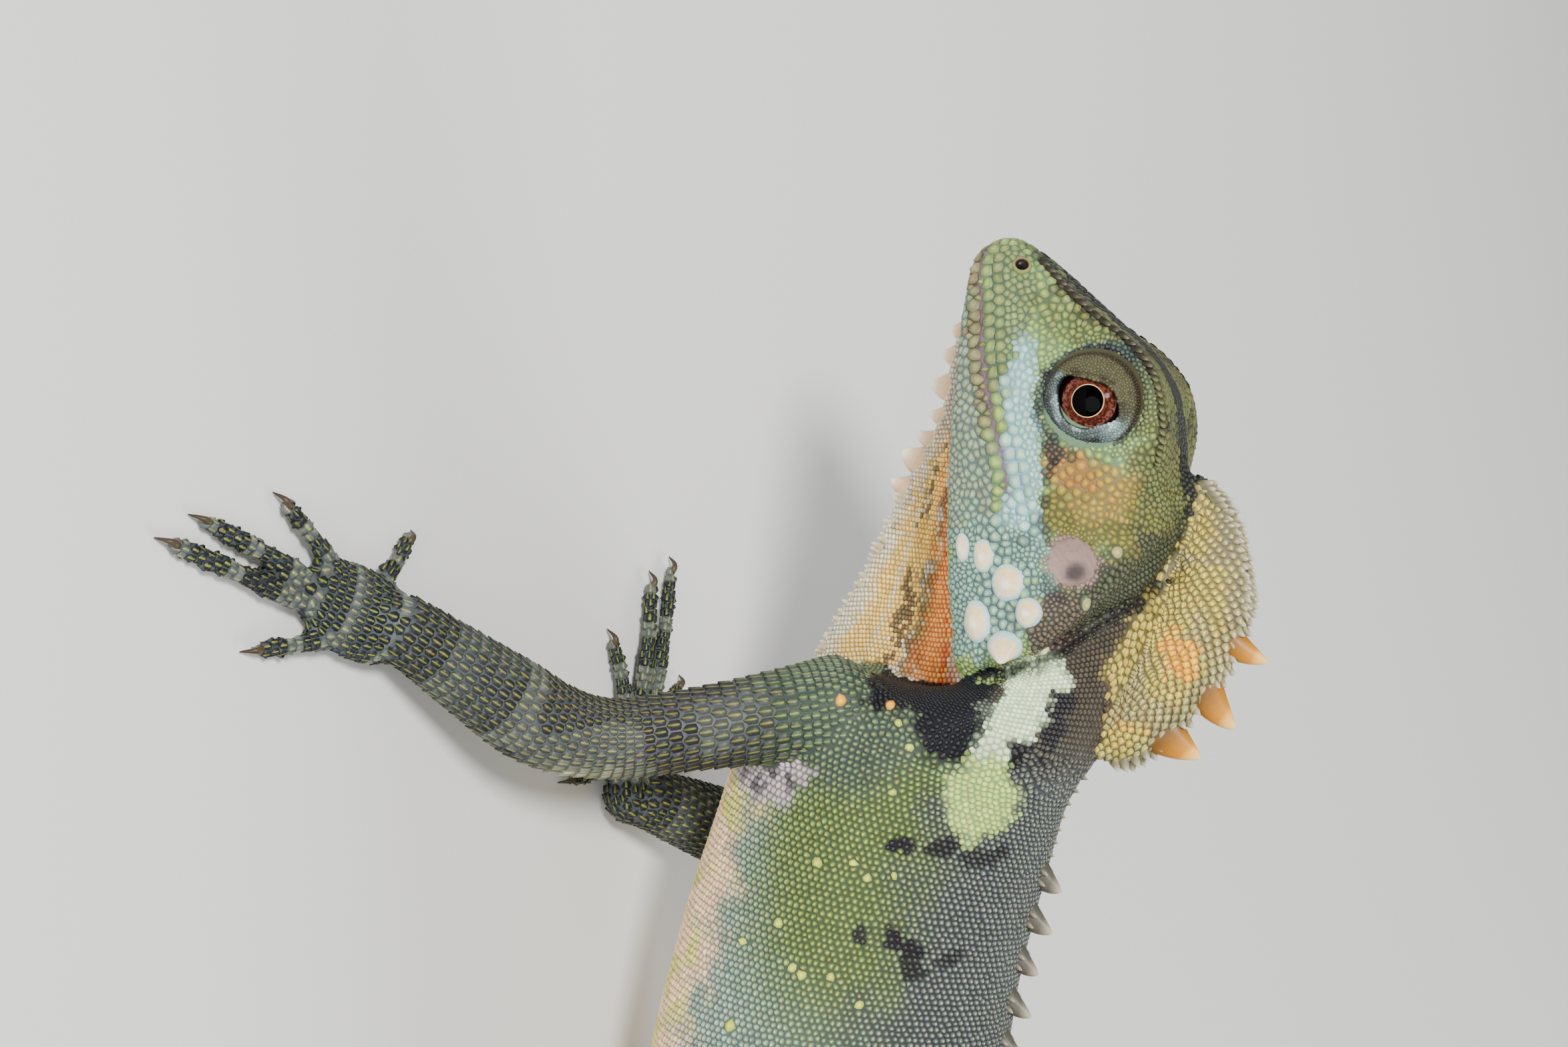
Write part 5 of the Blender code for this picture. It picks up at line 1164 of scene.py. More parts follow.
def crest_colours(x, h):
    """The crest, pale along its edge and with golden patches."""
    colours = fill(len(x), "crest")
    colours = lay(colours, "crest_edge", ramp(0.56, 0.7, noise_flat(x, h, 3.0)) * 0.7)
    rim = h - np.interp(x, *np.transpose(CREST_EDGE))
    colours = lay(colours, "crest_edge", ramp(-2.6, -1.0, rim) * 0.9)
    speckle = ramp(0.35, 0.55, noise_flat(x, h, 1.3))
    for mark in CREST_MARKS:
        colours = lay(colours, mark[0], spot_mask(x, h, mark) * speckle)
    return colours


def limb_colours(points, along, arm):
    """A whole limb, from its root to its wrist or ankle."""
    colours = fill(len(along), "arm" if arm else "tail")
    patch = noise(points, 5.0, 9)
    colours = lay(colours, "band", ramp(0.66, 0.78, patch) * 0.25)
    bands = ramp(0.62, 0.8, 0.5 + 0.5 * np.cos(along * 2 * np.pi * 4.5 + patch * 2)) * ramp(0.55, 0.65, along)
    colours = lay(colours, "band", bands * 0.45)
    colours = lay(colours, "hand", ramp(0.6, 0.75, along) * 0.6)
    below = ramp(-1.0, 1.0, points[:, 0] - np.where(points[:, 1] < 0, 23.5, 38.5))
    colours = lay(colours, "elbow", np.exp(-((along - 0.5) / 0.07)**2) * arm * below)
    return lay(colours, "shoulder" if arm else "green", (1 - ramp(0.10, 0.24, along)) * (1.0 if arm else 0.8))


def paw_colours(points, along):
    """A hand, a foot or a digit, with pale bands."""
    colours = fill(len(along), "hand")
    bands = ramp(0.58, 0.74, 0.5 + 0.5 * np.cos(along * 2 * np.pi * 3.0 + 0.6))
    colours = lay(colours, "band", bands * 0.5)
    return lay(colours, "blotch", ramp(0.62, 0.74, noise(points, 3.0, 12)) * 0.5 * (1 - bands))


def tail_colours(trunk, along, up):
    """The tail with its dark bands, which comes out of the trunk's colours at its root."""
    colours = fill(len(along), "tail")
    bands = ramp(0.45, 0.6, 0.5 + 0.5 * np.cos(along * 2 * np.pi * 14))
    colours = lay(colours, "tail_dark", bands * ramp(0.1, 0.2, along + 0.05))
    colours = lay(colours, "band", (1 - ramp(0.1, 0.25, up)) * 0.6)
    return colours + (trunk - colours) * (1 - ramp(0.01, 0.15, along))[:, None, None]


def colours_at(points, lookup):
    """Gap, body and tip colours at points on the animal, from their chart and place, with painted shade in
    the fold at the head's rear.
    """
    chart, along, around = lookup
    warped = points + 0.9 * np.stack([noise(points, 1.7, seed) - 0.5 for seed in (1, 2, 3)], axis=1)
    x, w, h = body_of(warped)
    up = (1 - np.cos(2 * np.pi * around)) / 2
    names = np.array(CHART_NAMES)[chart]
    colours = body_colours(x, h, up)
    down = np.minimum(around, 1 - around) * 2
    for kind, values in (
            ("head", lambda s: head_colours(x[s], w[s], h[s])),
            ("dewlap", lambda s: dewlap_colours(along[s], down[s], warped[s])),
            ("crest", lambda s: crest_colours(x[s], h[s])),
            ("tail", lambda s: tail_colours(colours[s], along[s], up[s])),
            ("arm_", lambda s: limb_colours(warped[s], along[s], 1)),
            ("leg_", lambda s: limb_colours(warped[s], along[s], 0)),
            ("hand_", lambda s: paw_colours(warped[s], along[s])),
            ("foot_", lambda s: paw_colours(warped[s], along[s]))):
        chosen = np.char.startswith(names, kind)
        if chosen.any():
            colours[chosen] = values(chosen)
    near_head = (names == "neck") & (ear_distance(x, h) < 3.4) & (x < 7.5)
    if near_head.any():
        colours[near_head] = head_colours(x[near_head], w[near_head], h[near_head])
    # Painted shade: the bottom of the fold at the head's rear is darkened
    foldable = np.isin(names, ("head", "neck", "torso", "crest"))
    return lay(colours, "fold", 0.95 * fold_mask(x, w, h) * foldable)


# Scales


def surface_tree(items):
    """One search tree over the faces of several meshes."""
    points = []
    faces = []
    for item in items:
        base = len(points)
        points += [Vector(p) for p in coordinates(item.data)]
        faces += [tuple(v + base for v in face.vertices) for face in item.data.polygons]
    return BVHTree.FromPolygons(points, faces)


def snapped(tree, points):
    """Nearest points on a surface, the normals there, and how far each point moved."""
    hits = [tree.find_nearest(Vector(p)) for p in points]
    places = np.array([hit[0] for hit in hits])
    normals = np.array([hit[1] for hit in hits])
    return places, normals, np.array([hit[3] for hit in hits])


def ring_rows(grid, step_along, step_round, draw, start, stop):
    """Staggered rows of points round a chart, with the size along and round of each."""
    middle = grid.mean(axis=1)
    length = run_along(middle)
    spot = length[-1] * start
    rows = []
    count = 0
    number = 0
    while spot < length[-1] * stop:
        share = spot / length[-1]
        pitch = step_round(share)
        at = np.interp(spot, length, np.arange(len(grid)))
        ring = int(min(at, len(grid) - 2))
        points = grid[ring] + (grid[ring + 1] - grid[ring]) * (at - ring)
        loop = np.vstack([points, points[:1]])
        run = run_along(loop)
        wanted = max(run[-1] / pitch, 5)
        if abs(wanted - count) > 0.06 * wanted + 0.5:
            count = round(wanted)
        turns = (np.arange(count) + 0.5 * (number % 2) + draw.uniform(-0.11, 0.11, count)) / count
        rows.append(np.stack([np.interp(turns % 1.0 * run[-1], run, loop[:, axis]) for axis in range(3)]
                             + [np.full(count, run[-1] / count)], axis=1))
        spot += step_along(share)
        number += 1
    rows = np.vstack(rows)
    return rows[:, :3], rows[:, 3]


def lid_opening(angles):
    """Distance of the lids' edge from the eye's middle, by the angle in degrees."""
    keys = np.array([row[0] for row in LID_OPENING])
    values = np.array([row[1] for row in LID_OPENING])
    keys = np.concatenate([keys[-2:] - 360, keys, keys[:2] + 360])
    values = np.concatenate([values[-2:], values, values[:2]])
    return smooth(keys, values, (np.asarray(angles) + 45.5) % 360 - 45.5)


# Lids: the opening's outline as (degrees from the snout up over the crown, distance from the eye's middle)
LID_OPENING = (
    (-45.5, 3.25), (-22.7, 2.36), (19.0, 1.85), (65.6, 2.4), (97.8, 2.75), (119.0, 3.05),
    (149.9, 2.51), (190.3, 2.56), (232.6, 2.73), (273.4, 2.87), (302.0, 3.31),
)
# distance from the eye's middle, and how far out the lid stands there
LID_PROFILE = ((2.0, 10.95), (2.6, 10.85), (3.1, 10.72), (3.8, 10.4), (4.3, 9.95), (4.7, 9.4), (5.1, 8.7))
LID_END = 5.1
LID_ROUNDS = 160
LID_STEPS = 26


def lid_points(side):
    """The band of skin round one eye, from just behind the lids' edge out to where it sinks in."""
    angles = np.arange(LID_ROUNDS) * 360 / LID_ROUNDS
    opening = lid_opening(angles)
    rows = []
    ball = EYE_DEPTH_W + np.sqrt(np.maximum(EYE_RADIUS**2 - opening**2, 0))
    for step in np.linspace(0, 1, LID_STEPS):
        reach = opening + (LID_END - opening) * step**1.15
        outer = smooth(*np.transpose(LID_PROFILE), reach)
        edge_high = np.minimum(outer, ball + 0.55)
        blend = ramp(0.0, 0.35, step)
        w = edge_high + (outer - edge_high) * blend
        ripples = 0.03 * np.sin(reach * 9.0 + 0.3 * np.sin(np.radians(angles) * 3))
        w = w - 0.42 * (1 - ramp(0.0, 0.07, step)) + ripples
        groove = np.exp(-((reach - opening - 0.62) / 0.16)**2) * 0.10
        w = w - groove
        rows.append(lid_place(angles, reach, w, side))
    inner = lid_place(angles, opening + 0.25, ball - 0.5, side)
    return np.array([inner] + rows)


def lid_place(angles, reach, w, side):
    """Points round the eye, by angle, distance from its middle and height off the body's middle."""
    turn = np.radians(angles)
    return place(EYE_PLACE[0] - reach * np.cos(turn), w * side, EYE_PLACE[1] + reach * np.sin(turn))


def make_lids(material):
    """The skin of the lids round both eyes."""
    lids = []
    for name, side in (("eyelids_left", 1), ("eyelids_right", -1)):
        grid = lid_points(side)
        points = grid.reshape(-1, 3)
        faces = grid_faces(len(grid), LID_ROUNDS)
        if (face_ways(points, faces) @ body_way(side, 0.0)).sum() < 0:
            faces = faces[:, ::-1]
        x, _, h = body_of(points)
        colours = lid_colours(x, h)[:, 1] * 0.75
        # Painted shade: the ring tucked against the eye and the lids' edge row are darkened
        colours[:2 * LID_ROUNDS] *= 0.3
        lids.append(mesh_object(name, points, np.ascontiguousarray(faces), colours, material))
    return lids


def head_pitch(x, w, h, lid):
    """Size of the head's scales by place, in millimetres."""
    lower = mouth_line(x) - h
    reach, _ = eye_polar(x, h)
    zone = head_zone(x, w, h)
    size = np.full(len(x), 0.70)
    size = np.where(lower < 0, np.interp(-lower, [0, 2, 4, 7], [1.15, 1.0, 0.72, 0.72]), size)
    top = h - np.interp(x, *CROWN_LINE)
    size = np.where(top > -2.0, 0.8, size)
    size = np.where((x < -20) & (lower < -2), 0.92, size)
    size = np.where(np.abs(reach - 5.5) < 1.0, 0.45, size)
    size = np.where(np.hypot(x + 3.6, h - 54.6) < 3.4, 1.0, size)
    size = np.where((x > -6) & (h > 57.4), 0.56, size)
    size = np.where((x > -2) & (h > 50.5) & (h < 57.6), 0.62, size)
    size = np.where((x > 0.5) & (h < 50.5), 0.86, size)
    size = np.where((x > 0.5) & (h < 50.5) & ((h < 42.4) | (x > 12.6 - (h - 44) * 0.5)), 0.42, size)
    size = np.where((x > 6) & (h > 49.4), 0.48, size)
    size = np.where((ear_distance(x, h) < 3.4) & (np.abs(w) > EAR_SIDE_W), 0.42, size)
    size = np.where(lower > 3.2, 0.55, size)
    size = np.where(zone == 1, np.interp(lower, [1.5, 3.0, 6.0], [0.72, 0.62, 0.45]), size)
    size = np.where(zone == 2, 0.62, size)
    size = np.where(zone == 3, 0.42, size)
    return np.where(lid, 0.30, size)


# How much longer than wide the scales of each zone of the head are
ZONE_STRETCH = np.array([1.0, 1.75, 1.45, 2.0])


def head_zone(x, w, h):
    """Zone of the head's scales: 1 along the jaw, 2 before the eye, 3 behind the mouth, else 0."""
    lower = mouth_line(x) - h
    reach, _ = eye_polar(x, h)
    flank = np.abs(w) > MARKS_SIDE_W
    zone = np.where((lower > 1.5) & (x < 0.5), 1, 0)
    zone = np.where((lower < -2.4) & (lower > -5.6) & (x < -6.0) & (reach > 6.0) & flank, 2, zone)
    streak = (x > -7.0) & (x < 3.5) & (h > np.maximum(mouth_line(x), 46.4)) & (h < 50.2)
    return np.where(streak & (lower < -2.4 * (x < -1.0)), 3, zone)


def in_bare_place(x, w, h, lid):
    """True where no scale grows: under the lids, in the ear and nostril, and under the jowl plates."""
    reach, angle = eye_polar(x, h)
    flank = np.abs(w) > EYE_SIDE_W
    if lid:
        bare = (reach < lid_opening(angle) + 0.16) | (reach > 4.68)
    else:
        bare = flank & (reach < 4.5)
    bare |= flank & (ear_distance(x, h) < 2.3)
    bare |= np.hypot(x - NOSTRIL_PLACE[0], h - NOSTRIL_PLACE[1]) < 0.75
    for plate_x, plate_h, width, length, _ in JOWL_PLATES:
        bare |= flank & (np.hypot((x - plate_x) / (length * 0.5), (h - plate_h) / (width * 0.5)) < 0.98)
    return bare


# X, h, size across, size along, rise
JOWL_PLATES = (
    (2.3, 42.2, 1.5, 2.9, 0.6), (3.1, 44.4, 2.2, 3.3, 0.7), (5.6, 47.0, 3.5, 3.6, 0.9),
    (8.4, 49.0, 2.7, 3.0, 0.8), (9.4, 43.8, 2.9, 4.2, 1.0), (11.6, 46.7, 3.5, 2.9, 1.8),
    (12.1, 50.0, 1.0, 1.2, 0.3), (7.5, 54.3, 1.1, 1.7, 0.35), (2.7, 57.0, 1.3, 1.4, 0.35),
)


def head_candidates(items, lookup_tree, tables, draw):
    """Random points over the head and lids, denser where scales are smaller."""
    head = CHART_NAMES.index("head")
    found = []
    for item, lid in items:
        points = coordinates(item.data)
        corners = triangle_corners(item.data)
        centres = points[corners].mean(axis=1)
        if not lid:
            near = centres[:, 0] < HEAD_REAR_X
            corners, centres = corners[near], centres[near]
            chosen = tables[0][nearest_in(lookup_tree, centres)] == head
            corners, centres = corners[chosen], centres[chosen]
        area = np.linalg.norm(face_ways(points, corners), axis=1) / 2
        pitch = head_pitch(*body_of(centres), lid)
        counts = draw.poisson(area * HEAD_TRIES / pitch**2)
        rows = np.repeat(np.arange(len(corners)), counts)
        s, t = draw.random(len(rows)), draw.random(len(rows))
        over = s + t > 1
        s[over], t[over] = 1 - s[over], 1 - t[over]
        a, b, c = (points[corners[:, k]] for k in range(3))
        spots = a[rows] + (b - a)[rows] * s[:, None] + (c - a)[rows] * t[:, None]
        x, w, h = body_of(spots)
        zone = np.where(lid, 4, head_zone(x, w, h))
        found.append(np.column_stack([spots, pitch[rows], zone])[~in_bare_place(x, w, h, lid)])
    return np.vstack(found)


def stretched(points, zone):
    """Points drawn together along the head where scales are long, with every zone far from the others."""
    zone = zone.astype(int)
    shares = np.append(ZONE_STRETCH, 1.0)[zone]
    result = points.copy()
    result[:, 0] = result[:, 0] / shares + 500.0 * (zone % 4)
    return result


def labial_rows():
    """Seeds of the plates along both lips, as points, sizes and a mark for the lower lip."""
    stations = np.linspace(SNOUT_X + 0.3, 0.5, 70)
    seeds = []
    for offset, size in ((0.72, 1.30), (1.85, 1.16), (-0.70, 1.30)):
        for side in (1, -1):
            line = []
            for x in stations:
                half = head_half_ring(x)
                groove = HEAD_LOW_STEPS + 1
                part = half[groove:] if offset > 0 else half[groove::-1]
                run = run_along(part)
                away = abs(offset) + MOUTH_DEPTH * 0.9
                w, h = (np.interp(away, run, part[:, axis]) for axis in range(2))
                line.append(place(x + jaw_sweep(x, h), w * side, h))
            line = np.array(line)
            run = run_along(line)
            marks = np.arange(0.5 + 0.6 * (abs(offset) > 1), run[-1], size * 1.10)
            points = np.stack([np.interp(marks, run, line[:, axis]) for axis in range(3)], axis=1)
            seeds.append(np.column_stack([points, np.full(len(points), size)]))
    return np.vstack(seeds)


def thin_rows(table, draw):
    """Numbers of rows of (x, y, z, pitch) that keep their spacing from each other."""
    tree = tree_of(table[:, :3])
    alive = np.ones(len(table), bool)
    chosen = []
    for number in draw.permutation(len(table)):
        if not alive[number]:
            continue
        chosen.append(number)
        for _, other, _ in tree.find_range(table[number, :3], table[number, 3] * FILL_SPACING):
            alive[other] = False
    return np.array(chosen)


def thin_out(candidates, taken, draw):
    """Choose candidates that keep their spacing from each other and from the seeds already taken."""
    points, pitch = stretched(candidates[:, :3], candidates[:, 4]), candidates[:, 3]
    alive = np.ones(len(points), bool)
    tree = tree_of(candidates[:, :3])
    for seed in taken:
        for _, number, _ in tree.find_range(seed[:3], seed[3] * LIP_SPACING):
            alive[number] = False
    tree = tree_of(points)
    chosen = []
    for number in draw.permutation(len(points)):
        if not alive[number]:
            continue
        chosen.append(number)
        for _, other, _ in tree.find_range(points[number], pitch[number] * HEAD_SPACING):
            alive[other] = False
    return candidates[chosen]


def evened(seeds, fixed, candidates):
    """Move seeds to the middle of the candidates nearest to them."""
    seeds = seeds.copy()
    places = stretched(candidates[:, :3], candidates[:, 4])
    for _ in range(EVEN_ROUNDS):
        tree = tree_of(np.vstack([stretched(seeds[:, :3], seeds[:, 4]), fixed[:, :3]]))
        nearest = nearest_in(tree, places)
        counts = np.maximum(np.bincount(nearest, minlength=len(seeds) + len(fixed)), 1)[:len(seeds)]
        for axis in range(3):
            total = np.bincount(nearest, candidates[:, axis], minlength=len(seeds) + len(fixed))
            seeds[:, axis] = total[:len(seeds)] / counts
    return seeds


def steady(value):
    """A spacing that stays the same along a chart."""
    return lambda share: value


# Spacing of the limbs' scales by the share of the limb's length
LIMB_STEPS_ALONG = ((0.0, 0.12, 0.2, 0.38, 0.48, 0.6, 1.0), (0.75, 0.8, 1.45, 1.5, 0.9, 1.15, 1.15))
LIMB_STEPS_ROUND = ((0.0, 0.12, 0.2, 0.38, 0.48, 0.6, 1.0), (0.8, 0.85, 1.2, 1.2, 0.85, 1.1, 1.1))


def row_table():
    """Charts whose scales stand in rows: name, step along, step round and the part of the chart used."""
    rows = [
        ("torso", lambda s: 0.60 + 0.22 * ramp(0.42, 0.7, s),
         lambda s: 0.68 + 0.26 * ramp(0.42, 0.7, s), 0.0, 1.0),
        ("neck", steady(0.47), steady(0.52), 0.12, 1.0),
        ("tail", lambda s: 0.95 + 0.35 * s, lambda s: 1.05 - 0.2 * s, 0.0, 0.995),
        ("dewlap", steady(0.50), steady(0.46), 0.02, 0.98),
        ("crest", steady(0.80), steady(0.86), 0.02, 0.98),
    ]
    for limb, _, _, paw, _, _, digits, _ in LIMBS:
        arm = limb.startswith("arm")
        growth = 1.0 if arm else 1.1
        rows.append((limb, lambda s, g=growth: g * np.interp(s, *LIMB_STEPS_ALONG),
                     lambda s, g=growth: g * np.interp(s, *LIMB_STEPS_ROUND), 0.06, 0.99))
        rows.append((paw, steady(0.92), steady(0.90), 0.03, 0.97))
        for number in range(len(digits)):
            rows.append((f"{paw}_digit_{number}", steady(0.82), steady(1.0), 0.05, 0.98))
    return rows


def all_seeds(tree, skin, lids, lookup_tree, tables, draw):
    """Every scale's root: place, normal, size and group."""
    groups = []
    items = [(skin, False)] + [(lid, True) for lid in lids]
    candidates = head_candidates(items, lookup_tree, tables, draw)
    lips = labial_rows()
    scattered = thin_out(candidates, lips, draw)
    scattered = evened(scattered, lips, candidates)
    singles = []
    for x, h, size in SINGLE_SCALES:
        for side in (1, -1):
            singles.append((*place(x, 40.0 * side, h), size * 0.78))
    groups.append(("head", lips[:, :3], lips[:, 3]))
    for zone in range(4):
        chosen = scattered[:, 4] == zone
        groups.append(("head", scattered[chosen, :3], scattered[chosen, 3]))
    on_lid = scattered[:, 4] == 4
    groups.append(("lids", scattered[on_lid, :3], scattered[on_lid, 3]))
    inward = [unit(place(x, 0.0, h) - place(x, side, h)) for x, h, _ in SINGLE_SCALES for side in (1, -1)]
    found = [tree.ray_cast(Vector(s[:3]), Vector(way))[0] for s, way in zip(singles, inward)]
    kept = [(np.array(hit), s[3]) for hit, s in zip(found, singles) if hit is not None]
    groups.append(("singles", np.array([p for p, _ in kept]), np.array([size for _, size in kept])))
    for name, along, across, start, stop in row_table():
        points, sizes = ring_rows(CHARTS[name], along, across, draw, start, stop)
        if name == "torso":
            points = points + draw.normal(0.0, 0.055, points.shape)
        groups.append((name, points, sizes))
    return groups


def settled(groups, tree, lookup_tree, tables):
    """Snap the seeds to the skin, drop those off it or too close to earlier ones, and join them."""
    places, normals, sizes, names = [], [], [], []
    for name, points, size in groups:
        spots, ways, moved = snapped(tree, points)
        keep = moved < (1.6 if name in ("head", "lids", "singles") else 1.2)
        keep &= spots[:, 2] > LOWEST_SCALE_Z
        if name not in ("head", "lids", "singles"):
            keep &= tables[0][nearest_in(lookup_tree, spots)] == CHART_NAMES.index(name)
        if name == "neck":
            x, _, h = body_of(spots)
            keep &= h < np.interp(x, *NAPE_EDGE) - 0.3
        if places and name != "lids":
            near = tree_of(np.vstack(places))
            earlier = np.concatenate(sizes)
            for number in np.nonzero(keep)[0]:
                _, other, gap = near.find(spots[number])
                keep[number] = gap > GROUP_SPACING * (size[number] + earlier[other])
        places.append(spots[keep])
        normals.append(ways[keep])
        sizes.append(size[keep])
        names += [name] * int(keep.sum())
    return np.vstack(places), np.vstack(normals), np.concatenate(sizes), np.array(names)


def bare_spots(skin, places, sizes, draw):
    """Random spots of the skin that no scale covers: place, normal, gap and nearest scale."""
    points = coordinates(skin.data)
    ways = normals_of(skin.data)
    corners = triangle_corners(skin.data)
    area = np.linalg.norm(face_ways(points, corners), axis=1) / 2
    counts = draw.poisson(area * FILL_TRIES / FILL_SIZE**2)
    rows = np.repeat(np.arange(len(corners)), counts)
    mix = draw.dirichlet((1.0, 1.0, 1.0), len(rows))
    spots = np.einsum("nk,nkc->nc", mix, points[corners[rows]])
    ways = unit(np.einsum("nk,nkc->nc", mix, ways[corners[rows]]))
    near = tree_of(places)
    found = [near.find(p) for p in spots]
    gap = np.array([hit[2] for hit in found])
    nearest = np.array([hit[1] for hit in found])
    bare = gap > 0.62 * sizes[nearest]
    return spots[bare], ways[bare], gap[bare], nearest[bare]


def filled(skin, placed, lookup_tree, tables, draw):
    """Add scales wherever the skin is still bare, such as over joints and along the nape."""
    places, normals, sizes, names = placed
    spots, ways, gap, nearest = bare_spots(skin, places, sizes, draw)
    x, w, h = body_of(spots)
    kinds = np.array(CHART_NAMES)[tables[0][nearest_in(lookup_tree, spots)]]
    on_head = kinds == "head"
    pitch = np.where(on_head, head_pitch(x, w, h, False), np.clip(sizes[nearest], 0.45, 1.2))
    nape = (kinds == "neck") & (h > np.interp(x, *NAPE_EDGE) - 0.6)
    pitch = np.where(nape, 0.8, pitch)
    close_to_head = on_head | ((kinds == "neck") & (x < 8.0))
    hidden = close_to_head & in_bare_place(x, w, h, False)
    keep = (gap > 0.48 * (pitch + sizes[nearest])) & ~hidden & (spots[:, 2] > LOWEST_SCALE_Z)
    table = np.column_stack([spots, pitch])[keep]
    chosen = thin_rows(table, draw)
    label = np.where(nape[keep][chosen], "crest", kinds[keep][chosen])
    return (np.vstack([places, table[chosen, :3]]), np.vstack([normals, ways[keep][chosen]]),
            np.concatenate([sizes, table[chosen, 3]]), np.concatenate([names, label]))


def triangle_corners(mesh):
    """A mesh's triangles as vertex numbers."""
    mesh.calc_loop_triangles()
    corners = np.empty(len(mesh.loop_triangles) * 3, np.int32)
    mesh.loop_triangles.foreach_get("vertices", corners)
    return corners.reshape(-1, 3)


def wall_points():
    """Points along the line of the lips, where scales stop."""
    walls = []
    for side in (1, -1):
        for x in np.linspace(SNOUT_X + 0.1, MOUTH_END_X, 110):
            half = head_half_ring(x)[HEAD_LOW_STEPS + 1]
            walls.append(place(x + jaw_sweep(x, half[1]), (half[0] + MOUTH_DEPTH) * side, half[1]))
    return np.array(walls)


def scale_outline(places, normals, lies, sizes, stretch, walls):
    """Reach of each scale in a fan of directions, up to halfway to its neighbours on the same side."""
    count = len(places)
    around = unit(np.cross(normals, lies))
    ahead = np.cross(around, normals)
    everything = np.vstack([places, walls])
    weights = np.concatenate([sizes, np.full(len(walls), 0.05)])
    ways = np.vstack([normals, np.zeros_like(walls)])
    tree = tree_of(everything)
    neighbours = np.array([[hit[1] for hit in tree.find_n(p, NEIGHBOURS)][1:] for p in places])
    apart = everything[neighbours] - places[:, None]
    away = (np.einsum("nkc,nc->nk", ways[neighbours], normals) < 0.3) & (neighbours < count)
    a = np.einsum("nkc,nc->nk", apart, ahead)
    b = np.einsum("nkc,nc->nk", apart, around)
    distance = np.where(away, 9.0, np.linalg.norm(apart, axis=2))
    bearing = np.arctan2(b, a)
    share = sizes[:, None] / (sizes[:, None] + weights[neighbours])
    angles = turns_of(SCALE_SIDES)
    facing = np.cos(angles[None, None, :] - bearing[:, :, None])
    halfway = distance[:, :, None] * share[:, :, None] / np.maximum(facing, 0.15)
    reach = np.where(facing > 0.15, halfway, 9.0)
    limit = 0.74 * sizes[:, None] * (1 + (stretch[:, None] - 1) * np.abs(np.cos(angles))[None])
    return np.minimum(reach.min(axis=1), limit), ahead, around


# Shape of a scale by kind: shoulder's share of the reach, its rise, the keel's rise in front and at
# the rear, tilt, the keel's reach in front and at the rear, how far the rear end overlaps, and
# the tip tone's value away from the keel, which makes its streak broad or thin
SCALE_FORMS = {
    "granule": (0.78, 0.16, 0.27, 0.27, 0.05, 0.10, 0.20, 1.0, 0.5),
    "bead": (0.84, 0.18, 0.26, 0.26, 0.02, 0.12, 0.16, 1.0, 0.5),
    "plate": (0.88, 0.10, 0.16, 0.16, 0.02, 0.20, 0.20, 1.0, 0.5),
    "keeled": (0.80, 0.10, 0.17, 0.30, 0.16, 0.46, 0.86, 1.22, 0.0),
    "spiky": (0.78, 0.16, 0.28, 0.46, 0.16, 0.10, 0.62, 1.10, 0.3),
    "scute": (0.84, 0.12, 0.19, 0.26, 0.08, 0.52, 0.90, 1.14, 0.0),
    "soft": (0.82, 0.12, 0.19, 0.19, 0.02, 0.10, 0.12, 1.0, 0.5),
}


FORM_OF = {"lids": "soft", "torso": "granule", "singles": "granule", "neck": "soft", "dewlap": "bead"}


def form_of(name, x, h):
    """Kind of a scale by its group and place."""
    if name == "head":
        return "bead" if x > 0.5 and h < 50.5 else "plate"
    if name == "crest":
        return "keeled" if h < 64.0 else "spiky"
    if "digit" in name:
        return "scute"
    return FORM_OF.get(name, "keeled")


def scale_pattern():
    """Triangles of one scale: its sides, and a cap that rises to a short keel of two points."""
    spots = np.arange(SCALE_SIDES)
    after = (spots + 1) % SCALE_SIDES
    front, rear = 2 * SCALE_SIDES, 2 * SCALE_SIDES + 1
    sides = np.vstack([np.stack([spots, after, SCALE_SIDES + after], axis=1),
                       np.stack([spots, SCALE_SIDES + after, SCALE_SIDES + spots], axis=1)])
    quarter = SCALE_SIDES // 4
    near_front = (spots >= quarter) & (spots < 3 * quarter)
    cap = np.stack([SCALE_SIDES + spots, SCALE_SIDES + after, np.where(near_front, front, rear)], axis=1)
    keel = [(SCALE_SIDES + quarter, front, rear), (SCALE_SIDES + 3 * quarter, rear, front)]
    return np.vstack([sides, cap, keel])


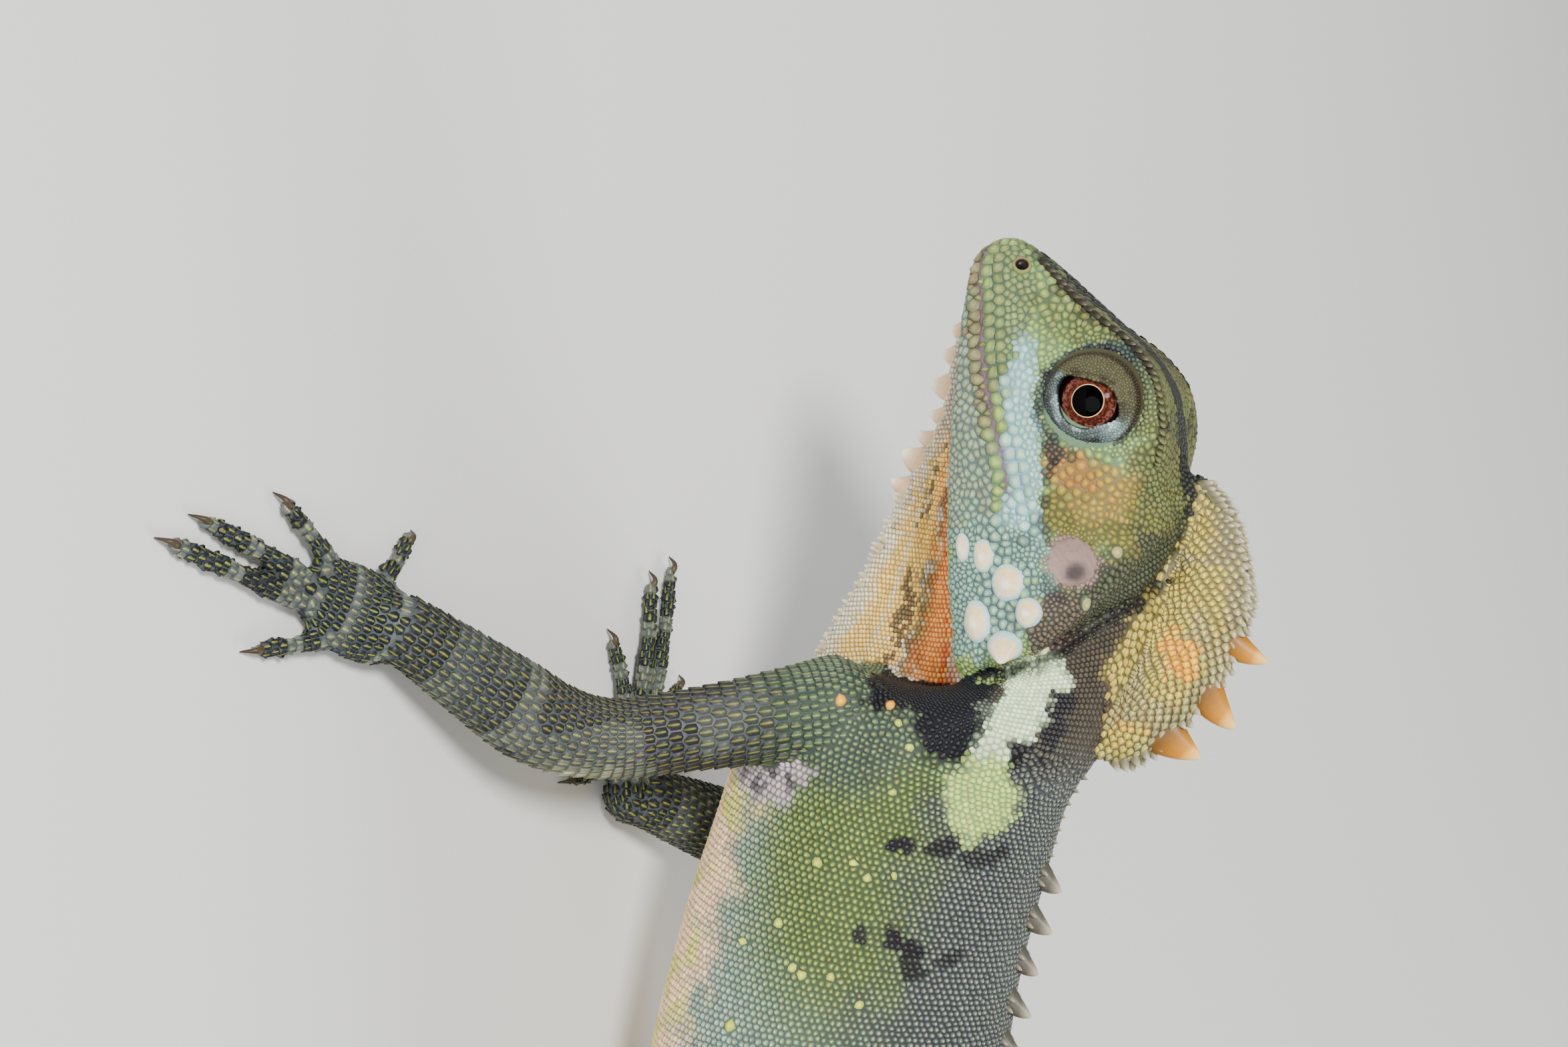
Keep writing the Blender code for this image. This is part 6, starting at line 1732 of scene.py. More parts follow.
def scale_mesh(places, normals, sizes, reach, ahead, around, forms, colours, roots):
    """Points, triangles, colours and unwrap of a set of scales."""
    count = len(places)
    angles = turns_of(SCALE_SIDES)
    directions = (np.cos(angles)[None, :, None] * ahead[:, None]
                  + np.sin(angles)[None, :, None] * around[:, None])
    shoulder, rise, front_rise, rear_rise, tilt, front, rear, overlap, fade = forms.T
    reach = reach.copy()
    reach[:, 0] *= overlap
    size = sizes[:, None, None]
    up = normals[:, None, :]
    base = places[:, None] + directions * reach[:, :, None] * 0.985 - up * size * 0.16
    lift = rise[:, None] * sizes[:, None] + tilt[:, None] * reach * np.cos(angles)[None, :]
    top = places[:, None] + directions * (reach * shoulder[:, None])[:, :, None] + up * lift[:, :, None]
    head = places - ahead * (front * reach[:, SCALE_SIDES // 2])[:, None]
    head = head + normals * (front_rise * sizes)[:, None]
    tail = places + ahead * (rear * reach[:, 0])[:, None] + normals * (rear_rise * sizes)[:, None]
    points = np.concatenate([base, top, head[:, None], tail[:, None]], axis=1).reshape(-1, 3)
    points[:, 2] = np.maximum(points[:, 2], FLOOR_CLEARANCE)
    faces = (np.arange(count)[:, None, None] * (2 * SCALE_SIDES + 2) + scale_pattern()[None]).reshape(-1, 3)
    paint = np.repeat(colours[:, 0][:, None], 2 * SCALE_SIDES + 2, axis=1)
    paint[:, SCALE_SIDES:] = colours[:, 1][:, None]
    tips = np.ones((count, 2 * SCALE_SIDES + 2, 4))
    tips[:, :, :3] = colours[:, 2][:, None]
    tips[:, :2 * SCALE_SIDES, 3] = fade[:, None]
    fan = np.stack([np.cos(angles), np.sin(angles)], axis=1) * BAKE_PATCH / 2
    keel = np.array([[-0.2, 0.0], [0.2, 0.0]]) * BAKE_PATCH
    patch = np.concatenate([roots[:, None] + fan[None], roots[:, None] + fan[None] * 0.7,
                            roots[:, None] + keel[None]], axis=1)
    return points, faces, paint.reshape(-1, 3), patch.reshape(-1, 2), tips.reshape(-1, 4)


def atlas(chart, along, around):
    """Place on the unwrap: each chart has its own rectangle."""
    boxes = {"head": (0.01, 0.01, 0.46, 0.46), "torso": (0.01, 0.50, 0.46, 0.48),
             "tail": (0.50, 0.78, 0.48, 0.20), "neck": (0.50, 0.56, 0.48, 0.20),
             "dewlap": (0.50, 0.42, 0.22, 0.12), "crest": (0.75, 0.42, 0.23, 0.12)}
    digit = 0
    for number, (limb, _, _, paw, _, _, digits, _) in enumerate(LIMBS):
        boxes[limb] = (0.50 + 0.12 * number, 0.27, 0.11, 0.13)
        boxes[paw] = (0.50 + 0.12 * number, 0.18, 0.11, 0.08)
        for finger in range(len(digits)):
            boxes[f"{paw}_digit_{finger}"] = (0.50 + 0.024 * digit, 0.01, 0.021, 0.15)
            digit += 1
    table = np.array([boxes[name] for name in CHART_NAMES])[chart]
    return np.stack([table[:, 0] + along * table[:, 2], table[:, 1] + around * table[:, 3]], axis=1)


def store_unwrap(item, patch):
    """Store the place of each point on the unwrap."""
    layer = item.data.uv_layers.new(name="OFBake")
    corners = np.empty(len(item.data.loops), np.int32)
    item.data.loops.foreach_get("vertex_index", corners)
    layer.data.foreach_set("uv", patch[corners].astype(np.float32).ravel())


PIECE_OF = {"head": "scales_head", "lids": "scales_lids", "neck": "scales_neck",
            "torso": "scales_trunk", "singles": "scales_trunk", "tail": "scales_tail",
            "dewlap": "scales_dewlap", "crest": "scales_crest"}
SLOT_OF = {"scales_head": "head_skin", "scales_lids": "head_skin", "scales_neck": "neck_skin",
           "scales_trunk": "trunk_skin", "scales_tail": "tail_skin", "scales_dewlap": "dewlap_skin",
           "scales_crest": "crest_skin", "scales_limbs": "limb_skin", "scales_paws": "paw_skin"}


def piece_label(name):
    """Name of the joined piece that a group's scales belong to."""
    return PIECE_OF.get(name, "scales_paws" if "hand" in name or "foot" in name else "scales_limbs")


def scale_stretch(places, names):
    """How much longer than wide each scale is."""
    x, w, h = body_of(places)
    on_head = names == "head"
    stretch = np.where(on_head, ZONE_STRETCH[head_zone(x, w, h)], 1.0)
    return np.where(on_head & (np.abs(h - mouth_line(x)) < 1.6) & (x < 0.0), 1.2, stretch)


def scale_colours(places, names, lookup, draw):
    """Gap, body and tip colours of every scale, each a little off its neighbours'."""
    colours = colours_at(places + draw.normal(0.0, 0.22, places.shape), lookup)
    x, _, h = body_of(places)
    on_lid = names == "lids"
    colours[on_lid] = lid_colours(x[on_lid], h[on_lid])
    single = names == "singles"
    colours[single] = np.where((x[single] < 18.5)[:, None, None], TONES["crest_gold"], TONES["yellow"])
    shade = 0.11 * draw.standard_normal((len(places), 1, 1))
    hue = 0.035 * draw.standard_normal((len(places), 1, 3))
    return np.clip(colours * np.clip(1 + shade + hue, 0.7, 1.35), 0, 1)


def scale_pieces(names, columns, material):
    """The scales as joined pieces by the part of the body, none with too many scales."""
    labels = np.array([piece_label(name) for name in names])
    pieces = []
    for label in dict.fromkeys(labels):
        chosen = np.nonzero(labels == label)[0]
        parts = math.ceil(len(chosen) / PIECE_LIMIT)
        for number, part in enumerate(np.array_split(chosen, parts)):
            name = label if parts == 1 else f"{label}_{number + 1}"
            points, faces, paint, patch, tips = scale_mesh(*(column[part] for column in columns))
            item = mesh_object(name, points, faces, paint, material)
            store_unwrap(item, patch)
            store_colours(item.data, tips[:, :3], "tip", tips[:, 3])
            pieces.append(item)
    return pieces


def make_scales(skin, lids, material):
    """Every scale as solid mesh in a few joined pieces."""
    draw = np.random.default_rng(SEED)
    lookup_tree, tables = chart_lookup()
    tree = surface_tree([skin] + lids)
    groups = all_seeds(tree, skin, lids, lookup_tree, tables, draw)
    placed = settled(groups, tree, lookup_tree, tables)
    places, normals, sizes, names = filled(skin, placed, lookup_tree, tables, draw)
    found = nearest_in(lookup_tree, places)
    chart, along, around, lie = (table[found] for table in tables)
    on_head = np.isin(names, ("head", "lids"))
    chart = np.where(on_head, CHART_NAMES.index("head"), chart)
    lie = np.where(on_head[:, None], np.array([1.0, 0.0, 0.1]), lie)
    lie = unit(lie - normals * np.einsum("nc,nc->n", lie, normals)[:, None] + 1e-6)
    stretch = scale_stretch(places, names)
    reach, ahead, across = scale_outline(places, normals, lie, sizes, stretch, wall_points())
    colours = scale_colours(places, names, (chart, along, around), draw)
    x, _, h = body_of(places)
    forms = np.array([SCALE_FORMS[form_of(*row)] for row in zip(names, x, h)])
    columns = (places, normals, sizes, reach, ahead, across, forms, colours, atlas(chart, along, around))
    return scale_pieces(names, columns, material)


LIP_SKIN_TONE = (128, 96, 122)


def colour_skin(skin):
    """Give the skin the gaps' colours, so that it shows the same markings between the scales."""
    lookup_tree, tables = chart_lookup()
    points = coordinates(skin.data)
    found = nearest_in(lookup_tree, points)
    chart, along, around, _ = (table[found] for table in tables)
    colours = colours_at(points, (chart, along, around))
    x, w, h = body_of(points)
    ear = (1 - ramp(2.3, 2.9, ear_distance(x, h))) * (np.abs(w) > EAR_SIDE_W) * (x < 9)
    rings = 0.5 + 0.5 * np.sin(ear_distance(x - 0.5, h) * 11 + noise_flat(x, h, 0.8) * 5)
    share = 0.15 + (0.6 + 0.45 * rings) * ear
    base = colours[:, 0] + (colours[:, 1] - colours[:, 0]) * share[:, None]
    mouth = (1 - ramp(0.16, 0.34, np.abs(h - mouth_line(x)))) * (x < MOUTH_END_X) * (np.abs(w) > 0.5)
    store_colours(skin.data, mixed(base, LIP_SKIN_TONE, mouth * 0.9))


# Eyes


EYE_SIDES = 96
EYE_FINE_REACH = 3.5
# The pupil and the thin bright rim round it: where the edge starts and ends, and the tone
PUPIL = (1.49, 1.53, (3, 3, 4))
PUPIL_RIM = (1.55, 1.60, (240, 198, 144))
# The dark limbus, in two steps outwards
LIMBUS = ((2.52, 2.66, (30, 14, 13)), (2.9, 3.3, (18, 13, 15)))
# Ground, flecks and outer flecks of the iris
IRIS_TONES = ((70, 33, 25), (112, 64, 50), (136, 90, 76))


def eye_colours(points, reach, front):
    """Pupil, flecked iris and limbus by the distance from the eye's axis."""
    fleck = noise(points, 0.16, 21)
    colours = mixed(linear(IRIS_TONES[0]), IRIS_TONES[1], ramp(0.35, 0.8, fleck))
    colours = mixed(colours, IRIS_TONES[2], ramp(1.9, 2.5, reach) * ramp(0.30, 0.65, fleck))
    for start, end, tone in LIMBUS:
        colours = mixed(colours, tone, ramp(start, end, reach))
    start, end, tone = PUPIL_RIM
    colours = mixed(colours, tone, 1 - ramp(start, end, reach))
    start, end, tone = PUPIL
    return mixed(colours, tone, (1 - ramp(start, end, reach)) * front)


def make_eye(name, side, material):
    """An eyeball with rings of points close enough for the pupil's and the iris's edges."""
    centre = place(EYE_PLACE[0], EYE_DEPTH_W * side, EYE_PLACE[1])
    outward = body_way(side, 0.0)
    upward = body_way(0.0, 1.0)
    forward = np.cross(outward, upward)
    turns = turns_of(EYE_SIDES)
    circle = np.cos(turns)[:, None] * forward + np.sin(turns)[:, None] * upward
    fine = np.arcsin(np.linspace(0.02, EYE_FINE_REACH, 110) / EYE_RADIUS)
    polar = np.concatenate([fine, np.linspace(fine[-1] + 0.05, np.pi - 0.02, 30)])
    grid = np.array([centre + EYE_RADIUS * (outward * np.cos(p) + np.sin(p) * circle) for p in polar])
    points, faces = closed_grid(grid)
    reach = np.concatenate([np.repeat(EYE_RADIUS * np.sin(polar), EYE_SIDES), [0.0, 0.0]])
    front = np.concatenate([np.repeat(np.cos(polar), EYE_SIDES), [1.0, -1.0]]) > 0
    return turned_out(mesh_object(name, points, faces, eye_colours(points, reach, front), material))


# Spines, plates, claws


# Share of a horn's height where its body's tone is full, and rows and sides of a small horn
HORN_BODY = 0.6
SMALL_HORN = (4, 8)


def horn_tone(tones, share):
    """Colour of a horn at a share of its height: root, then body, then tip."""
    root, body, tip = linear(tones)
    if share < HORN_BODY:
        return root * (1 - share) + body * share
    rest = (share - HORN_BODY) / (1 - HORN_BODY)
    return body * (1 - rest) + tip * rest


def horn(start, end, tip, half_width, sink, tones, rows=7, sides=12, hook=0.0):
    """A curved, flattened cone as points, triangles and colours, from its sunk root to its tip."""
    start, end, tip = (np.asarray(p, float) for p in (start, end, tip))
    centre = (start + end) / 2
    along = (end - start) / 2
    rise = tip - centre
    across = unit(np.cross(along, rise)) * half_width
    angles = turns_of(sides)
    oval = np.cos(angles)[:, None] * along + np.sin(angles)[:, None] * across
    rings = [centre - unit(rise) * sink + oval * 1.06]
    paint = [linear(tones[0])]
    for share in np.linspace(0.0, 1.0, rows)[:-1]:
        width = (1 - share)**0.72
        bow = hook * np.sin(np.pi * share) * unit(along)
        rings.append(centre + rise * share - bow + oval * width)
        paint.append(horn_tone(tones, share))
    points = np.vstack([np.vstack(rings), tip[None]])
    faces = cone_faces(len(rings), sides)
    colours = np.vstack([np.repeat(np.array(paint), sides, axis=0), linear(tones[2])[None]])
    out = points[faces].mean(axis=1) - points.mean(axis=0)
    if np.einsum("nc,nc->n", face_ways(points, faces), out).sum() < 0:
        faces = faces[:, ::-1]
    return points, faces, colours


def joined(name, shapes, material):
    """One object from many shapes, each with points, triangles and colours."""
    points, faces, colours = [], [], []
    count = 0
    for shape in shapes:
        points.append(shape[0])
        faces.append(shape[1] + count)
        colours.append(shape[2])
        count += len(shape[0])
    return mesh_object(name, np.vstack(points), np.vstack(faces), np.vstack(colours), material)


BACK_TONES = ((80, 78, 70), (116, 108, 94), (196, 188, 164))
CREST_TONES = ((124, 88, 40), (242, 166, 40), (252, 224, 150))
DEWLAP_TONES = ((216, 184, 146), (250, 234, 202), (250, 250, 250))
TOOTH_TONES = ((120, 116, 90), (176, 168, 140), (226, 220, 200))
FRINGE_TONES = ((190, 178, 142), (226, 216, 184), (246, 240, 222))
RIDGE_TONES = ((44, 40, 32), (82, 76, 58), (132, 124, 104))
BROW_TONES = ((66, 68, 46), (104, 106, 68), (134, 132, 86))


def back_spines():
    """The spines along the back, with small scales beside each and low ones before the first."""
    draw = np.random.default_rng(SEED + 1)
    rows = np.array([trunk_row(share)[2:4] for share in np.linspace(0, 1, 240)])
    shapes = []
    for number in range(BACK_SPINE_COUNT):
        x = BACK_SPINE_START_X + BACK_SPINE_SPACING * number
        fade = 1 - 0.45 * number / BACK_SPINE_COUNT
        rise = BACK_SPINE_RISE * fade * draw.uniform(0.92, 1.08)
        h = np.interp(x, rows[:, 0], rows[:, 1])
        slope = np.interp(x + 1.0, rows[:, 0], rows[:, 1]) - h
        half = 1.6 * fade
        start = place(x - 2 * half, 0.0, h - 2 * half * slope - 0.3)
        end = place(x, 0.0, h - 0.3)
        tip = place(x + 0.15, 0.0, h + rise)
        shapes.append(horn(start, end, tip, 1.0 * fade, 0.8, BACK_TONES, hook=-0.12))
        for w, back, size in ((0.95, 1.1, 0.55), (-0.95, 1.1, 0.55), (0.8, 2.2, 0.5), (-0.8, 2.2, 0.5)):
            spot = x - 2 * half + back
            foot = h - (x - spot) * slope - 0.35
            tip = place(spot + 0.5, w * 1.25, foot + size + 0.35)
            shapes.append(horn(place(spot - 0.6, w, foot), place(spot + 0.5, w, foot), tip, 0.42, 0.5,
                               BACK_TONES, *SMALL_HORN))
    for x in np.arange(25.0, BACK_SPINE_START_X - 2.4, 1.3):
        h = np.interp(x, rows[:, 0], rows[:, 1])
        slope = np.interp(x + 1.0, rows[:, 0], rows[:, 1]) - h
        shapes.append(horn(place(x - 0.6, 0.0, h + 0.6 * slope - 0.35), place(x + 0.4, 0.0, h - 0.4),
                           place(x + 0.4, 0.0, h + 0.45), 0.35, 0.5, BACK_TONES, *SMALL_HORN))
    return shapes


def tail_spines():
    """The spines along the first third of the tail."""
    shapes = []
    for s in np.linspace(TAIL_START + 2.0, 236.0, TAIL_SPINE_COUNT):
        back = tail_row(s)[1]
        rise = 1.4 - 0.9 * (s - TAIL_START) / 114.0
        shapes.append(horn(tail_place(s - 2.2, 0.0, back - 0.3), tail_place(s, 0.0, back - 0.4),
                           tail_place(s + 0.3, 0.0, back + rise), 0.5, 0.6, BACK_TONES, 5, 8))
    return shapes


def crest_spines():
    """The three large spines of the crest and the small teeth along its edge."""
    draw = np.random.default_rng(SEED + 3)
    shapes = []
    for start, end, tip in CREST_SPINES:
        shapes.append(horn(place(start[0], 0.0, start[1] - 0.4), place(end[0], 0.0, end[1] - 0.4),
                           place(tip[0], 0.0, tip[1]), 1.25, 1.3, CREST_TONES, 8, 14, hook=-0.2))
    for share in np.concatenate([np.linspace(0.06, 0.50, 22), np.linspace(0.56, 0.96, 12)]):
        spot = crest_edge(share)
        along = unit(crest_edge(min(share + 0.02, 1)) - crest_edge(share - 0.02)) * 0.55
        out = np.array([-along[1], along[0]]) / 0.55 * draw.uniform(0.45, 0.85)
        for w in (0.0, draw.uniform(0.5, 0.8), -draw.uniform(0.5, 0.8)):
            drop = abs(w) * 0.8
            shapes.append(horn(place(spot[0] - along[0], w, spot[1] - along[1] - 0.2 - drop),
                               place(spot[0] + along[0], w, spot[1] + along[1] - 0.2 - drop),
                               place(spot[0] + out[0] + 0.35, w * 1.3, spot[1] + out[1] - drop), 0.36, 0.5,
                               TOOTH_TONES, *SMALL_HORN))
    return shapes


def dewlap_spines(tree):
    """The long spines of the front edge, and the small ones below them, which are seated on the skin."""
    draw = np.random.default_rng(SEED + 2)
    edges = np.array([dewlap_edge(share) for share in np.linspace(0, 1, 300)])
    shapes = []
    for x, h, length in DEWLAP_SPINES:
        near = np.argmin(np.hypot(edges[:, 0] - x, edges[:, 1] - h))
        spot = edges[near]
        along = unit(edges[min(near + 4, 299)] - edges[max(near - 4, 0)]) * length / 2
        shapes.append(horn(place(spot[0] - along[0], 0.0, spot[1] - along[1] + 0.3),
                           place(spot[0] + along[0], 0.0, spot[1] + along[1] + 0.3),
                           place(x, 0.0, h), 0.8, 0.8, DEWLAP_TONES, 7, 12, hook=-0.12))
    for share in np.linspace(0.50, 0.97, 40):
        spot = dewlap_edge(share)
        along = unit(dewlap_edge(min(share + 0.02, 1)) - dewlap_edge(share - 0.02)) * 0.42
        out = np.array([along[1], -along[0]]) / 0.42 * draw.uniform(0.35, 0.8)
        out *= np.sign(out @ np.array([-1.0, -1.0]))
        w = draw.uniform(-0.5, 0.5)
        root = place(spot[0], 0.0, spot[1])
        seat = np.array(tree.find_nearest(Vector(root))[0]) - root
        start = place(spot[0] - along[0], w, spot[1] - along[1] + 0.3)
        end = place(spot[0] + along[0], w, spot[1] + along[1] + 0.3)
        tip = place(spot[0] + out[0], w, spot[1] + out[1])
        shapes.append(horn(start + seat, end + seat, tip + seat, 0.4, 0.5, FRINGE_TONES, *SMALL_HORN))
    return shapes


def side_hit(tree, x, h, side):
    """Point and normal of the skin at a place on the side of the body."""
    start = place(x, 40.0 * side, h)
    inward = unit(place(x, 0.0, h) - place(x, side, h))
    hit, normal, _, _ = tree.ray_cast(Vector(start), Vector(inward))
    return np.array(hit), np.array(normal)


PLATE_SIDES = 24
# Rings of a plate from its sunk foot inwards: share of its reach, share of its rise and tone
PLATE_RINGS = (
    (1.04, -0.5, 0), (1.0, 0.05, 0), (0.93, 0.28, 0), (0.80, 0.42, 0),
    (0.74, 0.50, 1), (0.58, 0.68, 1), (0.38, 0.86, 1), (0.16, 0.98, 2),
)


def lying(way, normal):
    """The direction along the surface that comes nearest to a way."""
    return unit(np.array(way) - normal * np.dot(way, normal))


def plate_shape(centre, normal, length, width, rise, tones, peak_back):
    """A low oval dome with a rim, as points, triangles and colours."""
    along = lying((1.0, 0.0, 0.1), normal)
    across = np.cross(normal, along)
    angles = turns_of(PLATE_SIDES)
    wobble = 1 + 0.03 * np.sin(3 * angles + length) + 0.02 * np.sin(5 * angles + width * 3)
    oval = (np.cos(angles)[:, None] * along * length + np.sin(angles)[:, None] * across * width) / 2
    oval = oval * wobble[:, None]
    warmth = 0.5 * ramp(-0.2, 0.8, np.cos(angles - 2.6)) + 0.1 * np.sin(angles * 7 + length)
    rings, paint = [], []
    for share, up, tone in PLATE_RINGS:
        height = rise * up if up > 0 else up
        rings.append(centre + oval * share + normal * height + along * peak_back * max(up, 0)**2)
        warm = linear(tones[-1]) - linear(tones[tone])
        paint.append(linear(tones[tone]) + warm * warmth[:, None] * (tone > 0))
    tip = centre + normal * rise + along * peak_back
    points = np.vstack([np.vstack(rings), tip[None]])
    colours = np.clip(np.vstack(paint + [linear(tones[2])[None]]), 0, 1)
    return points, cone_faces(len(rings), PLATE_SIDES), colours


# rim, body, middle and warm side
PLATE_TONES = ((192, 214, 212), (242, 228, 190), (252, 246, 228), (240, 200, 132))
TEMPLE_PLATE_TONES = ((96, 104, 84), (170, 168, 110), (196, 190, 130), (180, 160, 100))


def jowl_plates(tree):
    """The pale plates on the jowl and the smaller ones on the temple."""
    shapes = []
    for side in (1, -1):
        for x, h, width, length, rise in JOWL_PLATES:
            point, normal = side_hit(tree, x, h, side)
            tones = TEMPLE_PLATE_TONES if h > 52.0 else PLATE_TONES
            shapes.append(plate_shape(point, normal, length, width, rise, tones, 1.3 if rise > 1.2 else 0.0))
    return shapes


def ridge_plates():
    """Keeled dark scales on the ridge from the snout over the brow."""
    shapes = []
    draw = np.random.default_rng(SEED + 6)
    row = HEAD_LOW_STEPS + 2 + round(HEAD_HIGH_STEPS * 3 / 5)
    for side in (1, -1):
        for x in np.linspace(-25.6, -5.0, 30):
            half = head_half_ring(x)[row]
            along = x + jaw_sweep(x, half[1])
            point = place(along, half[0] * side, half[1])
            ahead = along < -14.0
            size = (0.95 if ahead else 0.75) * draw.uniform(0.75, 1.2)
            out = body_way(side, 1.2)
            way = unit(np.array([1.0, 0.0, 0.8 if x < -14 else 0.1]))
            start, end = point - way * size / 2, point + way * size / 2
            tip = point + out * (0.32 if ahead else 0.18) + way * size * 0.35
            shapes.append(horn(start, end, tip, 0.42, 0.3, RIDGE_TONES if ahead else BROW_TONES, *SMALL_HORN))
    return shapes


RIM_SIDES = 28
# Rings of a nostril from its foot over the rim into the pit: share of the reach, height and tone; the pit is
# shallow and its near-black tones are painted shade of the opening
NOSTRIL_RINGS = (
    (1.0, -0.4, (100, 112, 78)), (0.97, 0.10, (126, 134, 88)), (0.84, 0.40, (142, 146, 92)),
    (0.70, 0.46, (132, 128, 84)), (0.62, 0.36, (92, 66, 52)), (0.55, 0.20, (52, 26, 22)),
    (0.50, 0.08, (20, 10, 9)), (0.02, 0.05, (10, 6, 5)),
)


def nostril_rims(tree):
    """A raised ring at each nostril, with a shallow pit painted near black as the shade of its opening."""
    shapes = []
    for side in (1, -1):
        point, normal = side_hit(tree, NOSTRIL_PLACE[0], NOSTRIL_PLACE[1], side)
        along = lying((1.0, 0.0, 0.6), normal)
        across = np.cross(normal, along)
        angles = turns_of(RIM_SIDES)
        oval = np.cos(angles)[:, None] * along * 1.1 + np.sin(angles)[:, None] * across
        grid = np.array([point + oval * reach + normal * up for reach, up, _ in NOSTRIL_RINGS])
        paint = linear([tone for _, _, tone in NOSTRIL_RINGS])
        quads = grid_faces(len(grid), RIM_SIDES)
        faces = np.vstack([quads[:, [0, 1, 2]], quads[:, [0, 2, 3]]])
        shapes.append((grid.reshape(-1, 3), faces, np.repeat(paint, RIM_SIDES, axis=0)))
    return shapes


def claw_line(line):
    """The middle line of one claw, curved down to the floor, and the share of each of its points."""
    shares = np.linspace(0, 1, 9)
    ahead = unit(line[-1] - line[-2]) * np.array([1.0, 1.0, 0.0])
    path = []
    for t in shares:
        rise = 0.25 + 0.75 * math.sin(math.pi * min(t * 1.15, 1)) * 0.55 - 0.75 * t**2
        path.append(line[-1] + ahead * (-0.7 + (CLAW_LENGTH + 0.7) * t) + np.array([0.0, 0.0, rise]))
    path = np.array(path)
    path[:, 2] = np.maximum(path[:, 2], 0.14)
    return path, shares


def claws():
    """A claw at the end of every digit."""
    shapes = []
    for _, joints, _, _, heading, side, digits, _ in LIMBS:
        for digit in digits:
            path, shares = claw_line(digit_line(joints, heading, side, digit)[0])
            radii = CLAW_RADIUS * (1 - 0.90 * shares**1.3)
            points, quads = closed_grid(tube_rings(path, radii, CLAW_SIDES))
            faces = []
            for face in quads:
                faces.append(face[:3])
                if len(face) == 4:
                    faces.append((face[0], face[2], face[3]))
            tone = mixed(linear(CLAW_TONES[0]), CLAW_TONES[1], shares)
            colours = np.vstack([np.repeat(tone, CLAW_SIDES, axis=0), tone[:1], tone[-1:]])
            shapes.append((points, np.array(faces), colours))
    return shapes


# Materials, light and camera


# The tip's tone starts and is full at these values of the tip
TIP_START = 0.70
TIP_FULL = 0.89
GRAIN_DARK = 0.80
GRAIN_LIGHT = 1.16
GRAIN_DEPTH = 0.00005


def with_tips(nodes, links, paint):
    """Lay the scales' tip tone over the paint where the tip's value is high."""
    tip = nodes.new("ShaderNodeAttribute")
    tip.attribute_name = "tip"
    edge = nodes.new("ShaderNodeMapRange")
    edge.inputs["From Min"].default_value = TIP_START
    edge.inputs["From Max"].default_value = TIP_FULL
    links.new(tip.outputs["Alpha"], edge.inputs["Value"])
    blend = nodes.new("ShaderNodeMix")
    blend.data_type = "RGBA"
    links.new(edge.outputs["Result"], blend.inputs["Factor"])
    links.new(paint, blend.inputs["A"])
    links.new(tip.outputs["Color"], blend.inputs["B"])
    return blend.outputs["Result"]


def with_grain(nodes, links, paint, strength, scale):
    """Vary the paint by a fine grain that also stands out from the surface."""
    where = nodes.new("ShaderNodeTexCoord")
    grain = nodes.new("ShaderNodeTexNoise")
    grain.inputs["Scale"].default_value = scale
    grain.inputs["Detail"].default_value = 3.0
    links.new(where.outputs["Object"], grain.inputs["Vector"])
    shade = nodes.new("ShaderNodeMapRange")
    shade.inputs["To Min"].default_value = GRAIN_DARK
    shade.inputs["To Max"].default_value = GRAIN_LIGHT
    links.new(grain.outputs["Fac"], shade.inputs["Value"])
    mix = nodes.new("ShaderNodeVectorMath")
    mix.operation = "SCALE"
    links.new(paint, mix.inputs[0])
    links.new(shade.outputs["Result"], mix.inputs["Scale"])
    relief = nodes.new("ShaderNodeBump")
    relief.inputs["Strength"].default_value = strength
    relief.inputs["Distance"].default_value = GRAIN_DEPTH
    links.new(grain.outputs["Fac"], relief.inputs["Height"])
    links.new(relief.outputs["Normal"], nodes["Principled BSDF"].inputs["Normal"])
    return mix.outputs["Vector"]


def principled(name, roughness, specular=0.25, bump=0.0, bump_scale=3000.0, tips=False):
    """A material that takes its colour from the mesh's marking, with sharp tips and a fine grain."""
    material = bpy.data.materials.new(name)
    material.use_nodes = True
    nodes, links = material.node_tree.nodes, material.node_tree.links
    shader = nodes["Principled BSDF"]
    shader.inputs["Roughness"].default_value = roughness
    shader.inputs["Specular IOR Level"].default_value = specular
    colour = nodes.new("ShaderNodeAttribute")
    colour.attribute_name = "marking"
    paint = colour.outputs["Color"]
    if tips:
        paint = with_tips(nodes, links, paint)
    if bump:
        paint = with_grain(nodes, links, paint, bump, bump_scale)
    links.new(paint, shader.inputs["Base Color"])
    return material


FLOOR_REACH = 3.0
FLOOR_COLOUR = (0.78, 0.77, 0.74, 1.0)


def make_floor():
    """The pale floor that the animal stands on."""
    mesh = bpy.data.meshes.new("floor")
    corners = [(x * FLOOR_REACH, y * FLOOR_REACH, 0) for x, y in ((-1, -1), (1, -1), (1, 1), (-1, 1))]
    mesh.from_pydata(corners, [], [(0, 1, 2, 3)])
    floor = bpy.data.objects.new("floor", mesh)
    bpy.context.scene.collection.objects.link(floor)
    material = bpy.data.materials.new("floor")
    material.use_nodes = True
    shader = material.node_tree.nodes["Principled BSDF"]
    shader.inputs["Base Color"].default_value = FLOOR_COLOUR
    shader.inputs["Roughness"].default_value = 0.7
    mesh.materials.append(material)


# Studio lights: name, place, target, size and power
LIGHTS = (
    ("key", (-0.45, -0.55, 0.75), (-0.17, 0.0, 0.03), 0.22, 12.5),
    ("fill", (-0.1, -0.9, 0.25), (-0.17, 0.0, 0.03), 0.7, 6.0),
    ("back", (0.4, 0.6, 0.6), (-0.1, 0.0, 0.03), 0.5, 6.0),
)
SKY_COLOUR = (0.93, 0.96, 1.0, 1.0)
SKY_STRENGTH = 0.37


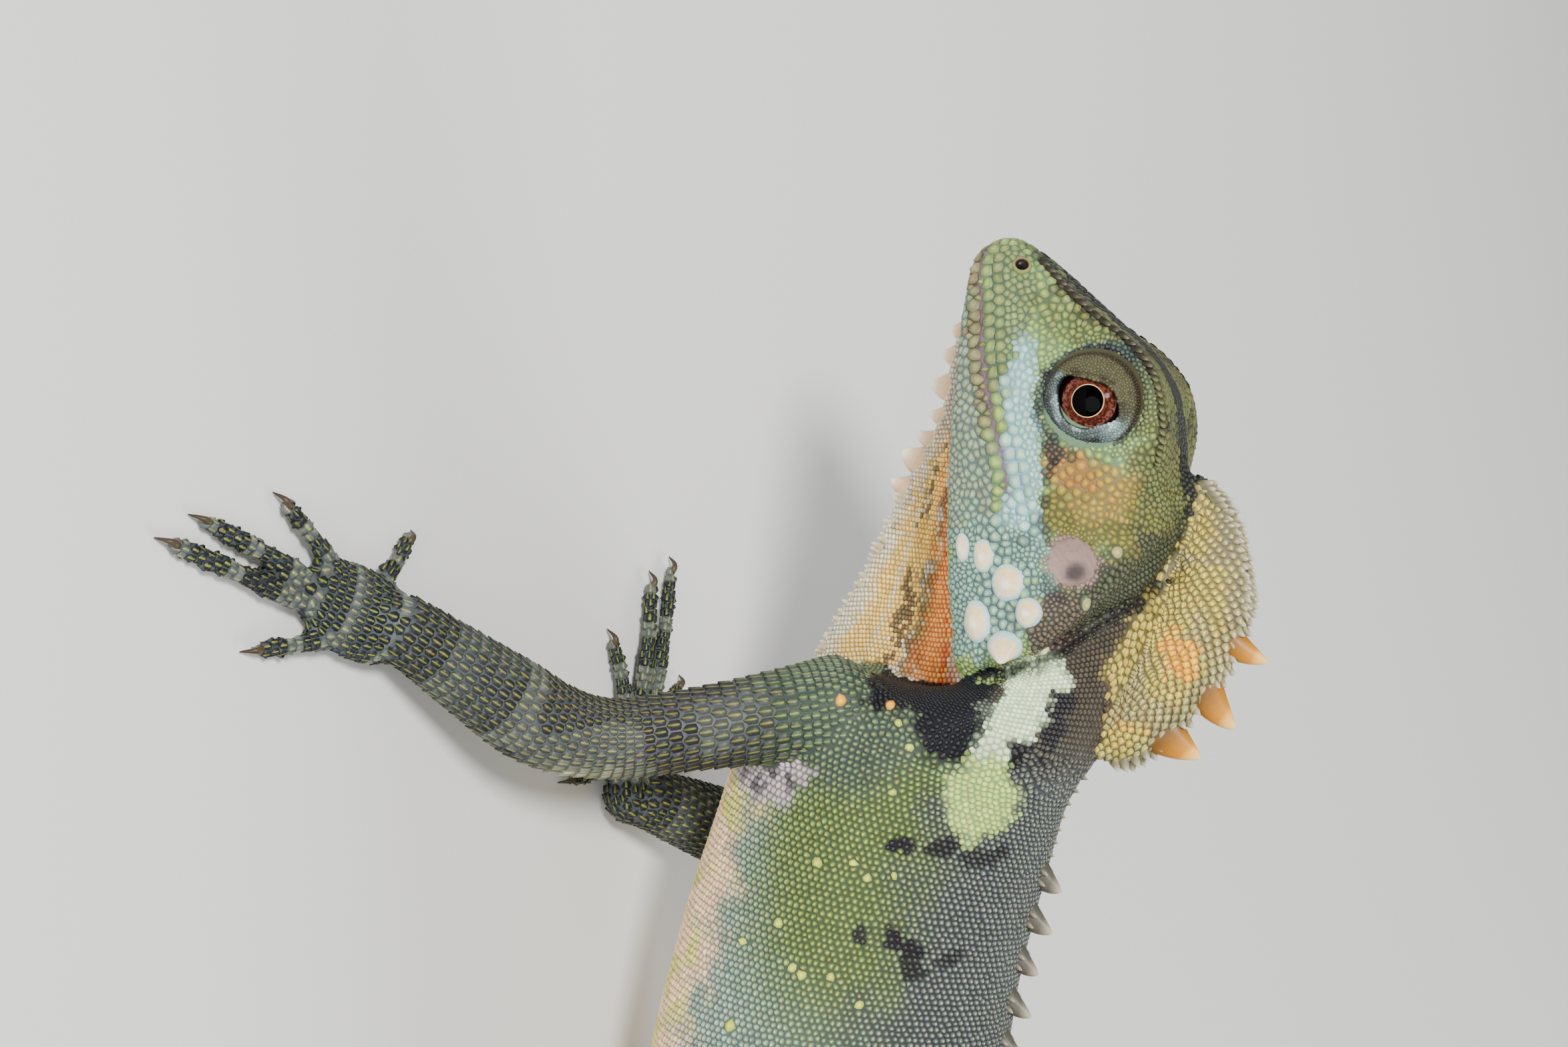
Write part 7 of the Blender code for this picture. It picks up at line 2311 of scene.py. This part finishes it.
def aim(item, spot, target):
    """Set an object at a spot and turn it to a target."""
    item.location = spot
    item.rotation_euler = (Vector(target) - Vector(spot)).to_track_quat("-Z", "Y").to_euler()


def make_light(name, spot, target, size, power):
    """A round area light."""
    light = bpy.data.lights.new(name, "AREA")
    light.shape = "DISK"
    light.size = size
    light.energy = power
    item = bpy.data.objects.new(name, light)
    bpy.context.scene.collection.objects.link(item)
    aim(item, spot, target)


def make_world():
    """A pale even sky."""
    world = bpy.data.worlds.new("studio")
    bpy.context.scene.world = world
    world.use_nodes = True
    back = world.node_tree.nodes["Background"]
    back.inputs["Color"].default_value = SKY_COLOUR
    back.inputs["Strength"].default_value = SKY_STRENGTH


CAMERA_ELEVATION = math.radians(33.0)
CAMERA_DISTANCE = 0.210
CAMERA_TARGET_Z = 0.022
SENSOR_WIDTH = 36.0
# focal length as a share of the frame's width
FOCAL_SHARE = 3074 / 2348


def make_camera():
    """The camera of the photo, which stands on its side so that the head points up in the frame."""
    forward = Vector((0.0, math.cos(CAMERA_ELEVATION), -math.sin(CAMERA_ELEVATION)))
    upward = Vector((-1.0, 0.0, 0.0))
    right = forward.cross(upward)
    target = Vector(SHIFT * MM) + Vector((0.0, 0.0, CAMERA_TARGET_Z))
    lens = bpy.data.cameras.new("camera")
    lens.sensor_width = SENSOR_WIDTH
    lens.lens = FOCAL_SHARE * SENSOR_WIDTH
    lens.clip_start = 0.001
    camera = bpy.data.objects.new("camera", lens)
    bpy.context.scene.collection.objects.link(camera)
    turn = Matrix((right, upward, -forward)).transposed().to_4x4()
    turn.translation = target - forward * CAMERA_DISTANCE
    camera.matrix_world = turn
    bpy.context.scene.camera = camera


# Nodes that the one skin stands for
FLESH_NODES = [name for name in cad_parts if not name.startswith("eye_")]


def body_pieces(hide, coat, horny):
    """Skin, lids, scales and hard parts, each with its slot, and the skin first."""
    skin = make_skin(hide)
    lids = make_lids(hide)
    tree = surface_tree([skin])
    pieces = [(skin, "trunk_skin")] + [(lid, "head_skin") for lid in lids]
    for item in make_scales(skin, lids, coat):
        label = next(name for name in SLOT_OF if item.name.startswith(name))
        pieces.append((item, SLOT_OF[label]))
    for name, shapes, slot in (
            ("back_spines", back_spines(), "trunk_skin"),
            ("tail_spines", tail_spines(), "tail_skin"),
            ("crest_spines", crest_spines(), "crest_skin"),
            ("dewlap_spines", dewlap_spines(tree), "dewlap_skin"),
            ("jowl_plates", jowl_plates(tree), "head_skin"),
            ("brow_scales", ridge_plates(), "head_skin"),
            ("nostrils", nostril_rims(tree), "head_skin"),
            ("claws", claws(), "paw_skin")):
        pieces.append((joined(name, shapes, horny), slot))
    return pieces


def main():
    """Build the animal, then the floor, the lights and the camera."""
    hide = principled("skin", 0.5, bump=0.35)
    coat = principled("coat", 0.42, bump=0.3, tips=True)
    horny = principled("horny", 0.4, bump=0.25, bump_scale=4000.0)
    wet = principled("eye", 0.05, specular=0.12)
    wet.node_tree.nodes["Principled BSDF"].inputs["IOR"].default_value = EYE_IOR
    pieces = body_pieces(hide, coat, horny)
    for item, slot in pieces:
        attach(item, "root")
    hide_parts(*FLESH_NODES)
    for name, node, side in (("eyeball_left", "eye_left", 1), ("eyeball_right", "eye_right", -1)):
        eye = make_eye(name, side, wet)
        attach(eye, "root")
        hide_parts(node)
    make_floor()
    make_world()
    for light in LIGHTS:
        make_light(*light)
    make_camera()


main()
